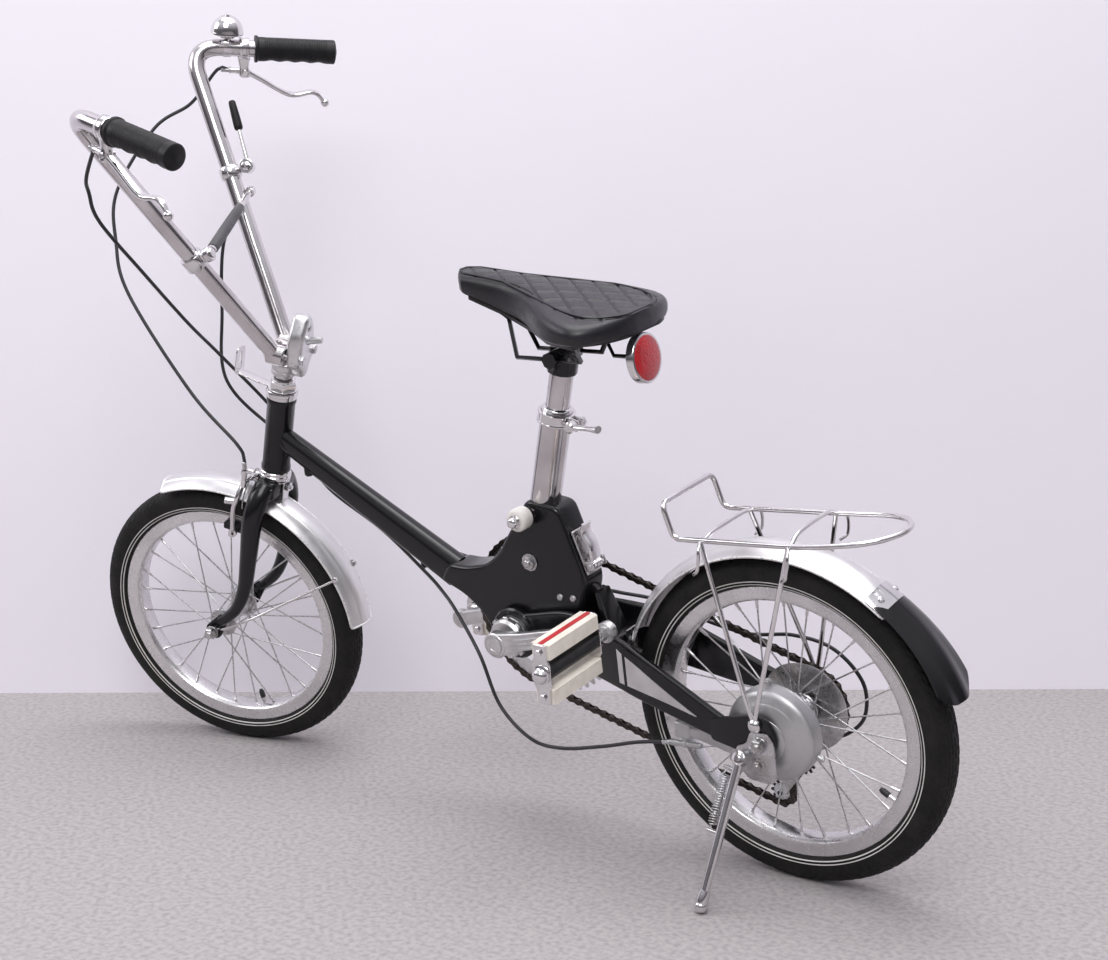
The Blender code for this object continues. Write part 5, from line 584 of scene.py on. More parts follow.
def hubShell(flangeY, leftEnd, rightEnd, barrel, neck):
    # the hub's section: an end, a flange, the barrel, the other flange and end
    t = wheel["flangeThick"] / 2
    f = wheel["flangeRadius"]
    side = [(neck, flangeY + 0.006), (neck + 0.002, flangeY + 0.004), (neck + 0.0025, flangeY + t),
        (f - 0.0006, flangeY + t), (f, flangeY + t - 0.0006), (f, flangeY - t + 0.0006),
        (f - 0.0006, flangeY - t), (barrel + 0.003, flangeY - t), (barrel + 0.0008, flangeY - t - 0.003),
        (barrel, flangeY - t - 0.007)]
    return [(0.0052, leftEnd), (neck - 0.0008, leftEnd), (neck, leftEnd - 0.0008)] + bothWays(side) \
        + [(neck, -rightEnd + 0.0008), (neck - 0.0008, -rightEnd), (0.0052, -rightEnd)]


def valveShapes(centre, angle):
    # two stepped profiles turned round the line from the rim to the axle
    foot = onWheel(centre, 0.1475, angle)
    tip = onWheel(centre, 0.125, angle)
    inward = unit(tip - foot)
    stem = lathe([(0.0042, 0), (0.0042, 0.0012), (0.0031, 0.0018), (0.0031, 0.0105)], foot, inward, 20)
    cap = lathe([(0.0036, 0.01), (0.0038, 0.0108), (0.0038, 0.019), (0.003, 0.0205), (0.0024, 0.0225)],
        foot, inward, 20)
    return stem, cap


def threaded(start, end, radius, pitch=0.001):
    # a stud with a fine ridged side
    length = np.linalg.norm(np.array(end) - np.array(start))
    count = int(length / pitch * 2)
    h = np.linspace(0, length, count + 1)
    profile = [(radius - (0.0003 if k % 2 else 0), x) for k, x in enumerate(h)]
    return lathe(profile, start, np.array(end, float) - np.array(start, float), 20)


def hexNut(centre, axis, radius, height):
    # six flats with chamfered corners
    profile = [(radius * 0.86, 0), (radius, height * 0.14), (radius, height * 0.82),
        (radius * 0.84, height)]
    return lathe(profile, centre, axis, 6)


def axleShapes(centre, faces):
    # a threaded stud along the axle, with a washer and a nut outside each face
    shapes = []
    reach = max(faces) + 0.013
    shapes.append(threaded(centre - yAxis * reach, centre + yAxis * reach, 0.0047))
    for side, face in ((1, faces[0]), (-1, faces[1])):
        out = yAxis * side
        shapes += [lathe([(0.0088, 0), (0.0092, 0.0004), (0.0092, 0.0012), (0.0088, 0.0016)],
                centre + out * (face + 0.0002), out, 32),
            hexNut(centre + out * (face + 0.0018), out, 0.0086, 0.007)]
    return shapes


def makeWheels():
    # tread, stripes, rim, valve, spokes and hub, all turned round the wheel's axle
    for word, centre, at, body, valve, flangeY in (("rear", rearCentre, stance, "rear_wheel", 212.1, 0.024),
            ("front", frontCentre, forkAt, "front_wheel", 263.6, 0.029)):
        piece(word + "_tyre_tread", [tyreShape(centre)], tyreRubber, body, at, (word + "_tyre",), sharp=60)
        piece(word + "_tyre_stripes", stripeShapes(centre), stripeWhite, body, at)
        stem, cap = valveShapes(centre, valve)
        spokes, nipples = spokeShapes(centre, flangeY)
        piece(word + "_rim_band", [rimShape(centre)], rimAlloy, body, at, (word + "_rim",), sharp=30)
        piece(word + "_valve_stem", [stem] + nipples, chrome, body, at, sharp=50)
        piece(word + "_valve_cap", [cap], blackPlastic, body, at)
        piece(word + "_spokes", spokes, steel, body, at, sharp=50)
        if word == "front":
            shell = hubShell(flangeY, 0.0494, 0.0494, 0.0115, 0.0095)
            piece("front_hub_shell", [lathe(shell, centre, yAxis)], steel, body, at, ("front_hub",))
        else:
            shell = hubShell(flangeY, 0.0485, 0.0624, 0.015, 0.0105)
            drum = [(0.01, 0.0345), (0.046, 0.0345), (0.0465, 0.0352), (0.0465, 0.0465), (0.01, 0.047)]
            disc = [(0.015, -0.031), (0.054, -0.0306), (0.0545, -0.031), (0.054, -0.0321), (0.015, -0.0321)]
            turned = [lathe(shell, centre, yAxis), lathe(drum, centre, yAxis), lathe(disc, centre, yAxis, 64)]
            piece("rear_hub_shell", turned, steel, body, at, ("rear_hub",))
    piece("front_axle_nuts", axleShapes(frontCentre, (0.0587, 0.0587)), steel, "steering", forkAt,
        ("front_axle",), sharp=35)
    piece("rear_axle_nuts", axleShapes(rearCentre, (0.0723, 0.069)), steel, "rear_arm", stance,
        ("rear_axle",), sharp=35)
    print("wheels made")


# Mudguards.

guard = {"radius": 0.215, "halfWidth": 0.027, "thick": 0.0012, "rise": 0.011, "front": (75.0, 181.0),
    "rear": (21.5, 131.5), "flapTo": 164.0, "ridge": 0.001, "bead": 0.0014}


def guardSkin(centre, angle, t, lift=0.0):
    # a crowned strip: it falls with the square of t across, with a flat raised band along its middle
    ridge = guard["ridge"] * (1 - smoothStep(0.4, 0.5, np.abs(t)))
    radius = guard["radius"] - guard["rise"] * t * t + ridge + lift
    return onWheel(centre, radius, angle, guard["halfWidth"] * t)


def guardShape(centre, first, last):
    # the outer skin from side to side and the inner one back, carried round the wheel
    angle = np.linspace(first, last, 96)[:, None]
    t = np.concatenate((np.linspace(-1, -0.52, 9), np.linspace(-0.49, -0.38, 6), np.linspace(-0.3, 0.3, 7),
        np.linspace(0.38, 0.49, 6), np.linspace(0.52, 1, 9)))[None, :]
    outer = guardSkin(centre, angle, t)
    inner = guardSkin(centre, angle, t[:, ::-1], -guard["thick"])
    return gridShape(np.concatenate((outer, inner), 1), False, True, True)


def guardBead(centre, first, last):
    # the rolled edge runs down one side, round the end and back up the other side
    angle = np.linspace(first, last, 90)
    t = np.linspace(-0.93, 0.93, 25)
    low = -guard["thick"] * 0.5
    side = lambda s, a: guardSkin(centre, a, np.full_like(a, s), low)
    loop = np.concatenate((side(1.0, angle[1:-1]), guardSkin(centre, np.full_like(t, last), -t, low),
        side(-1.0, angle[1:-1][::-1]), guardSkin(centre, np.full_like(t, first), t, low)))
    return tube(loop, guard["bead"], 10, True)


def flapShape(centre):
    # it widens and lifts a little below the guard's end, and its foot is cut to a shallow point
    u = np.linspace(0, 1, 40)[:, None]
    t = np.linspace(-1, 1, 33)[None, :]
    first = guard["rear"][1] - 6
    drop = (guard["flapTo"] - first) * (1 - 0.14 * np.abs(t) ** 3)
    angle = first + drop * u
    wide = guard["halfWidth"] * (1.02 + 0.3 * u ** 1.2)
    rise = guard["rise"] * (1.0 - 0.4 * u)
    wave = 0.0009 * np.sin(t * 7 + u * 3) * u
    radius = guard["radius"] + 0.0014 + 0.0022 * u - rise * t * t + wave
    outer = onWheel(centre, radius + 0.0012, angle, wide * t)
    inner = onWheel(centre, radius, angle, wide * t)[:, ::-1]
    return gridShape(np.concatenate((outer, inner), 1), False, True, True)


def clipShape(centre):
    # the bright band that holds the flap over the guard's end
    angle = np.linspace(guard["rear"][1] - 7.5, guard["rear"][1] - 1.0, 8)[:, None]
    t = np.linspace(-1.04, 1.04, 33)[None, :]
    outer = guardSkin(centre, angle, t, 0.0036)
    inner = guardSkin(centre, angle, t[:, ::-1], 0.0028)
    return gridShape(np.concatenate((outer, inner), 1), False, True, True)


def makeGuards():
    # both guards follow their wheels; flap, clip, tab and stays are set on them
    first, last = guard["rear"]
    piece("rear_mudguard_skin", [guardShape(rearCentre, first, last)], guardSilver, "rear_arm", stance,
        ("rear_mudguard",), sharp=50)
    piece("rear_mudguard_edge", [guardBead(rearCentre, first, last)], beadSilver, "rear_arm")
    piece("mud_flap_skin", [flapShape(rearCentre)], blackPaint, "rear_arm", stance, ("mud_flap",), sharp=50)
    rivets = [lathe([(0.004, -0.001), (0.004, 0.0006), (0.0026, 0.0018)],
        guardSkin(rearCentre, last - 4.2, side * 0.62, 0.0036),
        unit(guardSkin(rearCentre, last - 4.2, side * 0.62, 1.0) - rearCentre), 20) for side in (1, -1)]
    piece("mud_flap_clip", [clipShape(rearCentre)] + rivets, chrome, "rear_arm", sharp=50)
    tabAt = vec(0.2107, 0, 0.262)
    tab = slab([(-0.01, -0.017), (0.01, -0.017), (0.01, 0.016), (-0.01, 0.016)], 0.0028, tabAt, yAxis,
        zAxis)
    piece("rear_mudguard_tab", [tab, hexNut(tabAt - xAxis * 0.0014, -xAxis, 0.005, 0.0036)], steel,
        "rear_arm")
    first, last = guard["front"]
    piece("front_mudguard_skin", [guardShape(frontCentre, first, last)], guardSilver, "steering", forkAt,
        ("front_mudguard",), sharp=50)
    piece("front_mudguard_edge", [guardBead(frontCentre, first, last)], beadSilver, "steering", forkAt)
    stays = []
    for side in (1, -1):
        root = onWheel(frontCentre, guard["radius"] - 0.0085, 160.0, side * 0.0268)
        foot = atHead(-head["forkDrop"], head["rake"], side * 0.0563)
        path = [root - yAxis * side * 0.004, root]
        for t, y in ((0.1, 0.033), (0.35, 0.05), (0.62, 0.0665), (0.87, 0.066), (0.935, 0.0563)):
            spot = root + (foot - root) * t
            spot[1] = side * y
            path.append(spot)
        path.append(foot)
        stays += [tube(smoothPath(path, 0.006), 0.0018, 12),
            lathe(bothWays([(0.007, -0.0012), (0.0082, -0.0008)]), foot, yAxis, 28),
            lathe([(0.0044, -0.001), (0.0044, 0.0012), (0.0028, 0.0024)], root + yAxis * side * 0.001,
                yAxis * side, 20)]
    bracket = block(atHead(-0.0315, -0.017), (0.0028, 0.016, 0.035), headAxes)
    piece("front_mudguard_stays", stays + [bracket], chrome, "steering", forkAt)
    print("mudguards made")


makeWheels()
makeGuards()


# the box, the main tube and the head tube

bb = {"x": 0.365, "z": 0.258, "boxHalf": 0.021, "gap": 0.0003, "lugThick": 0.0097, "cupRadius": 0.0245}
bbCentre = vec(bb["x"], 0, bb["z"])
boxFace = bb["boxHalf"] + bb["gap"]
boxShape = [(0.285, 0.427), (0.331, 0.433), (0.347, 0.409), (0.366, 0.384), (0.384, 0.357), (0.408, 0.339),
    (0.44, 0.332), (0.468, 0.333), (0.484, 0.309), (0.448, 0.294), (0.423, 0.275), (0.401, 0.24),
    (0.365, 0.223), (0.333, 0.232), (0.303, 0.252), (0.275, 0.274), (0.264, 0.302), (0.2545, 0.335)]
headTube = {"length": 0.1085, "radius": 0.0185, "cupRadius": 0.0215, "cupHeight": 0.011}
mainTube = {"joinS": 0.052, "endX": 0.47, "endZ": 0.315, "headSize": (0.024, 0.03),
    "boxSize": (0.03, 0.044)}
seatPost = {"foot": (0.317, 0.423), "lean": 15.9, "tubeRadius": 0.0185, "radius": 0.0143, "clampAt": 0.117}


def seatPoint(s, f=0.0, y=0.0):
    # s up the seat post's axis from the top of the box, f forward of it
    tilt = math.radians(seatPost["lean"])
    x, z = seatPost["foot"]
    return vec(x - math.sin(tilt) * s + math.cos(tilt) * f, y, z + math.cos(tilt) * s + math.sin(tilt) * f)


seatUp = unit(seatPoint(1.0) - seatPoint(0))
seatAhead = unit(seatPoint(0, 1.0) - seatPoint(0))


def cupProfile(height, radius, flip):
    # a cup's section, wide for half its height and drawn in for the rest; flip turns it over
    steps = [(0.0132, 0), (radius - 0.002, 0), (radius - 0.0012, 0.0008), (radius - 0.0012, height * 0.45),
        (radius, height * 0.55), (radius, height * 0.86), (radius - 0.001, height), (0.0132, height)]
    return [(r, height - h) for r, h in reversed(steps)] if flip else steps


def makeFrame():
    # tubes and cups are turned, the main tube tapers, the box is an outline with curved edges
    length = headTube["length"]
    r = headTube["radius"]
    tubeRound = [(0.013, 0), (r + 0.0006, 0), (r + 0.0012, 0.001), (r + 0.0012, 0.006), (r, 0.009),
        (r, length - 0.009), (r + 0.0012, length - 0.006), (r + 0.0012, length - 0.001),
        (r + 0.0006, length), (0.013, length)]
    shapes = [lathe(tubeRound, atHead(0), headUp, 64, True)]
    start = atHead(mainTube["joinS"])
    end = vec(mainTube["endX"], 0, mainTube["endZ"])
    along = unit(end - start)
    up = vec(along[2], 0, -along[0])
    rings = []
    for t in np.linspace(0.015, 1.0, 24):
        w = np.interp(t, (0, 1), (mainTube["headSize"][0], mainTube["boxSize"][0])) / 2
        h = np.interp(t, (0, 1), (mainTube["headSize"][1], mainTube["boxSize"][1])) / 2
        rings.append(roundRect(start + (end - start) * t, yAxis, up, w, h, w * 0.93, 8))
    shapes.append(loft(rings))
    outline = rounds(boxShape, 0.01, 5)
    shapes.append(pillow(outline, bb["boxHalf"] * 2, vec(0, 0, 0), xAxis, zAxis, 0.006, 6))
    boss = start + (end - start) * 0.16
    shapes.append(lathe([(0.006, 0), (0.006, 0.0265), (0.0045, 0.029)], boss, -zAxis, 24))
    guide = start + (end - start) * 0.84
    hook = [guide - up * 0.017, guide - up * 0.027, guide - up * 0.027 + along * 0.006]
    shapes.append(tube(roundedPath(hook, 0.003, 5), 0.003, 12))
    piece("frame_paint", shapes, blackPaint, "frame", stance, ("frame_shell",), sharp=38)
    cups = [lathe(cupProfile(headTube["cupHeight"], headTube["cupRadius"], True),
            atHead(-headTube["cupHeight"]), headUp, 64, True),
        lathe(cupProfile(headTube["cupHeight"], headTube["cupRadius"], False), atHead(length), headUp, 64,
            True)]
    piece("head_cups", cups, chrome, "frame", sharp=35)
    out = boxFace + bb["lugThick"]
    r = bb["cupRadius"]
    rings = []
    for side, reach in ((1, 0.018), (-1, 0.005)):
        profile = [(0.011, 0), (r, 0), (r, reach * 0.3), (r - 0.001, reach * 0.34),
            (r - 0.001, reach * 0.42), (r, reach * 0.46), (r, reach * 0.8), (r - 0.003, reach),
            (0.011, reach)]
        rings.append(lathe(profile, bbCentre + yAxis * side * (out + 0.0003), yAxis * side, 48, True))
        if side > 0:
            teeth = []
            for k in range(8):
                turn = math.radians(45 * k)
                spoke = vec(math.cos(turn), 0, math.sin(turn))
                teeth.append(block(bbCentre + spoke * 0.0252 + yAxis * (out + 0.011),
                    (0.0042, 0.0052, 0.0075), (spoke, yAxis, np.cross(spoke, yAxis)), 0.0006))
            rings += teeth
    piece("bracket_cups", rings, alloy, "frame", sharp=35)
    bolts = []
    for x, z in ((0.294, 0.313), (0.275, 0.314)):
        for side in (1, -1):
            bolts.append(lathe([(0.0046, -0.001), (0.0046, 0.001), (0.0036, 0.0024), (0.0012, 0.0028)],
                vec(x, side * bb["boxHalf"], z), yAxis * side, 24))
    piece("box_rivets", bolts, steel, "frame")
    bolt = vec(0.334, 0, 0.353)
    nuts = [rod(bolt - yAxis * 0.024, bolt + yAxis * 0.024, 0.0048, 24)]
    for side in (1, -1):
        face = bolt + yAxis * side * boxFace
        nuts += [lathe([(0.011, 0), (0.011, 0.0012), (0.01, 0.0014)], face, yAxis * side, 32),
            hexNut(face + yAxis * side * 0.0013, yAxis * side, 0.0088, 0.005),
            lathe([(0.0046, 0), (0.0046, 0.0075), (0.0036, 0.0084)], face, yAxis * side, 24)]
    piece("box_bolt_nuts", nuts, steel, "frame", stance, ("box_bolt",), sharp=35)
    foot = vec(0.328, boxFace, 0.415)
    wheelShape = [(0.0044, 0.0264), (0.0085, 0.0264), (0.0118, 0.0258), (0.0137, 0.0242), (0.014, 0.0225),
        (0.014, 0.01), (0.0137, 0.0082), (0.0118, 0.0064), (0.0044, 0.0062)]
    piece("roller_wheel", [lathe(wheelShape, foot, yAxis, 48, True)], whitePlastic, "roller", stance,
        ("roller",), sharp=40)
    pin = [(0.0082, 0), (0.0085, 0.0006), (0.0085, 0.005), (0.008, 0.0056), (0.004, 0.0058),
        (0.004, 0.0268), (0.0084, 0.027), (0.0085, 0.0276), (0.008, 0.0282), (0.0062, 0.0284)]
    nut = [(0.0062, 0.0284), (0.0066, 0.029), (0.0066, 0.033), (0.0052, 0.035), (0.0026, 0.0362)]
    piece("roller_pin", [lathe(pin + nut[1:], foot, yAxis, 32)], chrome, "frame", stance, ("roller_axle",),
        sharp=35)
    print("frame made")


# the rear arm

arm = {"corner": 0.0042, "wedge": (0.196, 0.085)}


def beamShape(side):
    # the beam's sections change smoothly from beside the box to the dropout
    lug = boxFace + bb["lugThick"] / 2
    stations = [(0.345, lug, 0.234, 0.287, bb["lugThick"] / 2),
        (0.275, lug + 0.0015, 0.229, 0.299, bb["lugThick"] / 2),
        (0.2, 0.047, 0.222, 0.287, 0.005),
        (0.165, 0.052, 0.214, 0.274, 0.005),
        (0.05, 0.0635, 0.19, 0.221, 0.005)]
    rows = smoothPath(stations, 0.008)
    return loft([roundRect((x, side * y, (low + high) / 2), yAxis, zAxis, half, (high - low) / 2,
        arm["corner"], 5) for x, y, low, high, half in rows])


def makeArm():
    # two lofted beams with lugs and dropouts, joined by a block and its fin
    shapes = []
    dropOutline = [(0.066, 0.218), (0.022, 0.228), (0.006, 0.233), (-0.008, 0.229), (-0.017, 0.212),
        (-0.019, 0.199), (-0.013, 0.186), (0.003, 0.18), (0.066, 0.192)]
    for side in (1, -1):
        shapes.append(beamShape(side))
        face = bbCentre + yAxis * side * boxFace
        t = bb["lugThick"]
        shapes += [lathe([(0.017, 0), (0.0318, 0), (0.033, 0.0012), (0.033, t - 0.0022), (0.0308, t),
                (0.017, t)], face, yAxis * side, 64, True),
            pillow(rounds(dropOutline, 0.006, 4), 0.006, yAxis * side * 0.066, xAxis, zAxis, 0.001, 2)]
    bridge = vec(0.2245, 0, 0.255)
    shapes.append(block(bridge, (0.024, 0.09, 0.036), corner=0.002))
    rows = [(bridge + vec(0.002, 0, 0), 0.009, 0.02),
        (bridge + vec(0.012, 0, 0.034), 0.005, 0.016),
        (bridge + vec(0.022, 0, 0.067), 0.003, 0.013)]
    shapes.append(loft([roundRect(c, xAxis, yAxis, a, b, 0.002, 4) for c, a, b in rows]))
    piece("arm_paint", shapes, blackPaint, "rear_arm", stance, ("rear_arm",), sharp=38)
    # a bright wedge lies on the left beam's face and tapers towards the rear; its height follows the beam
    x = np.linspace(arm["wedge"][0], arm["wedge"][1], 24)
    y = np.interp(-x, (-0.275, -0.2, -0.165, -0.05), (0.0276, 0.052, 0.057, 0.0685)) + 0.0004
    t = (x[0] - x) / (x[0] - x[-1])
    low = np.interp(-x, (-0.275, -0.2, -0.165, -0.05), (0.229, 0.222, 0.214, 0.19))
    high = np.interp(-x, (-0.275, -0.2, -0.165, -0.05), (0.299, 0.287, 0.274, 0.221))
    middle = low + (high - low) * (0.5 - 0.06 * t)
    reach = (high - low) * 0.33 * (1 - t) ** 0.9 + 0.0004
    rows = [np.stack((x, y + out, middle + reach * side), 1)
        for side, out in ((1.0, -0.0006), (0.98, 0.0004), (-0.98, 0.0004), (-1.0, -0.0006))]
    piece("arm_wedge", [gridShape(np.stack(rows, 1), False, True, True)], alloy, "rear_arm",
        sharp=30)
    print("rear arm made")


# the fork, the headset and the lamp bracket

forkSize = {"bladeY": 0.055, "top": 0.012, "low": 0.007, "inner": 0.05, "plate": 0.0045}


def makeFork():
    # the blades taper along smooth curves from a lofted crown to flat plates
    crown = -0.0116
    drop = -head["forkDrop"]
    shapes = [rod(atHead(crown - 0.01), atHead(0.13), 0.0127, 48, chamfer=0.0006)]
    rings = []
    for y, half, tall, rise in ((-0.03, 0.0115, 0.0085, -0.003), (-0.028, 0.014, 0.0108, -0.0012),
            (-0.022, 0.015, 0.012, 0), (0.022, 0.015, 0.012, 0), (0.028, 0.014, 0.0108, -0.0012),
            (0.03, 0.0115, 0.0085, -0.003)):
        rings.append(roundRect(atHead(crown - 0.012 + rise, 0, y), headAhead, headUp, half, tall, 0.005, 4))
    shapes.append(loft(rings))
    plates = []
    for side in (1, -1):
        y = forkSize["bladeY"]
        path = [atHead(crown - 0.008, 0.002, side * 0.024),
            atHead(crown - 0.022, 0.003, side * 0.038),
            atHead(-0.062, 0.003, side * 0.0505),
            atHead(-0.118, 0.002, side * y),
            atHead(-0.165, 0.004, side * y),
            atHead(-0.2, 0.013, side * y),
            atHead(-0.222, 0.027, side * y),
            atHead(drop + 0.0195, head["rake"] - 0.0105, side * y)]
        path = smoothPath(path, 0.005)
        t = np.linspace(0, 1, len(path))
        radius = forkSize["top"] - (forkSize["top"] - forkSize["low"]) * np.clip((t - 0.25) / 0.75, 0, 1)
        shapes.append(tube(path, radius, 28, across=yAxis * side, oval=1.22 - 0.22 * t))
        plateY = side * (forkSize["inner"] + forkSize["plate"] / 2)
        tip = atHead(drop, head["rake"])
        top = atHead(drop + 0.026, head["rake"] - 0.014)
        back = unit(top - tip)
        wide = np.cross(back, yAxis)
        outline = [(-0.0125 * math.cos(a), -0.0125 * math.sin(a)) for a in np.linspace(0, np.pi, 13)] \
            + [(0.0075, 0.028), (-0.0075, 0.028)]
        plates.append(slab(outline, forkSize["plate"], tip + yAxis * plateY, wide, back, 0.0007))
    piece("fork_paint", shapes + plates, blackPaint, "steering", forkAt, ("fork",), sharp=38)
    caps = []
    for side in (1, -1):
        caps.append(lathe([(0.0128, -0.001), (0.0136, 0), (0.0136, 0.004), (0.011, 0.006)],
            atHead(crown - 0.0085, 0.0015, side * 0.0235), unit(headUp + yAxis * side * 0.25), 40))
    bolt = atHead(-0.022)
    caps.append(rod(bolt - headAhead * 0.027, bolt + headAhead * 0.048, 0.003, 20))
    for low, high, radius in ((0.015, 0.0195, 0.008), (-0.019, -0.024, 0.007), (0.0402, 0.0455, 0.007)):
        caps.append(hexNut(bolt + headAhead * low, headAhead * np.sign(high - low), radius,
            abs(high - low)))
    caps.append(lathe([(0.015, 0), (0.02, 0.0006), (0.0206, 0.0014), (0.0206, 0.0024), (0.015, 0.0036)],
        atHead(crown - 0.0002), headUp * -1, 48))
    piece("fork_brightwork", caps, chrome, "steering", forkAt, sharp=38)
    low = 0.1201
    nut = [lathe([(0.013, 0), (0.0186, 0), (0.0192, 0.0004), (0.0192, 0.0016), (0.0186, 0.002),
            (0.013, 0.002)], atHead(low), headUp, 64, True),
        lathe([(0.013, 0.0022), (0.0182, 0.0022), (0.0188, 0.003), (0.0188, 0.011), (0.0176, 0.0122),
            (0.013, 0.0122)], atHead(low), headUp, 6, True),
        lathe([(0.013, 0.0118), (0.016, 0.0118), (0.016, 0.015), (0.0146, 0.0158), (0.013, 0.0158)],
            atHead(low), headUp, 48, True)]
    strip = smoothPath([atHead(low + 0.001, 0.015), atHead(low + 0.001, 0.03), atHead(low + 0.003, 0.048),
        atHead(low + 0.0045, 0.06), atHead(low + 0.008, 0.065), atHead(low + 0.016, 0.0655)], 0.003)
    nut.append(loft([roundRect(p, yAxis, np.cross(a, yAxis), 0.0075, 0.0011, 0.0008, 2)
        for p, a in zip(strip, headings(strip))]))
    outer = ovalPoints((0, 0), 0.0112, 0.0192, 40, 0.45)
    inner = ovalPoints((0, 0.001), 0.0036, 0.0125, 40, 0.7)
    nut.append(holed(outer, inner, 0.0019, atHead(low + 0.0209, 0.065), yAxis, headUp))
    piece("lamp_bracket", nut, chrome, "steering", forkAt, ("headset_locknut",), sharp=38)
    print("fork made")


# the seat tube, the post, the clamp and its lever

def makeSeatPost():
    # everything is turned round the post's axis but the clamp's ears and its lever
    r = seatPost["tubeRadius"]
    shell = [(0.0147, -0.055), (r, -0.055), (r, 0.113), (r + 0.0004, 0.114), (r + 0.0004, 0.1262),
        (r - 0.0006, 0.127), (0.0147, 0.127)]
    piece("seat_tube_chrome", [lathe(shell, seatPoint(0), seatUp, 64, True)], darkChrome, "frame", stance,
        ("seat_tube",), sharp=35)
    bore = seatPost["radius"]
    post = [(0.013, 0.01), (bore, 0.0112), (bore, 0.1985), (bore - 0.0005, 0.2)]
    piece("seat_post_chrome", [lathe(post, seatPoint(0), seatUp, 64)], darkChrome, "seat_post", stance,
        ("seat_post",), sharp=35)
    s = seatPost["clampAt"]
    band = bothWays([(r + 0.0007, -0.0075), (r + 0.0034, -0.0075), (r + 0.0042, -0.0068),
        (r + 0.0042, -0.005), (r + 0.0034, -0.0044)])
    clamp = [lathe(band, seatPoint(s), seatUp, 64, True)]
    for side in (1, -1):
        clamp.append(block(seatPoint(s, -r - 0.0085, side * 0.005), (0.0165, 0.0038, 0.0142),
            (seatAhead, yAxis, seatUp), 0.0012))
    cap = [(0.0146, 0.1262), (0.0176, 0.1264), (0.0182, 0.1272), (0.0176, 0.1286), (0.016, 0.13),
        (0.0146, 0.1302)]
    clamp.append(lathe(cap, seatPoint(0), seatUp, 48, True))
    piece("seat_clamp_band", clamp, chrome, "frame", stance, ("seat_clamp",), sharp=38)
    spot = seatPoint(s, -r - 0.011)
    lever = smoothPath([spot + yAxis * 0.0125, spot + yAxis * 0.0135 + seatUp * 0.004 - seatAhead * 0.014,
        spot + yAxis * 0.015 + seatUp * 0.009 - seatAhead * 0.028,
        spot + yAxis * 0.0172 + seatUp * 0.013 - seatAhead * 0.04], 0.002)
    t = np.linspace(0, 1, len(lever))
    shapes = [rod(spot - yAxis * 0.0125, spot + yAxis * 0.0125, 0.0028, 20),
        lathe([(0.0058, 0.0073), (0.0068, 0.008), (0.0068, 0.0165), (0.005, 0.0182)], spot, yAxis, 32),
        hexNut(spot - yAxis * 0.0073, -yAxis, 0.0064, 0.0058),
        tube(lever, 0.003 + 0.0014 * smoothStep(0.5, 1.0, t), 18, oval=1.35)]
    piece("seat_cam_lever", shapes, chrome, "seat_lever", stance, ("seat_lever",), sharp=40)
    print("seat post made")


# cranks, chainring and pedals

crank = {"length": 0.172, "angle": 14.5, "inner": 0.058, "thick": 0.013, "flutes": 3, "fluteDepth": 0.0013,
    "teeth": 52, "ring": (0.08, 0.1008, 0.1068), "ringY": -0.04,
    "spoke": ((0.012, 0.011), (0.03, 0.0085), (0.06, 0.007), (0.088, 0.0072), (0.09, 0.0068))}
pedalSize = {"inner": 0.092, "outer": 0.192, "tilt": 91.0, "block": (0.019, 0.025), "spread": 0.027,
    "ribs": 7, "rib": 0.0007}


def crankPoint(side, y=0.0):
    # the crank's length along its angle from the bracket; side -1 is half a turn on
    turn = math.radians(180 - crank["angle"])
    return bbCentre + yAxis * y + vec(math.cos(turn), 0, math.sin(turn)) * crank["length"] * side


def crankArm(side):
    # sections along the arm; the outer face sinks in a few lengthwise flutes that fade at both ends
    mid = side * (crank["inner"] + crank["thick"] / 2)
    hub = bbCentre + yAxis * mid
    tip = crankPoint(side, mid)
    along = unit(tip - hub)
    up = vec(-along[2], 0, along[0])
    rings = []
    for t in np.linspace(0, 1, 60):
        wide = np.interp(t, (0, 0.25, 0.85, 1), (0.015, 0.0112, 0.0095, 0.01))
        thick = crank["thick"] / 2 * np.interp(t, (0, 0.25, 0.85, 1), (1.0, 0.85, 0.74, 0.8))
        edge = np.linspace(-1, 1, 28)
        fade = smoothStep(0.1, 0.17, t) * (1 - smoothStep(0.84, 0.9, t))
        sunk = crank["fluteDepth"] * fade * (0.5 - 0.5 * np.cos(np.pi * crank["flutes"] * (edge
            + 1))) ** 0.7
        bend = np.linspace(0, np.pi / 2, 5)[1:-1]
        corner = 0.0026
        face = np.stack((thick - sunk, edge * (wide - corner)), 1)
        high = np.stack((thick - corner + corner * np.cos(bend), wide - corner + corner * np.sin(bend)), 1)
        back = np.stack((-(thick - corner) - corner * np.sin(bend), wide - corner + corner * np.cos(bend)),
            1)
        ring = np.concatenate((face, high, back, back[::-1] * (1, -1), high[::-1] * (1, -1)))
        rings.append(hub + (tip - hub) * t + yAxis * side * ring[:, :1] + up * ring[:, 1:])
    shapes = [loft(rings),
        lathe([(0.01, -0.0065), (0.0158, -0.0065), (0.0165, -0.0058), (0.0165, 0.005), (0.015, 0.0068),
            (0.013, 0.0072), (0.0126, 0.0064), (0.006, 0.0064)], hub, yAxis * side, 48),
        lathe([(0.009, -0.0052), (0.0118, -0.0052), (0.0125, -0.0044), (0.0125, 0.0044), (0.0118, 0.0054),
            (0.006, 0.0054)], tip, yAxis * side, 40)]
    return shapes


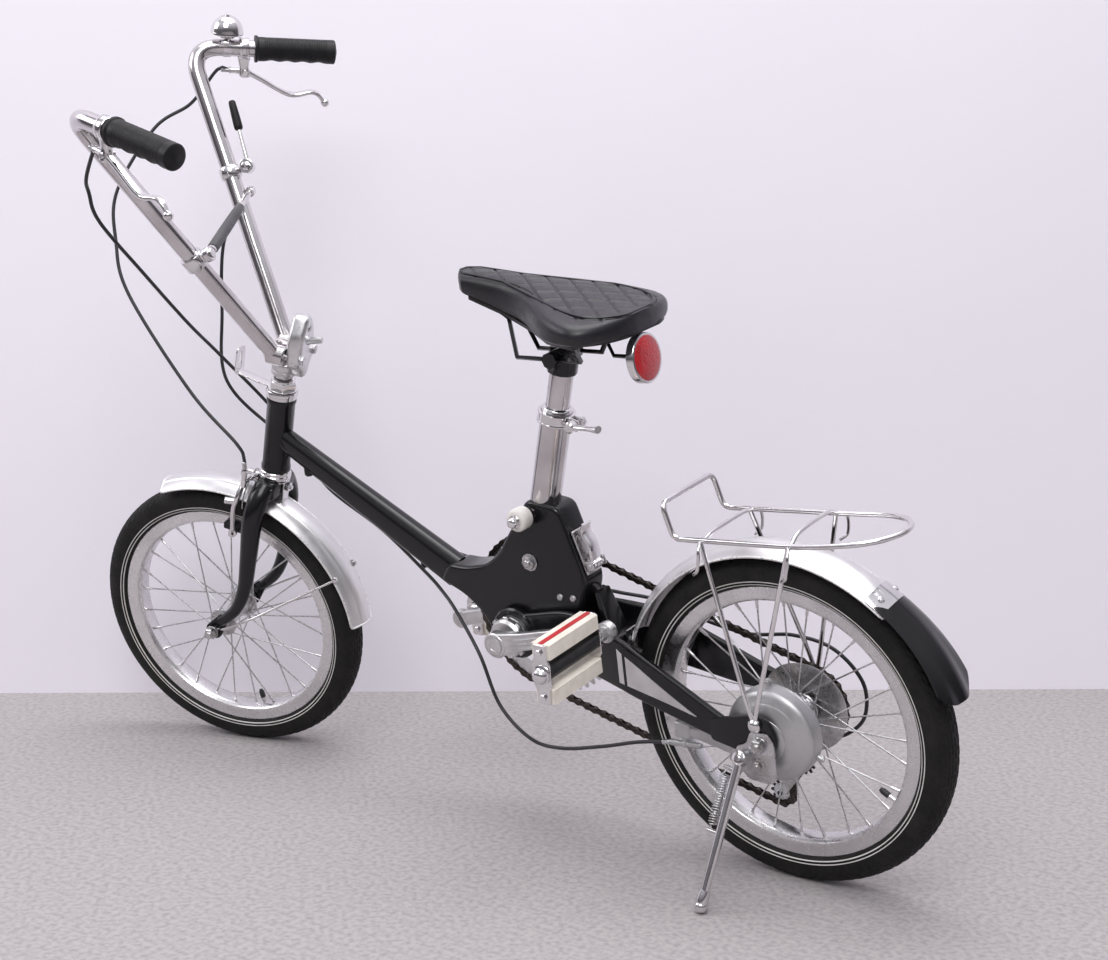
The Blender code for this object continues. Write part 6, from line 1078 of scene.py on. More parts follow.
def toothedDisc(centre, inner, root, tip, teeth, thickness):
    # the rim's radius rises from root to tip as a rounded wave, once for each tooth
    turn = np.linspace(0, 2 * np.pi, teeth * 10, endpoint=False)
    wave = 0.5 + 0.5 * np.cos(turn * teeth)
    outer = root + (tip - root) * smoothStep(0.25, 0.8, wave)
    ring = lambda r: centre[None, :] + np.stack((r * np.cos(turn), 0 * turn, r * np.sin(turn)), 1)
    flat = lambda r, side: ring(np.broadcast_to(r, turn.shape)) + yAxis * side * thickness / 2
    narrow = lambda side: ring(outer) + yAxis * side * thickness * 0.28
    return gridShape(np.stack((flat(inner, 1), flat(root - 0.001, 1), narrow(1), narrow(-1),
        flat(root - 0.001, -1), flat(inner, -1)), 1), True, True)


def ribbedBlock(centre, ahead, up, length):
    # a section of fine teeth on its outer sides, carried along the pedal
    a, b = pedalSize["block"][0] / 2, pedalSize["block"][1] / 2
    count = pedalSize["ribs"] * 2 + 1
    section = []
    for x, z, dx, dz, n in ((a, -b, 0, 1, b), (a, b, -1, 0, a), (-a, b, 0, -1, b), (-a, -b, 1, 0, a)):
        steps = np.linspace(0.06, 0.94, count * 2)
        low = (np.arange(count * 2) // 2) % 2
        for s, sunk in zip(steps, low):
            inset = pedalSize["rib"] * sunk
            section.append((x + dx * s * 2 * n - dz * inset, z + dz * s * 2 * n + dx * inset))
    section = np.array(section)
    rings = []
    for y, shrink in ((-length / 2, 0.94), (-length / 2 + 0.001, 1.0), (length / 2 - 0.001, 1.0),
            (length / 2, 0.94)):
        rings.append(centre + yAxis * y + section[:, :1] * shrink * ahead + section[:, 1:] * shrink * up)
    return loft(rings)


def makePedal(side, name):
    # two ribbed blocks between end plates round a barrel, turned by the pedal's tilt
    centre = crankPoint(side)
    tilt = math.radians(pedalSize["tilt"]) * side
    ahead = vec(math.cos(tilt), 0, math.sin(tilt))
    up = vec(-math.sin(tilt), 0, math.cos(tilt))
    length = pedalSize["outer"] - pedalSize["inner"]
    spot = centre + yAxis * side * (pedalSize["inner"] + pedalSize["outer"]) / 2
    blocks = [ribbedBlock(spot + ahead * fore * pedalSize["spread"], ahead, up, length - 0.006)
        for fore in (1, -1)]
    piece(name + "_blocks", blocks, cream, name, stance, (name,), sharp=30)
    top = 1 if ahead[2] > 0 else -1
    stripes = [block(spot + ahead * fore * (pedalSize["spread"] + pedalSize["block"][0] / 2 - 0.0002),
        (0.0016, length - 0.007, 0.0062), (ahead, yAxis, up), 0.0004) for fore in (top, -top)]
    piece(name + "_stripes", stripes, pedalRed, name)
    plates = []
    outline = rounds([(-0.036, -0.0085), (-0.02, -0.0085), (-0.012, -0.0125), (0.012, -0.0125),
        (0.02, -0.0085), (0.036, -0.0085), (0.036, 0.0085), (0.02, 0.0085), (0.012, 0.0125),
        (-0.012, 0.0125), (-0.02, 0.0085), (-0.036, 0.0085)], 0.003, 4)
    for end in (-1, 1):
        at = spot + yAxis * end * (length / 2 - 0.0015)
        plates.append(slab(outline, 0.0022, at, ahead, up, 0.0005))
        for fore in (-1, 1):
            plates.append(hexNut(at + ahead * fore * pedalSize["spread"] + yAxis * end * 0.0011,
                yAxis * end, 0.004, 0.0028))
    outer = centre + yAxis * side * pedalSize["outer"]
    plates += [lathe([(0.0108, -0.0006), (0.0112, 0), (0.0112, 0.0018), (0.0096, 0.0026), (0.0092, 0.005),
            (0.007, 0.0082), (0.0036, 0.01)], outer, yAxis * side, 32),
        lathe([(0.007, 0), (0.011, 0), (0.0116, 0.0008), (0.0116, 0.0034), (0.0098, 0.0042)],
            centre + yAxis * side * (pedalSize["inner"] - 0.004), yAxis * side, 32)]
    piece(name + "_plates", plates, chrome, name, sharp=35)
    barrel = [rod(centre + yAxis * side * (pedalSize["inner"] + 0.002),
        centre + yAxis * side * (pedalSize["outer"] - 0.002), 0.0098, 32)]
    piece(name + "_barrel", barrel, blackPlastic, name)


def makeCranks():
    # the arms, the chainring with five lofted spokes, the axles and the pedals
    for side, name in ((1, "crank_left"), (-1, "crank_right")):
        shapes = crankArm(side)
        foot = crankPoint(side)
        out = yAxis * side
        outer = crank["inner"] + crank["thick"]
        shapes += [rod(foot + out * (crank["inner"] + 0.008), foot + out * (pedalSize["outer"] - 0.008),
                0.0049, 24),
            hexNut(foot + out * (outer - 0.002), out, 0.008, pedalSize["inner"] - outer - 0.0026),
            lathe([(0.0112, 0), (0.0108, 0.0012), (0.006, 0.002), (0.0056, 0.0014)], bbCentre + out * outer,
                out, 40)]
        if side < 0:
            ringCentre = bbCentre + yAxis * crank["ringY"]
            shapes += [toothedDisc(ringCentre, *crank["ring"], crank["teeth"], 0.002),
                lathe([(0.019, 0), (0.019, 0.0205), (0.0176, 0.0216)], bbCentre - yAxis * 0.0368, -yAxis,
                    48)]
            for k in range(5):
                turn = math.radians(72 * k + 20)
                spoke = vec(math.cos(turn), 0, math.sin(turn))
                rings = [roundRect(ringCentre + spoke * r + yAxis * (-0.003 if r < 0.05 else -0.0012),
                    yAxis, np.cross(spoke, yAxis), 0.002, w, 0.0015, 3) for r, w in crank["spoke"]]
                shapes += [loft(rings),
                    lathe([(0.005, -0.0028), (0.005, 0.0024), (0.0036, 0.0034)],
                        ringCentre + spoke * 0.0845, -yAxis, 16)]
            shapes.append(rod(bbCentre - yAxis * 0.062, bbCentre + yAxis * 0.065, 0.0083, 32))
        piece(name + "_alloy", shapes, alloy, "crank", stance, (name,), sharp=38)
    for side, name in ((1, "pedal_left"), (-1, "pedal_right")):
        makePedal(side, name)
    print("cranks made")


# the chain, its sprockets and the changer's wheels

chainSize = {"y": -0.04, "pitch": 0.0127, "plateHalf": 0.004, "roller": 0.0038,
    "wheels": ((0.365, 0.258, 0.105), (0, 0.2, 0.048), (0.012, 0.122, -0.0165), (0.044, 0.078, 0.0165))}


def chainLoop():
    # arcs round each wheel joined by straight runs; a negative radius is run round the other way
    wheels = [(np.array((x, z)), r) for x, z, r in chainSize["wheels"]]
    count = len(wheels)

    def tangent(a, ra, b, rb):
        d = b - a
        turn = math.atan2(d[1], d[0]) + math.asin((ra - rb) / np.linalg.norm(d))
        side = np.array((math.sin(turn), -math.cos(turn)))
        return a + side * ra, b + side * rb

    points = []
    for k, (centre, radius) in enumerate(wheels):
        before, after = wheels[k - 1], wheels[(k + 1) % count]
        arrive = tangent(*before, centre, radius)[1] - centre
        leave = tangent(centre, radius, *after)[0] - centre
        first = math.atan2(arrive[1], arrive[0])
        sweep = (math.atan2(leave[1], leave[0]) - first) % (2 * math.pi)
        if radius < 0:
            sweep -= 2 * math.pi
        turn = first + sweep * np.linspace(0, 1, max(8, int(abs(sweep * radius) / 0.002)))
        points.append(centre + np.stack((np.cos(turn), np.sin(turn)), 1) * abs(radius))
    return evenLoop(np.concatenate(points), lambda length: round(length / chainSize["pitch"] / 2) * 2)


def makeChain():
    # figure-of-eight plates from pin to pin, every other pair set further out, over rollers
    pins = chainLoop()
    after = np.roll(pins, -1, 0)
    plates = []
    rollers = []
    half = chainSize["plateHalf"]
    for k, (a, b) in enumerate(zip(pins, after)):
        along = (b - a) / np.linalg.norm(b - a)
        up = np.array((-along[1], along[0]))
        arc = np.linspace(-np.pi / 2, np.pi / 2, 5)
        outline = [b + along * half * math.cos(t) + up * half * math.sin(t) for t in arc]
        outline += [(a + b) / 2 + up * half * 0.62]
        outline += [a - along * half * math.cos(t) - up * half * math.sin(t) for t in arc]
        outline += [(a + b) / 2 - up * half * 0.62]
        wide = 0.0029 if k % 2 else 0.0019
        for side in (1, -1):
            plates.append(slab(outline, 0.0009, yAxis * (chainSize["y"] + side * wide), xAxis, zAxis,
                0.0002))
        spot = vec(a[0], chainSize["y"], a[1])
        rollers += [rod(spot - yAxis * 0.0037, spot + yAxis * 0.0037, 0.0017, 6),
            rod(spot - yAxis * 0.0013, spot + yAxis * 0.0013, chainSize["roller"], 10)]
    piece("chain_links", plates + rollers, chainSteel, "rear_arm", stance, ("chain",), sharp=35)
    cogs = []
    for k, teeth in enumerate((24, 21, 19, 16)):
        radius = chainSize["pitch"] / (2 * math.sin(math.pi / teeth))
        middle = rearCentre + yAxis * (chainSize["y"] - 0.0055 * k)
        cogs.append(toothedDisc(middle, 0.0118, radius - 0.0036, radius + 0.0016, teeth, 0.0019))
    cogs.append(lathe([(0.0112, 0.0388), (0.024, 0.0388), (0.024, 0.058), (0.0112, 0.058)], rearCentre,
        -yAxis, 48, True))
    piece("sprocket_teeth", cogs, chainSteel, "freewheel", stance, ("freewheel",), sharp=35)
    print("chain made")


makeFrame()
makeArm()
makeFork()
makeSeatPost()
makeCranks()
makeChain()


# the saddle

saddle = {"nose": 0.403, "tail": 0.146, "noseTop": 0.709, "tailTop": 0.6695, "bulge": 0.006,
    "noseFoot": 0.69, "tailFoot": 0.6445, "half": 0.097, "columns": 280, "rows": 240, "quiltPitch": 0.033,
    "quiltDepth": 0.0023, "weltRadius": 0.0014, "topEdge": 0.5, "crown": 0.8, "squeeze": 0.985}


def saddleSteps():
    # nose to tail, closer together at both ends
    return (1 - np.cos(np.linspace(0, 1.0, saddle["columns"]) * np.pi)) / 2 * 0.996 + 0.002


def saddleHalf(t):
    # half the width: a rounded nose, a flare along an S curve, and a tail that closes as a squared oval
    nose = 0.025 * np.minimum(1, np.sqrt(np.maximum(t, 0) / 0.07))
    flare = 1 / (1 + np.exp(-11.5 * (t - 0.56)))
    tail = np.sqrt(np.maximum(0, 1 - np.maximum(0, (t - 0.8) / 0.2) ** 2.4))
    return (nose + (saddle["half"] - 0.025) * flare) * tail


def saddleTop(t):
    # a straight fall from nose to tail with half a sine's swell on it
    return saddle["noseTop"] + (saddle["tailTop"] - saddle["noseTop"]) * t \
        + saddle["bulge"] * np.sin(np.pi * np.minimum(1, 1.15 * t))


def saddleFoot(t):
    # falls along a quarter of a sine, then stays level
    fall = saddle["tailFoot"] - saddle["noseFoot"]
    return saddle["noseFoot"] + fall * np.sin(np.pi / 2 * np.clip(1.25 * t, 0, 1))


def saddlePoint(t, v):
    # t from nose to tail; v from -1 to 1 over the top, with the skirt rolling down to the foot at both ends
    half = saddleHalf(t) * saddle["squeeze"]
    y = half * np.sin(0.94 * v * np.pi / 2) / math.sin(0.47 * np.pi)
    roll = np.sqrt(np.maximum(0, 1 - saddle["crown"] * np.abs(v) ** 2.6))
    drop = (saddleTop(t) - saddleFoot(t)) * (1 - roll)
    x = saddle["nose"] - 0.002 - (saddle["nose"] - saddle["tail"] - 0.004) * t
    return np.stack(np.broadcast_arrays(x, y, saddleTop(t) - drop - 0.0012), -1)


def saddleSkin():
    # the top sinks along two families of slanting lines and swells between them; the skirt is smooth
    t, v = np.meshgrid(saddleSteps(), np.linspace(-1, 1, saddle["rows"]), indexing="ij")
    points = saddlePoint(t, v)
    du = np.gradient(points, axis=0)
    dv = np.gradient(points, axis=1)
    normal = np.cross(dv, du)
    normal /= np.maximum(np.linalg.norm(normal, axis=2), 1e-12)[..., None]
    normal *= np.sign(normal[..., 2:].mean())
    edge = smoothStep(saddle["topEdge"] + 0.1, saddle["topEdge"] - 0.02, np.abs(v))
    ends = smoothStep(0.02, 0.08, t) * smoothStep(0.985, 0.93, t)
    x, y = points[..., 0], points[..., 1]
    first = ((x * 0.86 + y) / saddle["quiltPitch"]) % 1
    second = ((x * 0.86 - y) / saddle["quiltPitch"]) % 1
    near = np.minimum(np.minimum(first, 1 - first), np.minimum(second, 1 - second)) * saddle["quiltPitch"]
    groove = np.exp(-(near / 0.0016) ** 2) + 0.35 * np.exp(-(near / 0.005) ** 2)
    welt = np.exp(-((np.abs(v) - saddle["topEdge"] - 0.02) / 0.012) ** 2) * 0.0012
    raised = (-groove * saddle["quiltDepth"] / 1.35 * edge + 0.0006 * edge) * ends - welt
    return points + normal * raised[..., None]


def makeSaddle():
    # the quilted skin is closed below; the welt follows its edge and the pan lies inside
    skin = saddleSkin()
    t = saddleSteps()
    half = saddleHalf(t) * saddle["squeeze"]
    x = skin[:, 0, 0]
    foot = saddleFoot(t)
    rows = []
    for share, rise in ((0.985, 0.0052), (0.945, 0.0022), (0.9, 0.0014)):
        rows.append(np.stack((x, half * share, foot + rise), 1))
    right = np.stack(rows, 1)
    left = right[:, ::-1] * (1, -1, 1)
    ring = np.concatenate((skin, right, left), 1)
    cover = piece("saddle_cover", [gridShape(ring, False, True, True)], vinyl, "seat_post", stance,
        ("saddle_cushion",), sharp=75)
    # the welt follows a rounded rectangle on the skin's own two directions
    edge = saddle["topEdge"] + 0.02
    around = roundRect((0, 0, 0), xAxis, yAxis, 0.5, 1.0, 0.3, 30)[:, :2]
    ts = 0.5 + around[:, 0] * 0.965
    vs = around[:, 1] * edge
    loop = evenLoop(saddlePoint(ts, vs), lambda length: 460) + zAxis * 0.0004
    piece("saddle_welt", [tube(loop, saddle["weltRadius"], 10, True)], vinyl, "seat_post")
    base = []
    t = np.linspace(0.03, 0.985, 60)
    half = saddleHalf(t) * 0.84 * saddle["squeeze"]
    x = saddle["nose"] - (saddle["nose"] - saddle["tail"]) * t
    foot = saddleFoot(t) - 0.0012
    rim = np.stack((np.concatenate((x, x[::-1])), np.concatenate((half, -half[::-1])),
        np.concatenate((foot, foot[::-1]))), 1)
    inner = rim * (1, 0.93, 1)
    base.append(gridShape(np.stack((rim + zAxis * 0.0035, rim + zAxis * 0.0004, inner + zAxis * 0.0004,
        inner + zAxis * 0.004), 1), True, False))
    pan = []
    for share in np.linspace(-0.93, 0.93, 15):
        pan.append(np.stack((x, half * share, foot + 0.0042), 1))
    base.append(gridShape(np.stack(pan, 1), False, False))
    piece("saddle_pan", base, blackPlastic, "seat_post", sharp=50)
    print("saddle made")


# what the saddle stands on, and the reflector

lens = {"centre": vec(0.1518, 0, 0.613), "tilt": 6, "radius": 0.0262}


def makeSaddleBase():
    # the lens is a quarter of an oval turned round its axis, inside a stepped rim
    refined("saddle_base", blackPaint, "seat_post", 40)
    ring = lens["centre"]
    tilt = math.radians(lens["tilt"])
    r = lens["radius"]
    axis = vec(-math.cos(tilt), 0, math.sin(tilt))
    rim = [(r, 0.0036), (0.028, 0.0032), (0.0287, 0.002), (0.0287, -0.006), (0.0278, -0.0068), (0, -0.007)]
    piece("reflector_rim", [lathe(rim, ring, axis, 64)], chrome, "seat_post", sharp=40)
    dome = [(r * math.sin(a), 0.003 + 0.003 * math.cos(a)) for a in np.linspace(0.1, np.pi / 2, 14)]
    dome = [(0, 0.006)] + dome + [(r, 0.0022)]
    piece("reflector_lens", [lathe(dome, ring, axis, 64)], redLens, "seat_post", stance, ("reflector",),
        sharp=60)
    print("saddle base and reflector made")


# the bars, their grips, and what is clamped to them

bars = {"radius": 0.0111, "bend": 0.045, "gripLength": 0.105, "rings": 46, "ringDepth": 0.0005,
    "scallops": 4, "scallopDepth": 0.0016, "mountAt": 0.176, "mountHalf": 0.021}
barEnds = {side: (vec(0.173, 0.0045, 0.02 * side), vec(0.491, 0.228, 0.168 * side),
    vec(0.4993, 0.0567, 0.252 * side)) for side in (1, -1)}


def barPath(side):
    # the bar's foot, bend and tip
    return [atHead(*p) for p in barEnds[side]]


def onBar(side, t):
    # the point at a share t of the way from foot to bend
    a, b, _ = barPath(side)
    return a + (b - a) * t


def barAxes(side):
    # along the grip towards its tip, down square to it, and across both
    _, b, c = barPath(side)
    along = unit(c - b)
    under = -unit(headUp - along * (headUp @ along))
    return c, along, under, np.cross(along, under)


def gripSkin(side):
    # rings run round the grip, and shallow finger hollows are pressed into its underside
    tip, along, under, across = barAxes(side)
    length = bars["gripLength"]
    s = np.linspace(0, length + 0.0034, 420)
    turn = np.linspace(0, 2 * np.pi, 64, endpoint=False)
    s, turn = np.meshgrid(s, turn, indexing="ij")
    body = smoothStep(0.01, 0.014, s) * (1 - smoothStep(length - 0.012, length - 0.008, s))
    rings = 0.5 + 0.5 * np.cos(2 * np.pi * bars["rings"] * s / length)
    down = np.clip(np.cos(turn), 0, 1) ** 1.5
    fingers = 0.5 - 0.5 * np.cos(2 * np.pi * bars["scallops"] * (s - 0.012) / (length - 0.022))
    radius = 0.0158 - bars["ringDepth"] * smoothStep(0.55, 0.95, rings) * body
    radius = radius - bars["scallopDepth"] * fingers * down * body
    radius = radius + 0.0018 * (1 - smoothStep(0.003, 0.0052, s))
    end = smoothStep(length - 0.0015, length + 0.0034, s)
    radius = radius * np.sqrt(np.maximum(0.0004, 1 - (end * 0.98) ** 2.6))
    start = tip - along * length
    ring = under * np.cos(turn)[..., None] + across * np.sin(turn)[..., None]
    points = start + along * s[..., None] + ring * radius[..., None]
    inner = start + (under * np.cos(turn[0])[:, None] + across * np.sin(turn[0])[:, None]) * 0.0112
    return gridShape(np.concatenate((inner[None], points)), False, True, True)


brakeLever = {"back": 0.119, "drop": 0.03, "ahead": 0.002,
    "curve": ((0.02, 0.01), (0.06, 0.03), (0.092, 0.026), (0.108, 0.04))}


def leverPlace(side):
    # its clamp lies back along the grip from the tip, and its pivot below the clamp
    tip, along, under, across = barAxes(side)
    spot = tip - along * brakeLever["back"]
    pivot = spot + under * brakeLever["drop"] + along * brakeLever["ahead"]
    return spot, pivot, along, under, across


def makeBars():
    # tubes along rounded paths; the brake levers are lofted along smooth curves
    for side, name in ((1, "left"), (-1, "right")):
        path = roundedPath(barPath(side), bars["bend"], 26)
        eye = [(0.0048, -0.0078), (0.012, -0.0078), (0.0135, -0.0064), (0.0135, 0.0148), (0.012, 0.016),
            (0.0048, 0.016)]
        shapes = [tube(path, bars["radius"], 40),
            lathe(eye, atHead(bars["mountAt"], 0, bars["mountHalf"] * side), headAhead, 48, True)]
        piece(name + "_bar_tube", shapes, darkChrome, name + "_bar", stemAt, (name + "_bar",), sharp=35)
        piece(name + "_grip_rubber", [gripSkin(side)], gripRubber, name + "_bar", stemAt, (name + "_grip",),
            sharp=60)
        spot, pivot, along, under, across = leverPlace(side)
        band = bothWays([(0.0112, -0.0066), (0.0138, -0.0066), (0.0146, -0.0056), (0.0146, -0.003),
            (0.0138, -0.0024)])
        mount = [lathe(band, spot, along, 48, True)]
        rings = []
        for t in np.linspace(0, 1, 14):
            centre = spot + under * (0.012 + (0.038 - 0.012) * t) + along * 0.0016 * t
            a = np.interp(t, (0, 0.45, 1), (0.0084, 0.0066, 0.0078)) * (1 - 0.25 * smoothStep(0.9, 1.0, t))
            b = np.interp(t, (0, 0.45, 1), (0.0063, 0.0058, 0.009)) * (1 - 0.25 * smoothStep(0.9, 1.0, t))
            rings.append(roundRect(centre, along, across, a, b, min(a, b) * 0.7, 5))
        mount.append(loft(rings))
        horn = [(0.0046, 0), (0.0046, 0.006), (0.0042, 0.0072), (0.0042, 0.015), (0.005, 0.0152),
            (0.005, 0.017), (0.0042, 0.0172), (0.0042, 0.02)]
        mount += [lathe([(r, h + 0.004) for r, h in horn[:-1]] + [(0.004, 0.02)], pivot, -along, 28),
            rod(pivot - across * 0.0098, pivot + across * 0.0098, 0.0034, 24, chamfer=0.0006)]
        mount.append(hexNut(spot + across * 0.0125 + under * 0.01, across, 0.004, 0.003))
        piece(name + "_mount_alloy", mount, chrome, name + "_bar", stemAt, (name + "_lever_mount",),
            sharp=40)
        path = [pivot] + [pivot + along * a + under * u for a, u in brakeLever["curve"]]
        blade = smoothPath(path, 0.003)
        reach = np.concatenate(([0], np.cumsum(np.linalg.norm(np.diff(blade, axis=0), axis=1))))
        t = reach / reach[-1]
        rings = []
        for p, d, at in zip(blade, headings(blade), t):
            wide = np.interp(at, (0, 0.2, 0.5, 0.8, 1.0), (0.0056, 0.0058, 0.0062, 0.0054, 0.0032))
            thick = np.interp(at, (0, 0.2, 0.8, 1.0), (0.0034, 0.003, 0.0027, 0.0028))
            rings.append(roundRect(p, across, np.cross(d, across), wide, thick, thick * 0.9, 4))
        ball = [(0.006 * math.sin(a), -0.006 * math.cos(a)) for a in np.linspace(0, np.pi, 14)]
        lever = [loft(rings),
            lathe(ball[1:-1], path[-1], across, 28),
            lathe(bothWays([(0.005, -0.0052), (0.006, -0.0046)]), pivot, across, 32)]
        piece(name + "_lever_blade", lever, chrome, name + "_brake_lever", stemAt, (name + "_brake_lever",),
            sharp=45)
    print("bars made")


stemSize = {"neck": 0.0109, "thick": 0.0222, "behind": 0.0189}


def makeStem():
    # a turned neck and collar under a body that is an outline with curved edges
    shapes = [rod(atHead(0.035), atHead(0.146), stemSize["neck"], 40)]
    collar = [(0.0111, 0.1425), (0.0158, 0.1425), (0.0165, 0.1434), (0.0165, 0.1478), (0.0156, 0.1486),
        (0.0156, 0.15), (0.0165, 0.1508), (0.0165, 0.158), (0.015, 0.1592), (0.0111, 0.1592)]
    shapes.append(lathe(collar, atHead(0), headUp, 56, True))
    plan = [(0.144, -0.007), (0.144, 0.007), (0.156, 0.012), (0.164, 0.02), (0.17, 0.0245), (0.19, 0.0252),
        (0.206, 0.022), (0.22, 0.014), (0.23, 0.008), (0.2312, 0), (0.23, -0.008), (0.22, -0.014),
        (0.206, -0.022), (0.19, -0.0252), (0.17, -0.0245), (0.164, -0.02), (0.156, -0.012)]
    plan = rounds([(y, s) for s, y in plan], 0.006, 4)
    shapes += [pillow(plan, stemSize["thick"], atHead(0, -stemSize["behind"]), yAxis, headUp, 0.006, 6),
        rod(atHead(0.196, -0.026), atHead(0.202, -0.048), 0.0048, 28, 0.0044, 0.0006),
        rod(atHead(0.1955, -0.0245), atHead(0.1975, -0.0318), 0.0068, 28, 0.0058)]
    piece("stem_casting", shapes, alloy, "steering", stemAt, ("stem_head",), sharp=40)
    bright = []
    for side in (1, -1):
        spot = atHead(bars["mountAt"], 0, bars["mountHalf"] * side)
        bright += [rod(spot - headAhead * 0.0115, spot + headAhead * 0.0208, 0.0045, 28),
            hexNut(spot - headAhead * 0.0284, -headAhead, 0.0066, 0.0052),
            lathe([(0.0084, 0), (0.0084, 0.001), (0.0076, 0.0014)], spot - headAhead * 0.0282, -headAhead,
                32),
            hexNut(spot + headAhead * 0.0164, headAhead, 0.0064, 0.004)]
    bolt = atHead(0.214, -0.029)
    bright.append(lathe([(0.005, 0), (0.005, 0.0018), (0.004, 0.0026)], bolt, -headAhead, 24))
    piece("stem_bolts", bright, steel, "steering", stemAt, sharp=35)
    print("stem made")


bell = {"back": 0.141, "strap": 0.001, "neck": 0.0075}


def makeBell():
    # a turned dome over its base and strap, with a curved thumb lever
    tip, along, under, across = barAxes(-1)
    up = -under  # the bell stands on top of the right bar
    spot = tip - along * bell["back"]
    foot = spot + up * (bars["radius"] + bell["strap"] + bell["neck"])
    curve = [(0.001, 0.0246), (0.003, 0.0243), (0.0036, 0.0226), (0.006, 0.0228), (0.01, 0.0212),
        (0.014, 0.0184), (0.0174, 0.0142), (0.0196, 0.0096), (0.0208, 0.0052), (0.0213, 0.003),
        (0.0218, 0.002), (0.0218, 0.0006), (0.02, 0)]
    dome = smoothPath([(r, h, 0) for r, h in curve[3:10]], 0.0012)[:, :2]
    profile = curve[:3] + [tuple(p) for p in dome] + curve[10:]
    shapes = [lathe(profile, foot, up, 64)]
    base = [(0.009, -0.0032), (0.01, -0.0026), (0.01, 0.0002), (0.006, 0.0004)]
    shapes.append(lathe(base, foot, up, 32))
    strap = [(0.0114, -0.005), (0.0124, -0.005), (0.0124, 0.005), (0.0114, 0.005)]
    shapes += [lathe(strap, spot, along, 40, True), rod(foot - up * 0.0076, foot, 0.0052, 24)]
    piece("bell_dome", shapes, chrome, "right_bar", stemAt, ("bell",), sharp=45)
    ring = foot - up * 0.0042
    blade = smoothPath([ring - across * 0.009, ring - across * 0.02 - along * 0.002,
        ring - across * 0.031 - along * 0.004], 0.002)
    lever = [lathe([(0.0056, -0.001), (0.01, -0.001), (0.01, 0.001), (0.0056, 0.001)], ring, up, 36, True),
        tube(blade, 0.0022, 14, across=up, oval=1.6),
        lathe([(0.004, -0.0016), (0.0054, -0.001), (0.0054, 0.0012), (0.004, 0.0018)],
            ring - across * 0.03 - along * 0.0038, up, 28)]
    piece("bell_thumb", lever, chrome, "bell_lever", stemAt, ("bell_lever",), sharp=45)
    print("bell made")


shifter = {"at": 0.575, "rise": 0.0246, "beside": 0.005, "lever": 0.09, "lift": 0.006}


def makeShifter():
    # turned parts square to the bar, and a lever that lies up along it
    a, b, _ = barPath(-1)
    along = unit(b - a)
    spot = onBar(-1, shifter["at"])
    out = unit(-headAhead + along * (headAhead @ along))
    side = np.cross(along, out)
    side = side if side[1] < 0 else -side
    hub = spot + out * shifter["rise"]
    foot = hub + side * shifter["beside"]
    tip = foot + along * shifter["lever"] + out * shifter["lift"]
    band = bothWays([(0.0112, -0.0075), (0.0136, -0.0075), (0.0143, -0.0066)])
    clamp = [lathe(band, spot, along, 48, True),
        block(spot + out * 0.0172, (0.01, 0.006, 0.011), (side, out, along), 0.0012),
        lathe([(0.0086, -0.008), (0.0095, -0.0072), (0.0095, 0.0012), (0.0084, 0.002)], hub, side, 40),
        hexNut(hub - side * 0.0078, -side, 0.0058, 0.0034)]
    barrel = spot + side * 0.0171
    clamp += [lathe([(0.003, 0.006), (0.0042, 0.0052), (0.0042, -0.006), (0.0036, -0.0066),
            (0.0036, -0.012)], barrel, along, 24),
        block(spot + side * 0.0145, (0.005, 0.008, 0.006), (side, along, out), 0.0008)]
    lever = [lathe(bothWays([(0.007, -0.0024), (0.0084, -0.0016)]), foot, side, 36),
        rod(foot, foot + (tip - foot) * 0.62, 0.0034, 20, 0.0024)]
    length = np.linalg.norm(tip - foot)
    rubber = [(0.0036, 0.56), (0.0054, 0.575), (0.0058, 0.62), (0.0056, 0.75), (0.005, 0.9),
        (0.0047, 0.975), (0.0034, 1.0)]
    return clamp, lever, lathe([(r, h * length) for r, h in rubber], foot, tip - foot, 32), along, barrel


stayRod = {"leftAt": 0.42, "rightAt": 0.49, "rise": 0.0226, "hookRise": 0.0156}


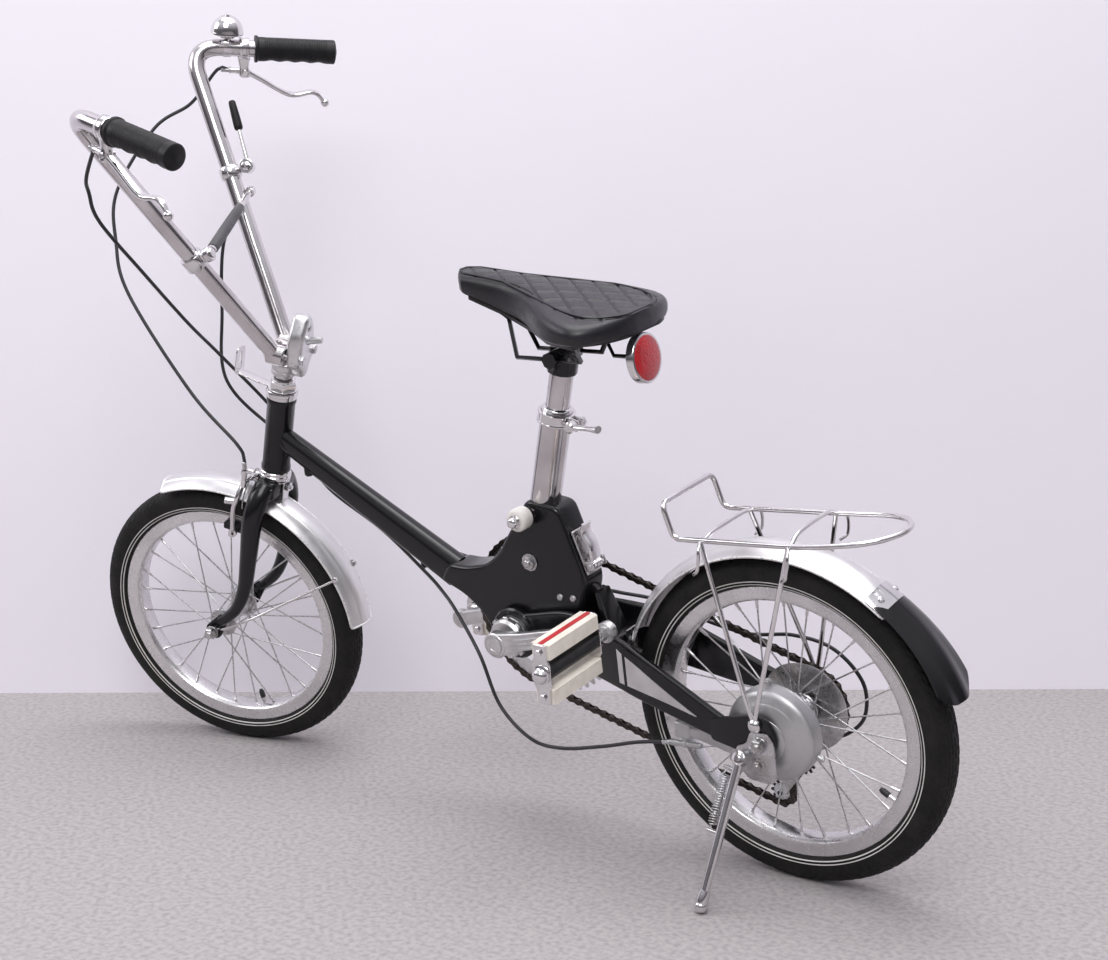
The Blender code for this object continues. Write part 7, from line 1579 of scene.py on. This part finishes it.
def makeBarFittings():
    # the shifter on the right bar, and the stay rod from the left bar across to it
    clamp, lever, rubber = makeShifter()[:3]
    piece("shift_clamp", clamp, chrome, "right_bar", stemAt, sharp=40)
    piece("shift_lever_rod", lever, chrome, "shift_lever", stemAt, ("shift_lever",), sharp=40)
    piece("shift_lever_tip", [rubber], gripRubber, "shift_lever", stemAt, sharp=50)
    alongL = unit(barPath(1)[1] - barPath(1)[0])
    alongR = unit(barPath(-1)[1] - barPath(-1)[0])
    out = unit(np.cross(alongL, alongR))
    out = out if out @ headAhead < 0 else -out
    spot = onBar(1, stayRod["leftAt"])
    foot = spot + out * stayRod["rise"]
    ring = bothWays([(0.0112, -0.009), (0.0143, -0.009), (0.0151, -0.008)])
    clamp = [lathe(ring, spot, alongL, 48, True),
        block(spot + out * 0.015, (0.012, 0.005, 0.013), (np.cross(alongL, out), out, alongL), 0.0012),
        rod(spot + out * 0.014, foot + out * 0.0065, 0.0047, 28, chamfer=0.0005),
        hexNut(foot + out * 0.0046, out, 0.0062, 0.0022)]
    piece("stay_clamp", clamp, chrome, "left_bar", stemAt, sharp=40)
    tip = onBar(-1, stayRod["rightAt"]) + out * stayRod["hookRise"]
    ahead = unit(tip - foot)
    length = np.linalg.norm(tip - foot)
    eye = bothWays([(0.0048, -0.0042), (0.0086, -0.0042), (0.0095, -0.0032)])
    bright = [lathe(eye, foot, out, 40, True),
        rod(foot + ahead * 0.009, tip + ahead * 0.016, 0.004, 24),
        lathe([(0.004, 0), (0.0062, 0.001), (0.0068, 0.003), (0.0068, 0.009), (0.005, 0.011),
            (0.0042, 0.013)], tip + ahead * 0.003, ahead, 32),
        lathe([(0.0042, 0), (0.006, 0), (0.006, 0.004), (0.0042, 0.0046)], foot + ahead * 0.0095, ahead,
            28)]
    piece("stay_rod_bright", bright, chrome, "stay_rod", stemAt, ("stay_rod",), sharp=40)
    sleeve = [(0.005, 0.0145), (0.0066, 0.015), (0.007, 0.018), (0.0071, length * 0.4),
        (0.0066, length * 0.66), (0.0058, length * 0.77), (0.0046, length * 0.78)]
    piece("stay_rod_sleeve", [lathe(sleeve, foot, ahead, 32)], sleeveGrey, "stay_rod", stemAt,
        sharp=50)
    print("bar fittings made")


# the rack, the rear brake and the stand

rack = {"wire": 0.00325, "thin": 0.0026, "strut": 0.00276, "hook": 0.00195}


def makeRack():
    # a rounded loop of wire on two cross wires and four struts with small hooks
    left = [(0.1, 0.054, 0.424), (-0.06, 0.055, 0.434), (-0.11, 0.0502, 0.44), (-0.14, 0.0356, 0.444),
        (-0.156, 0.0135, 0.446)]
    right = [(x, -y, z) for x, y, z in reversed(left)]
    loop = left + right + [(0.112, -0.054, 0.464), (0.112, 0.054, 0.464)]
    radii = [0.01, 0.06, 0.03, 0.024, 0.022, 0.022, 0.024, 0.03, 0.06, 0.01, 0.012, 0.012]
    wire = roundedPath(loop, radii, 8, True)
    shapes = [tube(wire, rack["wire"], 18, True)]
    for x, lift in ((0.062, 0.0035), (-0.046, 0.009)):
        z = np.interp(x, (-0.06, 0.1), (0.434, 0.424))
        y = 0.0545
        path = [(x, -y, z), (x, -y + 0.006, z + lift * 0.2), (x, -0.03, z + lift), (x, 0.03, z + lift),
            (x, y - 0.006, z + lift * 0.2), (x, y, z)]
        shapes.append(tube(smoothPath(path, 0.004), rack["thin"], 14))
    for side in (1, -1):
        foot = vec(0.005, 0.0722 * side, 0.222)
        for top in (vec(0.066, 0.054 * side, 0.426), vec(-0.044, 0.054 * side, 0.4325)):
            knee = foot + (top - foot) * 0.13
            knee[1] = foot[1]
            strut = roundedPath([foot, knee, top], 0.02, 8)
            shapes.append(tube(strut, rack["strut"], 16))
            hook = smoothPath([top, top + vec(-0.006, 0.014 * side, -0.006),
                top + vec(-0.004, 0.017 * side, -0.028), top + vec(0.004, 0.012 * side, -0.036)], 0.002)
            shapes.append(tube(hook, rack["hook"], 12))
        eye = [(0.0032, -0.002), (0.007, -0.002), (0.007, 0.002), (0.0032, 0.002)]
        shapes.append(lathe(eye, foot + vec(0, 0, -0.001), yAxis, 32, True))
        profile = [(0.0024, 0.0636), (0.0024, 0.0696), (0.007, 0.0698), (0.0078, 0.0706), (0.0078, 0.0748),
            (0.0064, 0.0762), (0.005, 0.0776), (0.002, 0.0782)]
        shapes.append(lathe(profile, vec(foot[0], 0, foot[2]), yAxis * side, 32))
    piece("carrier_wire", shapes, chrome, "rear_arm", stance, ("carrier",), sharp=40)
    print("rack made")


drumBrake = {"armAngle": -20.0, "armTip": (0.106, 0.0502, 0.186), "studs": (84, -156),
    "cam": (0.043, 0.186)}


def makeRearBrake():
    # a turned cover, a lofted arm with its cable holder, and the cam's lever
    cover = [(0.0051, 0.0622), (0.014, 0.0622), (0.0152, 0.0616), (0.023, 0.0614), (0.0246, 0.0606),
        (0.025, 0.0596), (0.033, 0.0588), (0.04, 0.0566), (0.0416, 0.0556), (0.0424, 0.055), (0.049, 0.053),
        (0.053, 0.0506), (0.0546, 0.0484), (0.055, 0.046), (0.055, 0.035), (0.0546, 0.0346),
        (0.0546, 0.033), (0.055, 0.0326), (0.055, 0.0304), (0.0536, 0.0302), (0.0534, 0.0472),
        (0.042, 0.0537), (0.0051, 0.0537)]
    shapes = [lathe(cover, rearCentre, yAxis, 96, True)]
    tip = vec(*drumBrake["armTip"])
    start = onWheel(rearCentre, 0.053, drumBrake["armAngle"], tip[1])
    ahead = unit(tip - start)
    up = np.cross(ahead, yAxis)
    rings = [roundRect(start + (tip - start) * t, yAxis, up, half, tall, half * 0.9, 4)
        for t, half, tall in ((0, 0.0026, 0.014), (0.3, 0.003, 0.0112), (0.7, 0.0034, 0.0084),
        (1, 0.004, 0.0066))]
    shapes += [loft(rings), block(tip + vec(0.008, 0, 0.0005), (0.021, 0.01, 0.0205), corner=0.0016)]
    holder = tip + vec(0.028, 0, -0.0195)
    hold = [(0.003, 0), (0.004, 0.001), (0.004, 0.01), (0.0034, 0.011), (0.0034, 0.018), (0.0044, 0.0186),
        (0.0044, 0.0226), (0.0034, 0.0232), (0.0034, 0.04), (0.0026, 0.042)]
    shapes += [lathe(hold, holder, vec(-0.042, 0, 0.003), 24),
        rod(tip + vec(0.008, 0, -0.006), holder + vec(-0.02, 0, 0.0014), 0.0034, 20)]
    for angle in drumBrake["studs"]:
        a = onWheel(rearCentre, 0.0538, angle, 0.0345)
        b = onWheel(rearCentre, 0.0628, angle, 0.0345)
        shapes += [rod(a, b, 0.0034, 20, 0.0028, 0.0004),
            hexNut(onWheel(rearCentre, 0.0588, angle, 0.0345), unit(b - a), 0.0046, 0.0026)]
    x, z = drumBrake["cam"]
    shapes += [rod(vec(x, 0.0505, z), vec(x, 0.0607, z), 0.0026, 20),
        rod(vec(x, 0.05, z), vec(x, 0.054, z), 0.0058, 24)]
    piece("drum_cover", shapes, castGrey, "rear_arm", stance, ("band_brake",), sharp=32)
    foot = vec(x, 0.0585, z)
    tip = foot + vec(-0.0005, 0, -0.016)
    outline = [(0.0054 * math.cos(a), 0.0054 * math.sin(a)) for a in np.linspace(-0.35, np.pi + 0.35, 17)] \
        + [(-0.0042 + 0.0038 * math.cos(a), -0.016 + 0.0038 * math.sin(a)) for a in (np.pi, np.pi * 1.25)] \
        + [(-0.0005, -0.02)] + [(0.0032, -0.0187), (0.0036, -0.016)]
    lever = [slab(outline, 0.0028, foot, xAxis, zAxis, 0.0004),
        lathe([(0.0026, 0.0014), (0.0048, 0.0014), (0.0048, 0.0024), (0.003, 0.003)], foot, yAxis, 24),
        lathe([(0.0038, 0), (0.0038, 0.005), (0.003, 0.006), (0.0024, 0.0066)], tip + yAxis * 0.0002, yAxis,
            24)]
    piece("drum_lever", lever, steel, "band_brake_lever", stance, ("band_brake_lever",), sharp=40)
    print("rear brake made")


standTop = vec(0.021, 0.083, 0.184)
standDown = unit(vec(0.097, 0.474, -0.874))
standAxis = unit(np.cross(standDown, vec(-0.98, 0.15, 0.1)))
standSide = unit(np.cross(standDown, standAxis))
stand = {"spring": (0.014, 0.086), "turns": 20, "coil": 0.0048, "wire": 0.00085, "offset": 0.014}


def makeStand():
    # a leg along its own line down to the ground, with a coiled spring beside it
    plate = [(0.012, 0.214), (-0.01, 0.214), (-0.017, 0.204), (-0.018, 0.16), (-0.01, 0.152),
        (0.018, 0.154), (0.032, 0.17), (0.032, 0.192), (0.018, 0.198)]
    shapes = [pillow(rounds(plate, 0.005, 4), 0.003, yAxis * 0.0708, xAxis, zAxis, 0.0007, 2)]
    bolt = vec(0.004, 0.0723, 0.174)
    shapes += [lathe([(0.0084, 0), (0.0084, 0.001), (0.0076, 0.0014)], bolt, yAxis, 32),
        hexNut(bolt + yAxis * 0.0012, yAxis, 0.0058, 0.004),
        lathe([(0.003, 0), (0.003, 0.0056), (0.0022, 0.0064)], bolt, yAxis, 20),
        rod(vec(standTop[0], 0.0715, standTop[2]), standTop - yAxis * 0.0045, 0.004, 24)]
    piece("stand_plate", shapes, steel, "rear_arm", stance, ("kickstand_bracket",), sharp=38)
    world = stance[:3, :3] @ standDown
    top = stance[:3, :3] @ standTop + stance[:3, 3]
    length = (top[2] - 0.008) / -world[2]
    foot = standTop + standDown * length
    eye = bothWays([(0.003, -0.0042), (0.008, -0.0042), (0.009, -0.0034)])
    leg = [lathe(eye, standTop, standAxis, 40, True),
        rod(standTop - standAxis * 0.0062, standTop + standAxis * 0.0062, 0.003, 24),
        lathe([(0.0046, 0), (0.0058, -0.0002), (0.0058, -0.0022), (0.004, -0.003)],
            standTop - standAxis * 0.0042, standAxis, 28)]
    path = standTop + standDown * np.linspace(0.007, length - 0.004, 40)[:, None]
    t = np.linspace(0, 1, 40)
    leg.append(tube(path, 0.0054 - 0.0004 * t, 24))
    ball = [(0.0078 * math.sin(a), -0.0078 * math.cos(a)) for a in np.linspace(0.15, np.pi - 0.3, 16)]
    leg.append(lathe(ball, foot, zAxis @ stance[:3, :3], 32))
    shoe = [(0.0052, 0), (0.0062, 0), (0.0068, 0.004), (0.0074, 0.012), (0.007, 0.015)]
    leg.append(lathe([(r, length - 0.018 + h) for r, h in shoe], standTop, standDown, 28))
    for spot in stand["spring"]:
        a = standTop + standDown * spot
        leg.append(rod(a, a + standSide * stand["offset"] * 1.3, 0.0022, 18))
    piece("stand_leg", leg, chrome, "kickstand_leg", stance, ("kickstand_leg",), sharp=40)
    # close turns of wire between two hooks: the angle grows evenly along the axis
    low, high = stand["spring"]
    axisStart = standTop + standSide * stand["offset"]
    count = stand["turns"] * 26
    turn = np.linspace(0, 2 * np.pi * stand["turns"], count)
    a0, a1 = low + 0.0075, high - 0.0075
    height = a0 + (a1 - a0) * turn / turn[-1]
    ring = standAxis * np.cos(turn)[:, None] + standSide * np.sin(turn)[:, None]
    coil = axisStart + standDown * height[:, None] + ring * stand["coil"]
    first = smoothPath([axisStart + standDown * (low - 0.0028),
        axisStart + standDown * (low - 0.001) - standAxis * 0.0022,
        axisStart + standDown * (low + 0.0032) + standAxis * 0.0006,
        axisStart + standDown * (a0 - 0.001) + standAxis * 0.003, coil[0]], 0.0006)
    last = smoothPath([coil[-1], axisStart + standDown * (a1 + 0.001) + standAxis * 0.003,
        axisStart + standDown * (high - 0.0032) + standAxis * 0.0006,
        axisStart + standDown * (high + 0.001) - standAxis * 0.0022,
        axisStart + standDown * (high + 0.0028)], 0.0006)
    piece("stand_spring", [tube(np.concatenate((first, coil[1:], last[1:])), stand["wire"], 10)], steel,
        "kickstand_leg", stance, ("kickstand_spring",), sharp=60)
    print("stand made")


# the changer at the rear hub

changer = {"wheels": ((0.012, 0.122), (0.044, 0.078)), "teeth": 11}


def makeChanger():
    # the changer's body is its solid, and its two wheels are toothed discs
    refined("derailleur", steel, "rear_arm", 40)
    shapes = []
    for x, z in changer["wheels"]:
        spot = vec(x, chainSize["y"], z)
        shapes += [toothedDisc(spot, 0.0034, 0.0112, 0.015, changer["teeth"], 0.0022),
            rod(spot - yAxis * 0.0072, spot + yAxis * 0.0072, 0.0032, 16)]
    piece("changer_wheels", shapes, blackPlastic, "rear_arm", sharp=35)
    print("changer made")


# brake calipers on the front fork

caliper = {"bolt": -0.022, "pad": (-0.0984, 0.0385), "padSize": (0.0415, 0.0092, 0.0098)}


def makeCaliper():
    # each arm is lofted along a smooth curve from the bolt out and down to its pad
    for side, name, depth in ((1, "caliper_arm_left", 0.0352), (-1, "caliper_arm_right", 0.0245)):
        eye = bothWays([(0.0031, -0.004), (0.0075, -0.004), (0.0085, -0.0032)])
        shapes = [lathe(eye, atHead(caliper["bolt"], depth), headAhead, 36, True)]
        path = smoothPath([atHead(-0.023, depth, side * 0.0075), atHead(-0.024, depth, side * 0.024),
            atHead(-0.04, 0.034, side * 0.0365), atHead(-0.06, 0.0385, side * 0.0375),
            atHead(-0.1014, 0.0385, side * 0.035)], 0.003)
        rings = []
        for p, d, at in zip(path, headings(path), np.linspace(0, 1, len(path))):
            thick = 0.0036 - 0.0006 * at
            rings.append(roundRect(p, unit(np.cross(headAhead, d)), headAhead, 0.0048 - 0.001 * at, thick,
                thick * 0.6, 3))
        shapes.append(loft(rings))
        post = [(0.0038, 0), (0.0038, 0.009), (0.006, 0.0094), (0.006, 0.013), (0.003, 0.014),
            (0.003, 0.019)]
        shapes.append(lathe(post, atHead(*caliper["pad"], side * 0.0245), yAxis * side, 24))
        if side < 0:
            cross = smoothPath([atHead(-0.018, depth, 0.003), atHead(-0.012, depth - 0.001, 0.02),
                atHead(-0.012, depth, 0.042)], 0.003)
            shapes.append(tube(cross, 0.0035, 16))
            knurl = [(0.003, -0.0188), (0.0038, -0.018), (0.0038, -0.013), (0.0046, -0.0126),
                (0.0046, -0.0086), (0.0038, -0.0082), (0.0038, 0.001), (0.0046, 0.0014), (0.0046, 0.0064),
                (0.0038, 0.008)]
            shapes.append(lathe(knurl, atHead(0, depth, 0.042), headUp, 20))
        else:
            shapes += [rod(atHead(-0.048, 0.0355, 0.037), atHead(-0.048, 0.0505, 0.042), 0.0045, 24,
                    chamfer=0.0006),
                hexNut(atHead(-0.048, 0.0475, 0.041), headAhead, 0.005, 0.0026)]
        piece(name + "_plate", shapes, chrome, name, forkAt, (name,), sharp=40)
        shoe = block(atHead(*caliper["pad"], side * 0.0205), caliper["padSize"], headAxes, 0.001)
        piece(name + "_shoe", [shoe], gripRubber, name, forkAt, sharp=40)
    # a bent wire spring hooks behind both arms
    depth = 0.0302
    wire = smoothPath([atHead(-0.06, depth, 0.03), atHead(-0.04, depth, 0.028), atHead(-0.02, depth, 0.013),
        atHead(-0.0125, depth, 0), atHead(-0.02, depth, -0.013), atHead(-0.04, depth, -0.028),
        atHead(-0.06, depth, -0.03)], 0.003)
    piece("caliper_spring", [tube(wire, 0.0011, 10)], steel, "steering", forkAt, sharp=60)
    print("caliper made")


# the box's latch

latch = {"foot": (0.2545, 0, 0.335), "top": (0.285, 0, 0.427), "pin": (0.018, 0.0105), "turns": 7}


def makeLatch():
    # u up the box's rear face, o out of it; the handle is lofted along a wave
    low = vec(*latch["foot"])
    up = unit(vec(*latch["top"]) - low)
    out = vec(-up[2], 0, up[0])
    on = lambda u, o, y=0: low + up * u + out * o + yAxis * y
    axes = (yAxis, up, out)
    shapes = [block(on(0.036, 0.0021), (0.028, 0.056, 0.0036), axes, 0.001)]
    for y in (0.0125, -0.0125):
        shapes.append(block(on(0.018, 0.0083, y), (0.0025, 0.012, 0.0132), axes, 0.0006))
    shapes.append(rod(on(*latch["pin"], -0.015), on(*latch["pin"], 0.015), 0.0022, 20, chamfer=0.0004))
    for u, y in ((0.054, 0.0085), (0.054, -0.0085), (0.03, 0)):
        shapes.append(lathe([(0.0032, 0), (0.003, 0.0008), (0.0014, 0.0014)], on(u, 0.0038, y), out, 20))
    piece("latch_plate", shapes, steel, "frame", stance, ("latch_base",), sharp=38)
    rows = smoothPath([(0.0145, 0.0102, 0), (0.0215, 0.011, 0), (0.04, 0.015, 0), (0.058, 0.012, 0),
        (0.068, 0.018, 0)], 0.002)
    ahead = np.gradient(rows, axis=0)
    rings = []
    for k, (u, o, _) in enumerate(rows):
        du, do = ahead[k][:2] / np.linalg.norm(ahead[k][:2])
        wide = 0.0098 - 0.0014 * smoothStep(0.05, 0.068, u)
        rings.append(roundRect(on(u, o), yAxis, up * -do + out * du, wide, 0.0019, 0.0012, 3))
    lever = [loft(rings),
        rod(on(*latch["pin"], -0.0098), on(*latch["pin"], 0.0098), 0.0048, 28, chamfer=0.0005)]
    turns = np.linspace(0, 2 * np.pi * latch["turns"], 180)
    coil = on(*latch["pin"]) + yAxis * np.linspace(-0.005, 0.005, 180)[:, None] \
        + (up * np.cos(turns)[:, None] + out * np.sin(turns)[:, None]) * 0.0052
    lever.append(tube(coil, 0.0006, 8))
    piece("latch_handle", lever, chrome, "latch_lever", stance, ("latch_lever",), sharp=45)
    print("latch made")


# cables, in smooth curves with bright ends

cable = {"radius": 0.0023, "spacing": 0.005}


def placed(points, at):
    # points moved by a matrix
    points = np.array(points, float)
    return points @ at[:3, :3].T + at[:3, 3]


def sheath(name, points, node, lengths, ends):
    # one cable in lengths: a length runs along a smooth curve from one given point to another;
    # the two bodies and the two points named last in each length are not read
    path = smoothPath(points, cable["spacing"])
    nearest = [int(np.argmin(((path - spot) ** 2).sum(1))) for spot in points]
    for number, (ending, first, last, bodies, bendFrom, bendTo) in enumerate(lengths):
        part = path[nearest[first]:(nearest[last] if last != -1 else len(path) - 1) + 1]
        replaced, slot = ((node,), None) if number == 0 else ((), node)
        obj = piece(name + ending, [tube(part, cable["radius"], 12)], cableSheath, None, np.eye(4),
            replaced, 60)
        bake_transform(obj)
    for word, body, at, toward in ends:
        piece(word, [ferrule(at, toward)], steel, body, np.eye(4), sharp=40)


def ferrule(at, toward):
    # the cable's bright end, ridged twice
    steps = [(0.0025, 0), (0.0031, 0.0006), (0.0031, 0.005), (0.0028, 0.0054), (0.0028, 0.0062),
        (0.0031, 0.0066), (0.0031, 0.0105), (0.0025, 0.0112)]
    return lathe(steps, at, toward - at, 20)


def makeCables():
    # the points follow each cable: first those that turn with the bars, then those that stay with the frame
    pivot, along = leverPlace(-1)[1:3]
    route = ((0.415, 0.22, -0.168), (0.3796, 0.258, -0.14), (0.3002, 0.285, -0.09), (0.2421, 0.27, -0.06),
        (0.1852, 0.2352, -0.03))
    front = placed([pivot - along * 0.0203, pivot - along * 0.036] + [atHead(*p) for p in route], stemAt)
    route = ((0.09, 0.12, 0.03), (0.042, 0.04, 0.041), (0.025, 0.0268, 0.042), (0.0085, 0.0245, 0.042))
    low = placed([atHead(*p) for p in route], forkAt)
    path = np.concatenate((front, low))
    sheath("front_cable_sheath", path, "front_brake_cable", [("", 0, -1, ("right_bar", "steering"), 2, 7)],
        [("front_cable_end", "steering", path[-1], path[-2]),
        ("front_cable_top_end", "right_bar", path[0], path[1])])
    pivot, along = leverPlace(1)[1:3]
    route = ((0.42, 0.198, 0.176), (0.395, 0.202, 0.16), (0.36, 0.19, 0.155), (0.2808, 0.155, 0.1),
        (0.2, 0.12, 0.04), (0.14, 0.095, -0.012))
    steered = placed([pivot - along * 0.0203, pivot - along * 0.024] + [atHead(*p) for p in route], stemAt)
    fixed = placed([(0.786, -0.026, 0.5), (0.75, -0.031, 0.448), (0.69, -0.014, 0.399), (0.6, -0.01, 0.352),
        (0.53, -0.004, 0.305), (0.498, 0.004, 0.286), (0.4637, 0.02, 0.268), (0.417, 0.04, 0.2246),
        (0.3865, 0.05, 0.166), (0.3408, 0.055, 0.1319), (0.2956, 0.055, 0.1275), (0.2344, 0.054, 0.1414),
        (0.18, 0.052, 0.1575), (0.1344, 0.0502, 0.1664)], stance)
    sheath("rear_brake_sheath", np.concatenate((steered, fixed)), "rear_brake_cable",
        [("", 5, 12, ("steering", "frame"), 6, 10), ("_top", 0, 5, ("left_bar", "steering"), 1, 5),
        ("_rear", 12, -1, ("frame", "rear_arm"), 12, 16)],
        [("rear_cable_end", "rear_arm", fixed[-1], fixed[-2]),
        ("rear_cable_top_end", "left_bar", steered[0], steered[1] + (steered[1] - steered[0]) * 3)])
    along, barrel = makeShifter()[3:]
    route = ((0.26, 0.132, -0.094), (0.1744, 0.1186, -0.07), (0.09, 0.097, -0.045))
    steered = placed([barrel - along * 0.0123, barrel - along * 0.03] + [atHead(*p) for p in route], stemAt)
    fixed = placed([(0.806, -0.032, 0.474), (0.752, -0.042, 0.446), (0.69, -0.026, 0.424),
        (0.6, -0.022, 0.372), (0.52, -0.022, 0.338), (0.45, -0.025, 0.322), (0.4, -0.025, 0.322),
        (0.35, -0.025, 0.318), (0.3, -0.028, 0.311), (0.25, -0.038, 0.303), (0.2, -0.05, 0.295),
        (0.15, -0.057, 0.277), (0.091, -0.067, 0.262), (0.036, -0.0785, 0.264), (-0.015, -0.08, 0.254),
        (-0.05, -0.08, 0.218), (-0.05, -0.079, 0.175), (-0.025, -0.0775, 0.148), (-0.002, -0.0765, 0.144),
        (0.0125, -0.0761, 0.144)], stance)
    spans = [("", 3, 9, ("steering", "frame"), 3, 7), ("_top", 0, 3, ("right_bar", "steering"), 1, 3),
        ("_rear", 9, -1, ("frame", "rear_arm"), 9, 14)]
    ends = [("shift_cable_end", "rear_arm", fixed[-1], fixed[-2])]
    sheath("shift_sheath", np.concatenate((steered, fixed)), "shift_cable", spans, ends)
    print("cables made")


makeSaddle()
makeSaddleBase()
makeBars()
makeStem()
makeBell()
makeBarFittings()
makeRack()
makeRearBrake()
makeStand()
makeChanger()
makeCaliper()
makeLatch()
makeCables()


# Floor, wall, light and camera.

def stagePlane(name, corners, look):
    # one flat four-cornered sheet of the set
    mesh = bpy.data.meshes.new(name)
    mesh.from_pydata(corners, [], [(0, 1, 2, 3)])
    obj = bpy.data.objects.new(name, mesh)
    bpy.context.scene.collection.objects.link(obj)
    mesh.materials.append(look)


def makeStage():
    # the floor and the wall meet where the picture's wall foot lies
    floor = finish("stageFloor", (0.4, 0.375, 0.375), 0.9, 0, (0.3, 0.28, 0.285), 140, 0.05, 0.4, 400)
    wall = finish("stageWall", (0.9, 0.87, 0.94), 0.9, 0, (0.88, 0.85, 0.92), 1.5, 0.05)
    ahead = unit(stage["ahead"])
    side = vec(ahead[1], -ahead[0], 0)
    # the sight line through the picture's wall foot meets the floor there
    across = (stage["foot"][0] - camera["centre"][0]) / camera["focal"]
    down = (stage["foot"][1] - camera["centre"][1]) / camera["focal"]
    sight = cameraPose[:3, 0] * across - cameraPose[:3, 1] * down - cameraPose[:3, 2]
    base = cameraPose[:3, 3] - sight * cameraPose[2, 3] / sight[2]
    wide = stage["halfWidth"]
    a = base - side * wide
    b = base + side * wide
    stagePlane("floor", [tuple(a), tuple(b), tuple(b - ahead * 9), tuple(a - ahead * 9)], floor)
    stagePlane("wall", [tuple(b), tuple(a), tuple(a + zAxis * 5), tuple(b + zAxis * 5)], wall)
    print("floor and wall made")


def makeLights():
    # the world goes from dark below to pale above; four square lamps point at the bike
    world = bpy.data.worlds.new("room")
    bpy.context.scene.world = world
    world.use_nodes = True
    nodes = world.node_tree.nodes
    links = world.node_tree.links
    where = newNode(nodes, "TexCoord", {})
    split = newNode(nodes, "SeparateXYZ", {})
    ramp = newNode(nodes, "ValToRGB", {})
    links.new(where.outputs["Generated"], split.inputs["Vector"])
    shift = newNode(nodes, "MapRange", {"From Min": -1})
    links.new(split.outputs["Z"], shift.inputs["Value"])
    links.new(shift.outputs["Result"], ramp.inputs["Fac"])
    ramp.color_ramp.elements[0].color = (0.07, 0.065, 0.07, 1)
    ramp.color_ramp.elements[0].position = 0.4
    ramp.color_ramp.elements[1].color = (0.95, 0.93, 1.0, 1)
    ramp.color_ramp.elements[1].position = 0.8
    middle = ramp.color_ramp.elements.new(0.56)
    middle.color = (0.2, 0.19, 0.21, 1)
    links.new(ramp.outputs["Color"], nodes["Background"].inputs["Color"])
    nodes["Background"].inputs["Strength"].default_value = 0.75
    for name, spot, target, size, power in (("key", (-1.6, 2.6, 3.2), (0, 0, 0.5), 2.0, 70),
            ("fill", (2.4, 2.0, 2.4), (0, 0, 0.5), 1.6, 30), ("top", (-0.4, -0.2, 3.4), (0, 0, 0), 2.6, 46),
            ("wash", (0.4, -0.6, 3.6), (1.6, -2.6, 0.9), 2.4, 60)):
        data = bpy.data.lights.new(name, "AREA")
        data.energy = power
        data.size = size
        light = bpy.data.objects.new(name, data)
        bpy.context.scene.collection.objects.link(light)
        light.location = spot
        light.rotation_euler = (Vector(target) - Vector(spot)).to_track_quat("-Z", "Y").to_euler()
    print("lights made")


def makeCamera():
    # the photograph's camera, given in the bike's upright axes by heading, dip and roll
    az, el, roll = camera["heading"], camera["dip"], camera["roll"]
    look = vec(math.sin(az) * math.cos(el), math.cos(az) * math.cos(el), -math.sin(el))
    right = vec(math.cos(az), -math.sin(az), 0)
    up = np.cross(right, look)
    r = math.cos(roll) * right + math.sin(roll) * up
    u = -math.sin(roll) * right + math.cos(roll) * up
    pose = np.eye(4)
    pose[:3, 0] = r
    pose[:3, 1] = u
    pose[:3, 2] = -look
    pose[:3, 3] = camera["spot"]
    pose = stance @ pose
    data = bpy.data.cameras.new("camera")
    data.sensor_fit = "HORIZONTAL"
    data.sensor_width = 36
    data.lens = data.sensor_width * camera["focal"] / camera["width"]
    obj = bpy.data.objects.new("camera", data)
    bpy.context.scene.collection.objects.link(obj)
    obj.matrix_world = Matrix(pose.tolist())
    bpy.context.scene.camera = obj
    print("camera placed")
    return pose


camera = {"heading": 2.47753935, "dip": 0.312445163, "roll": -0.116894648, "focal": 1788.508,
    "spot": (-0.944866, 1.589999, 1.106566), "centre": (554, 480), "width": 1108}
cameraPose = makeCamera()
stage = {"ahead": (-cameraPose[0, 2], -cameraPose[1, 2], 0), "foot": (554, 691), "halfWidth": 6.0}
makeStage()
makeLights()
bpy.context.scene.view_settings.view_transform = "Standard"
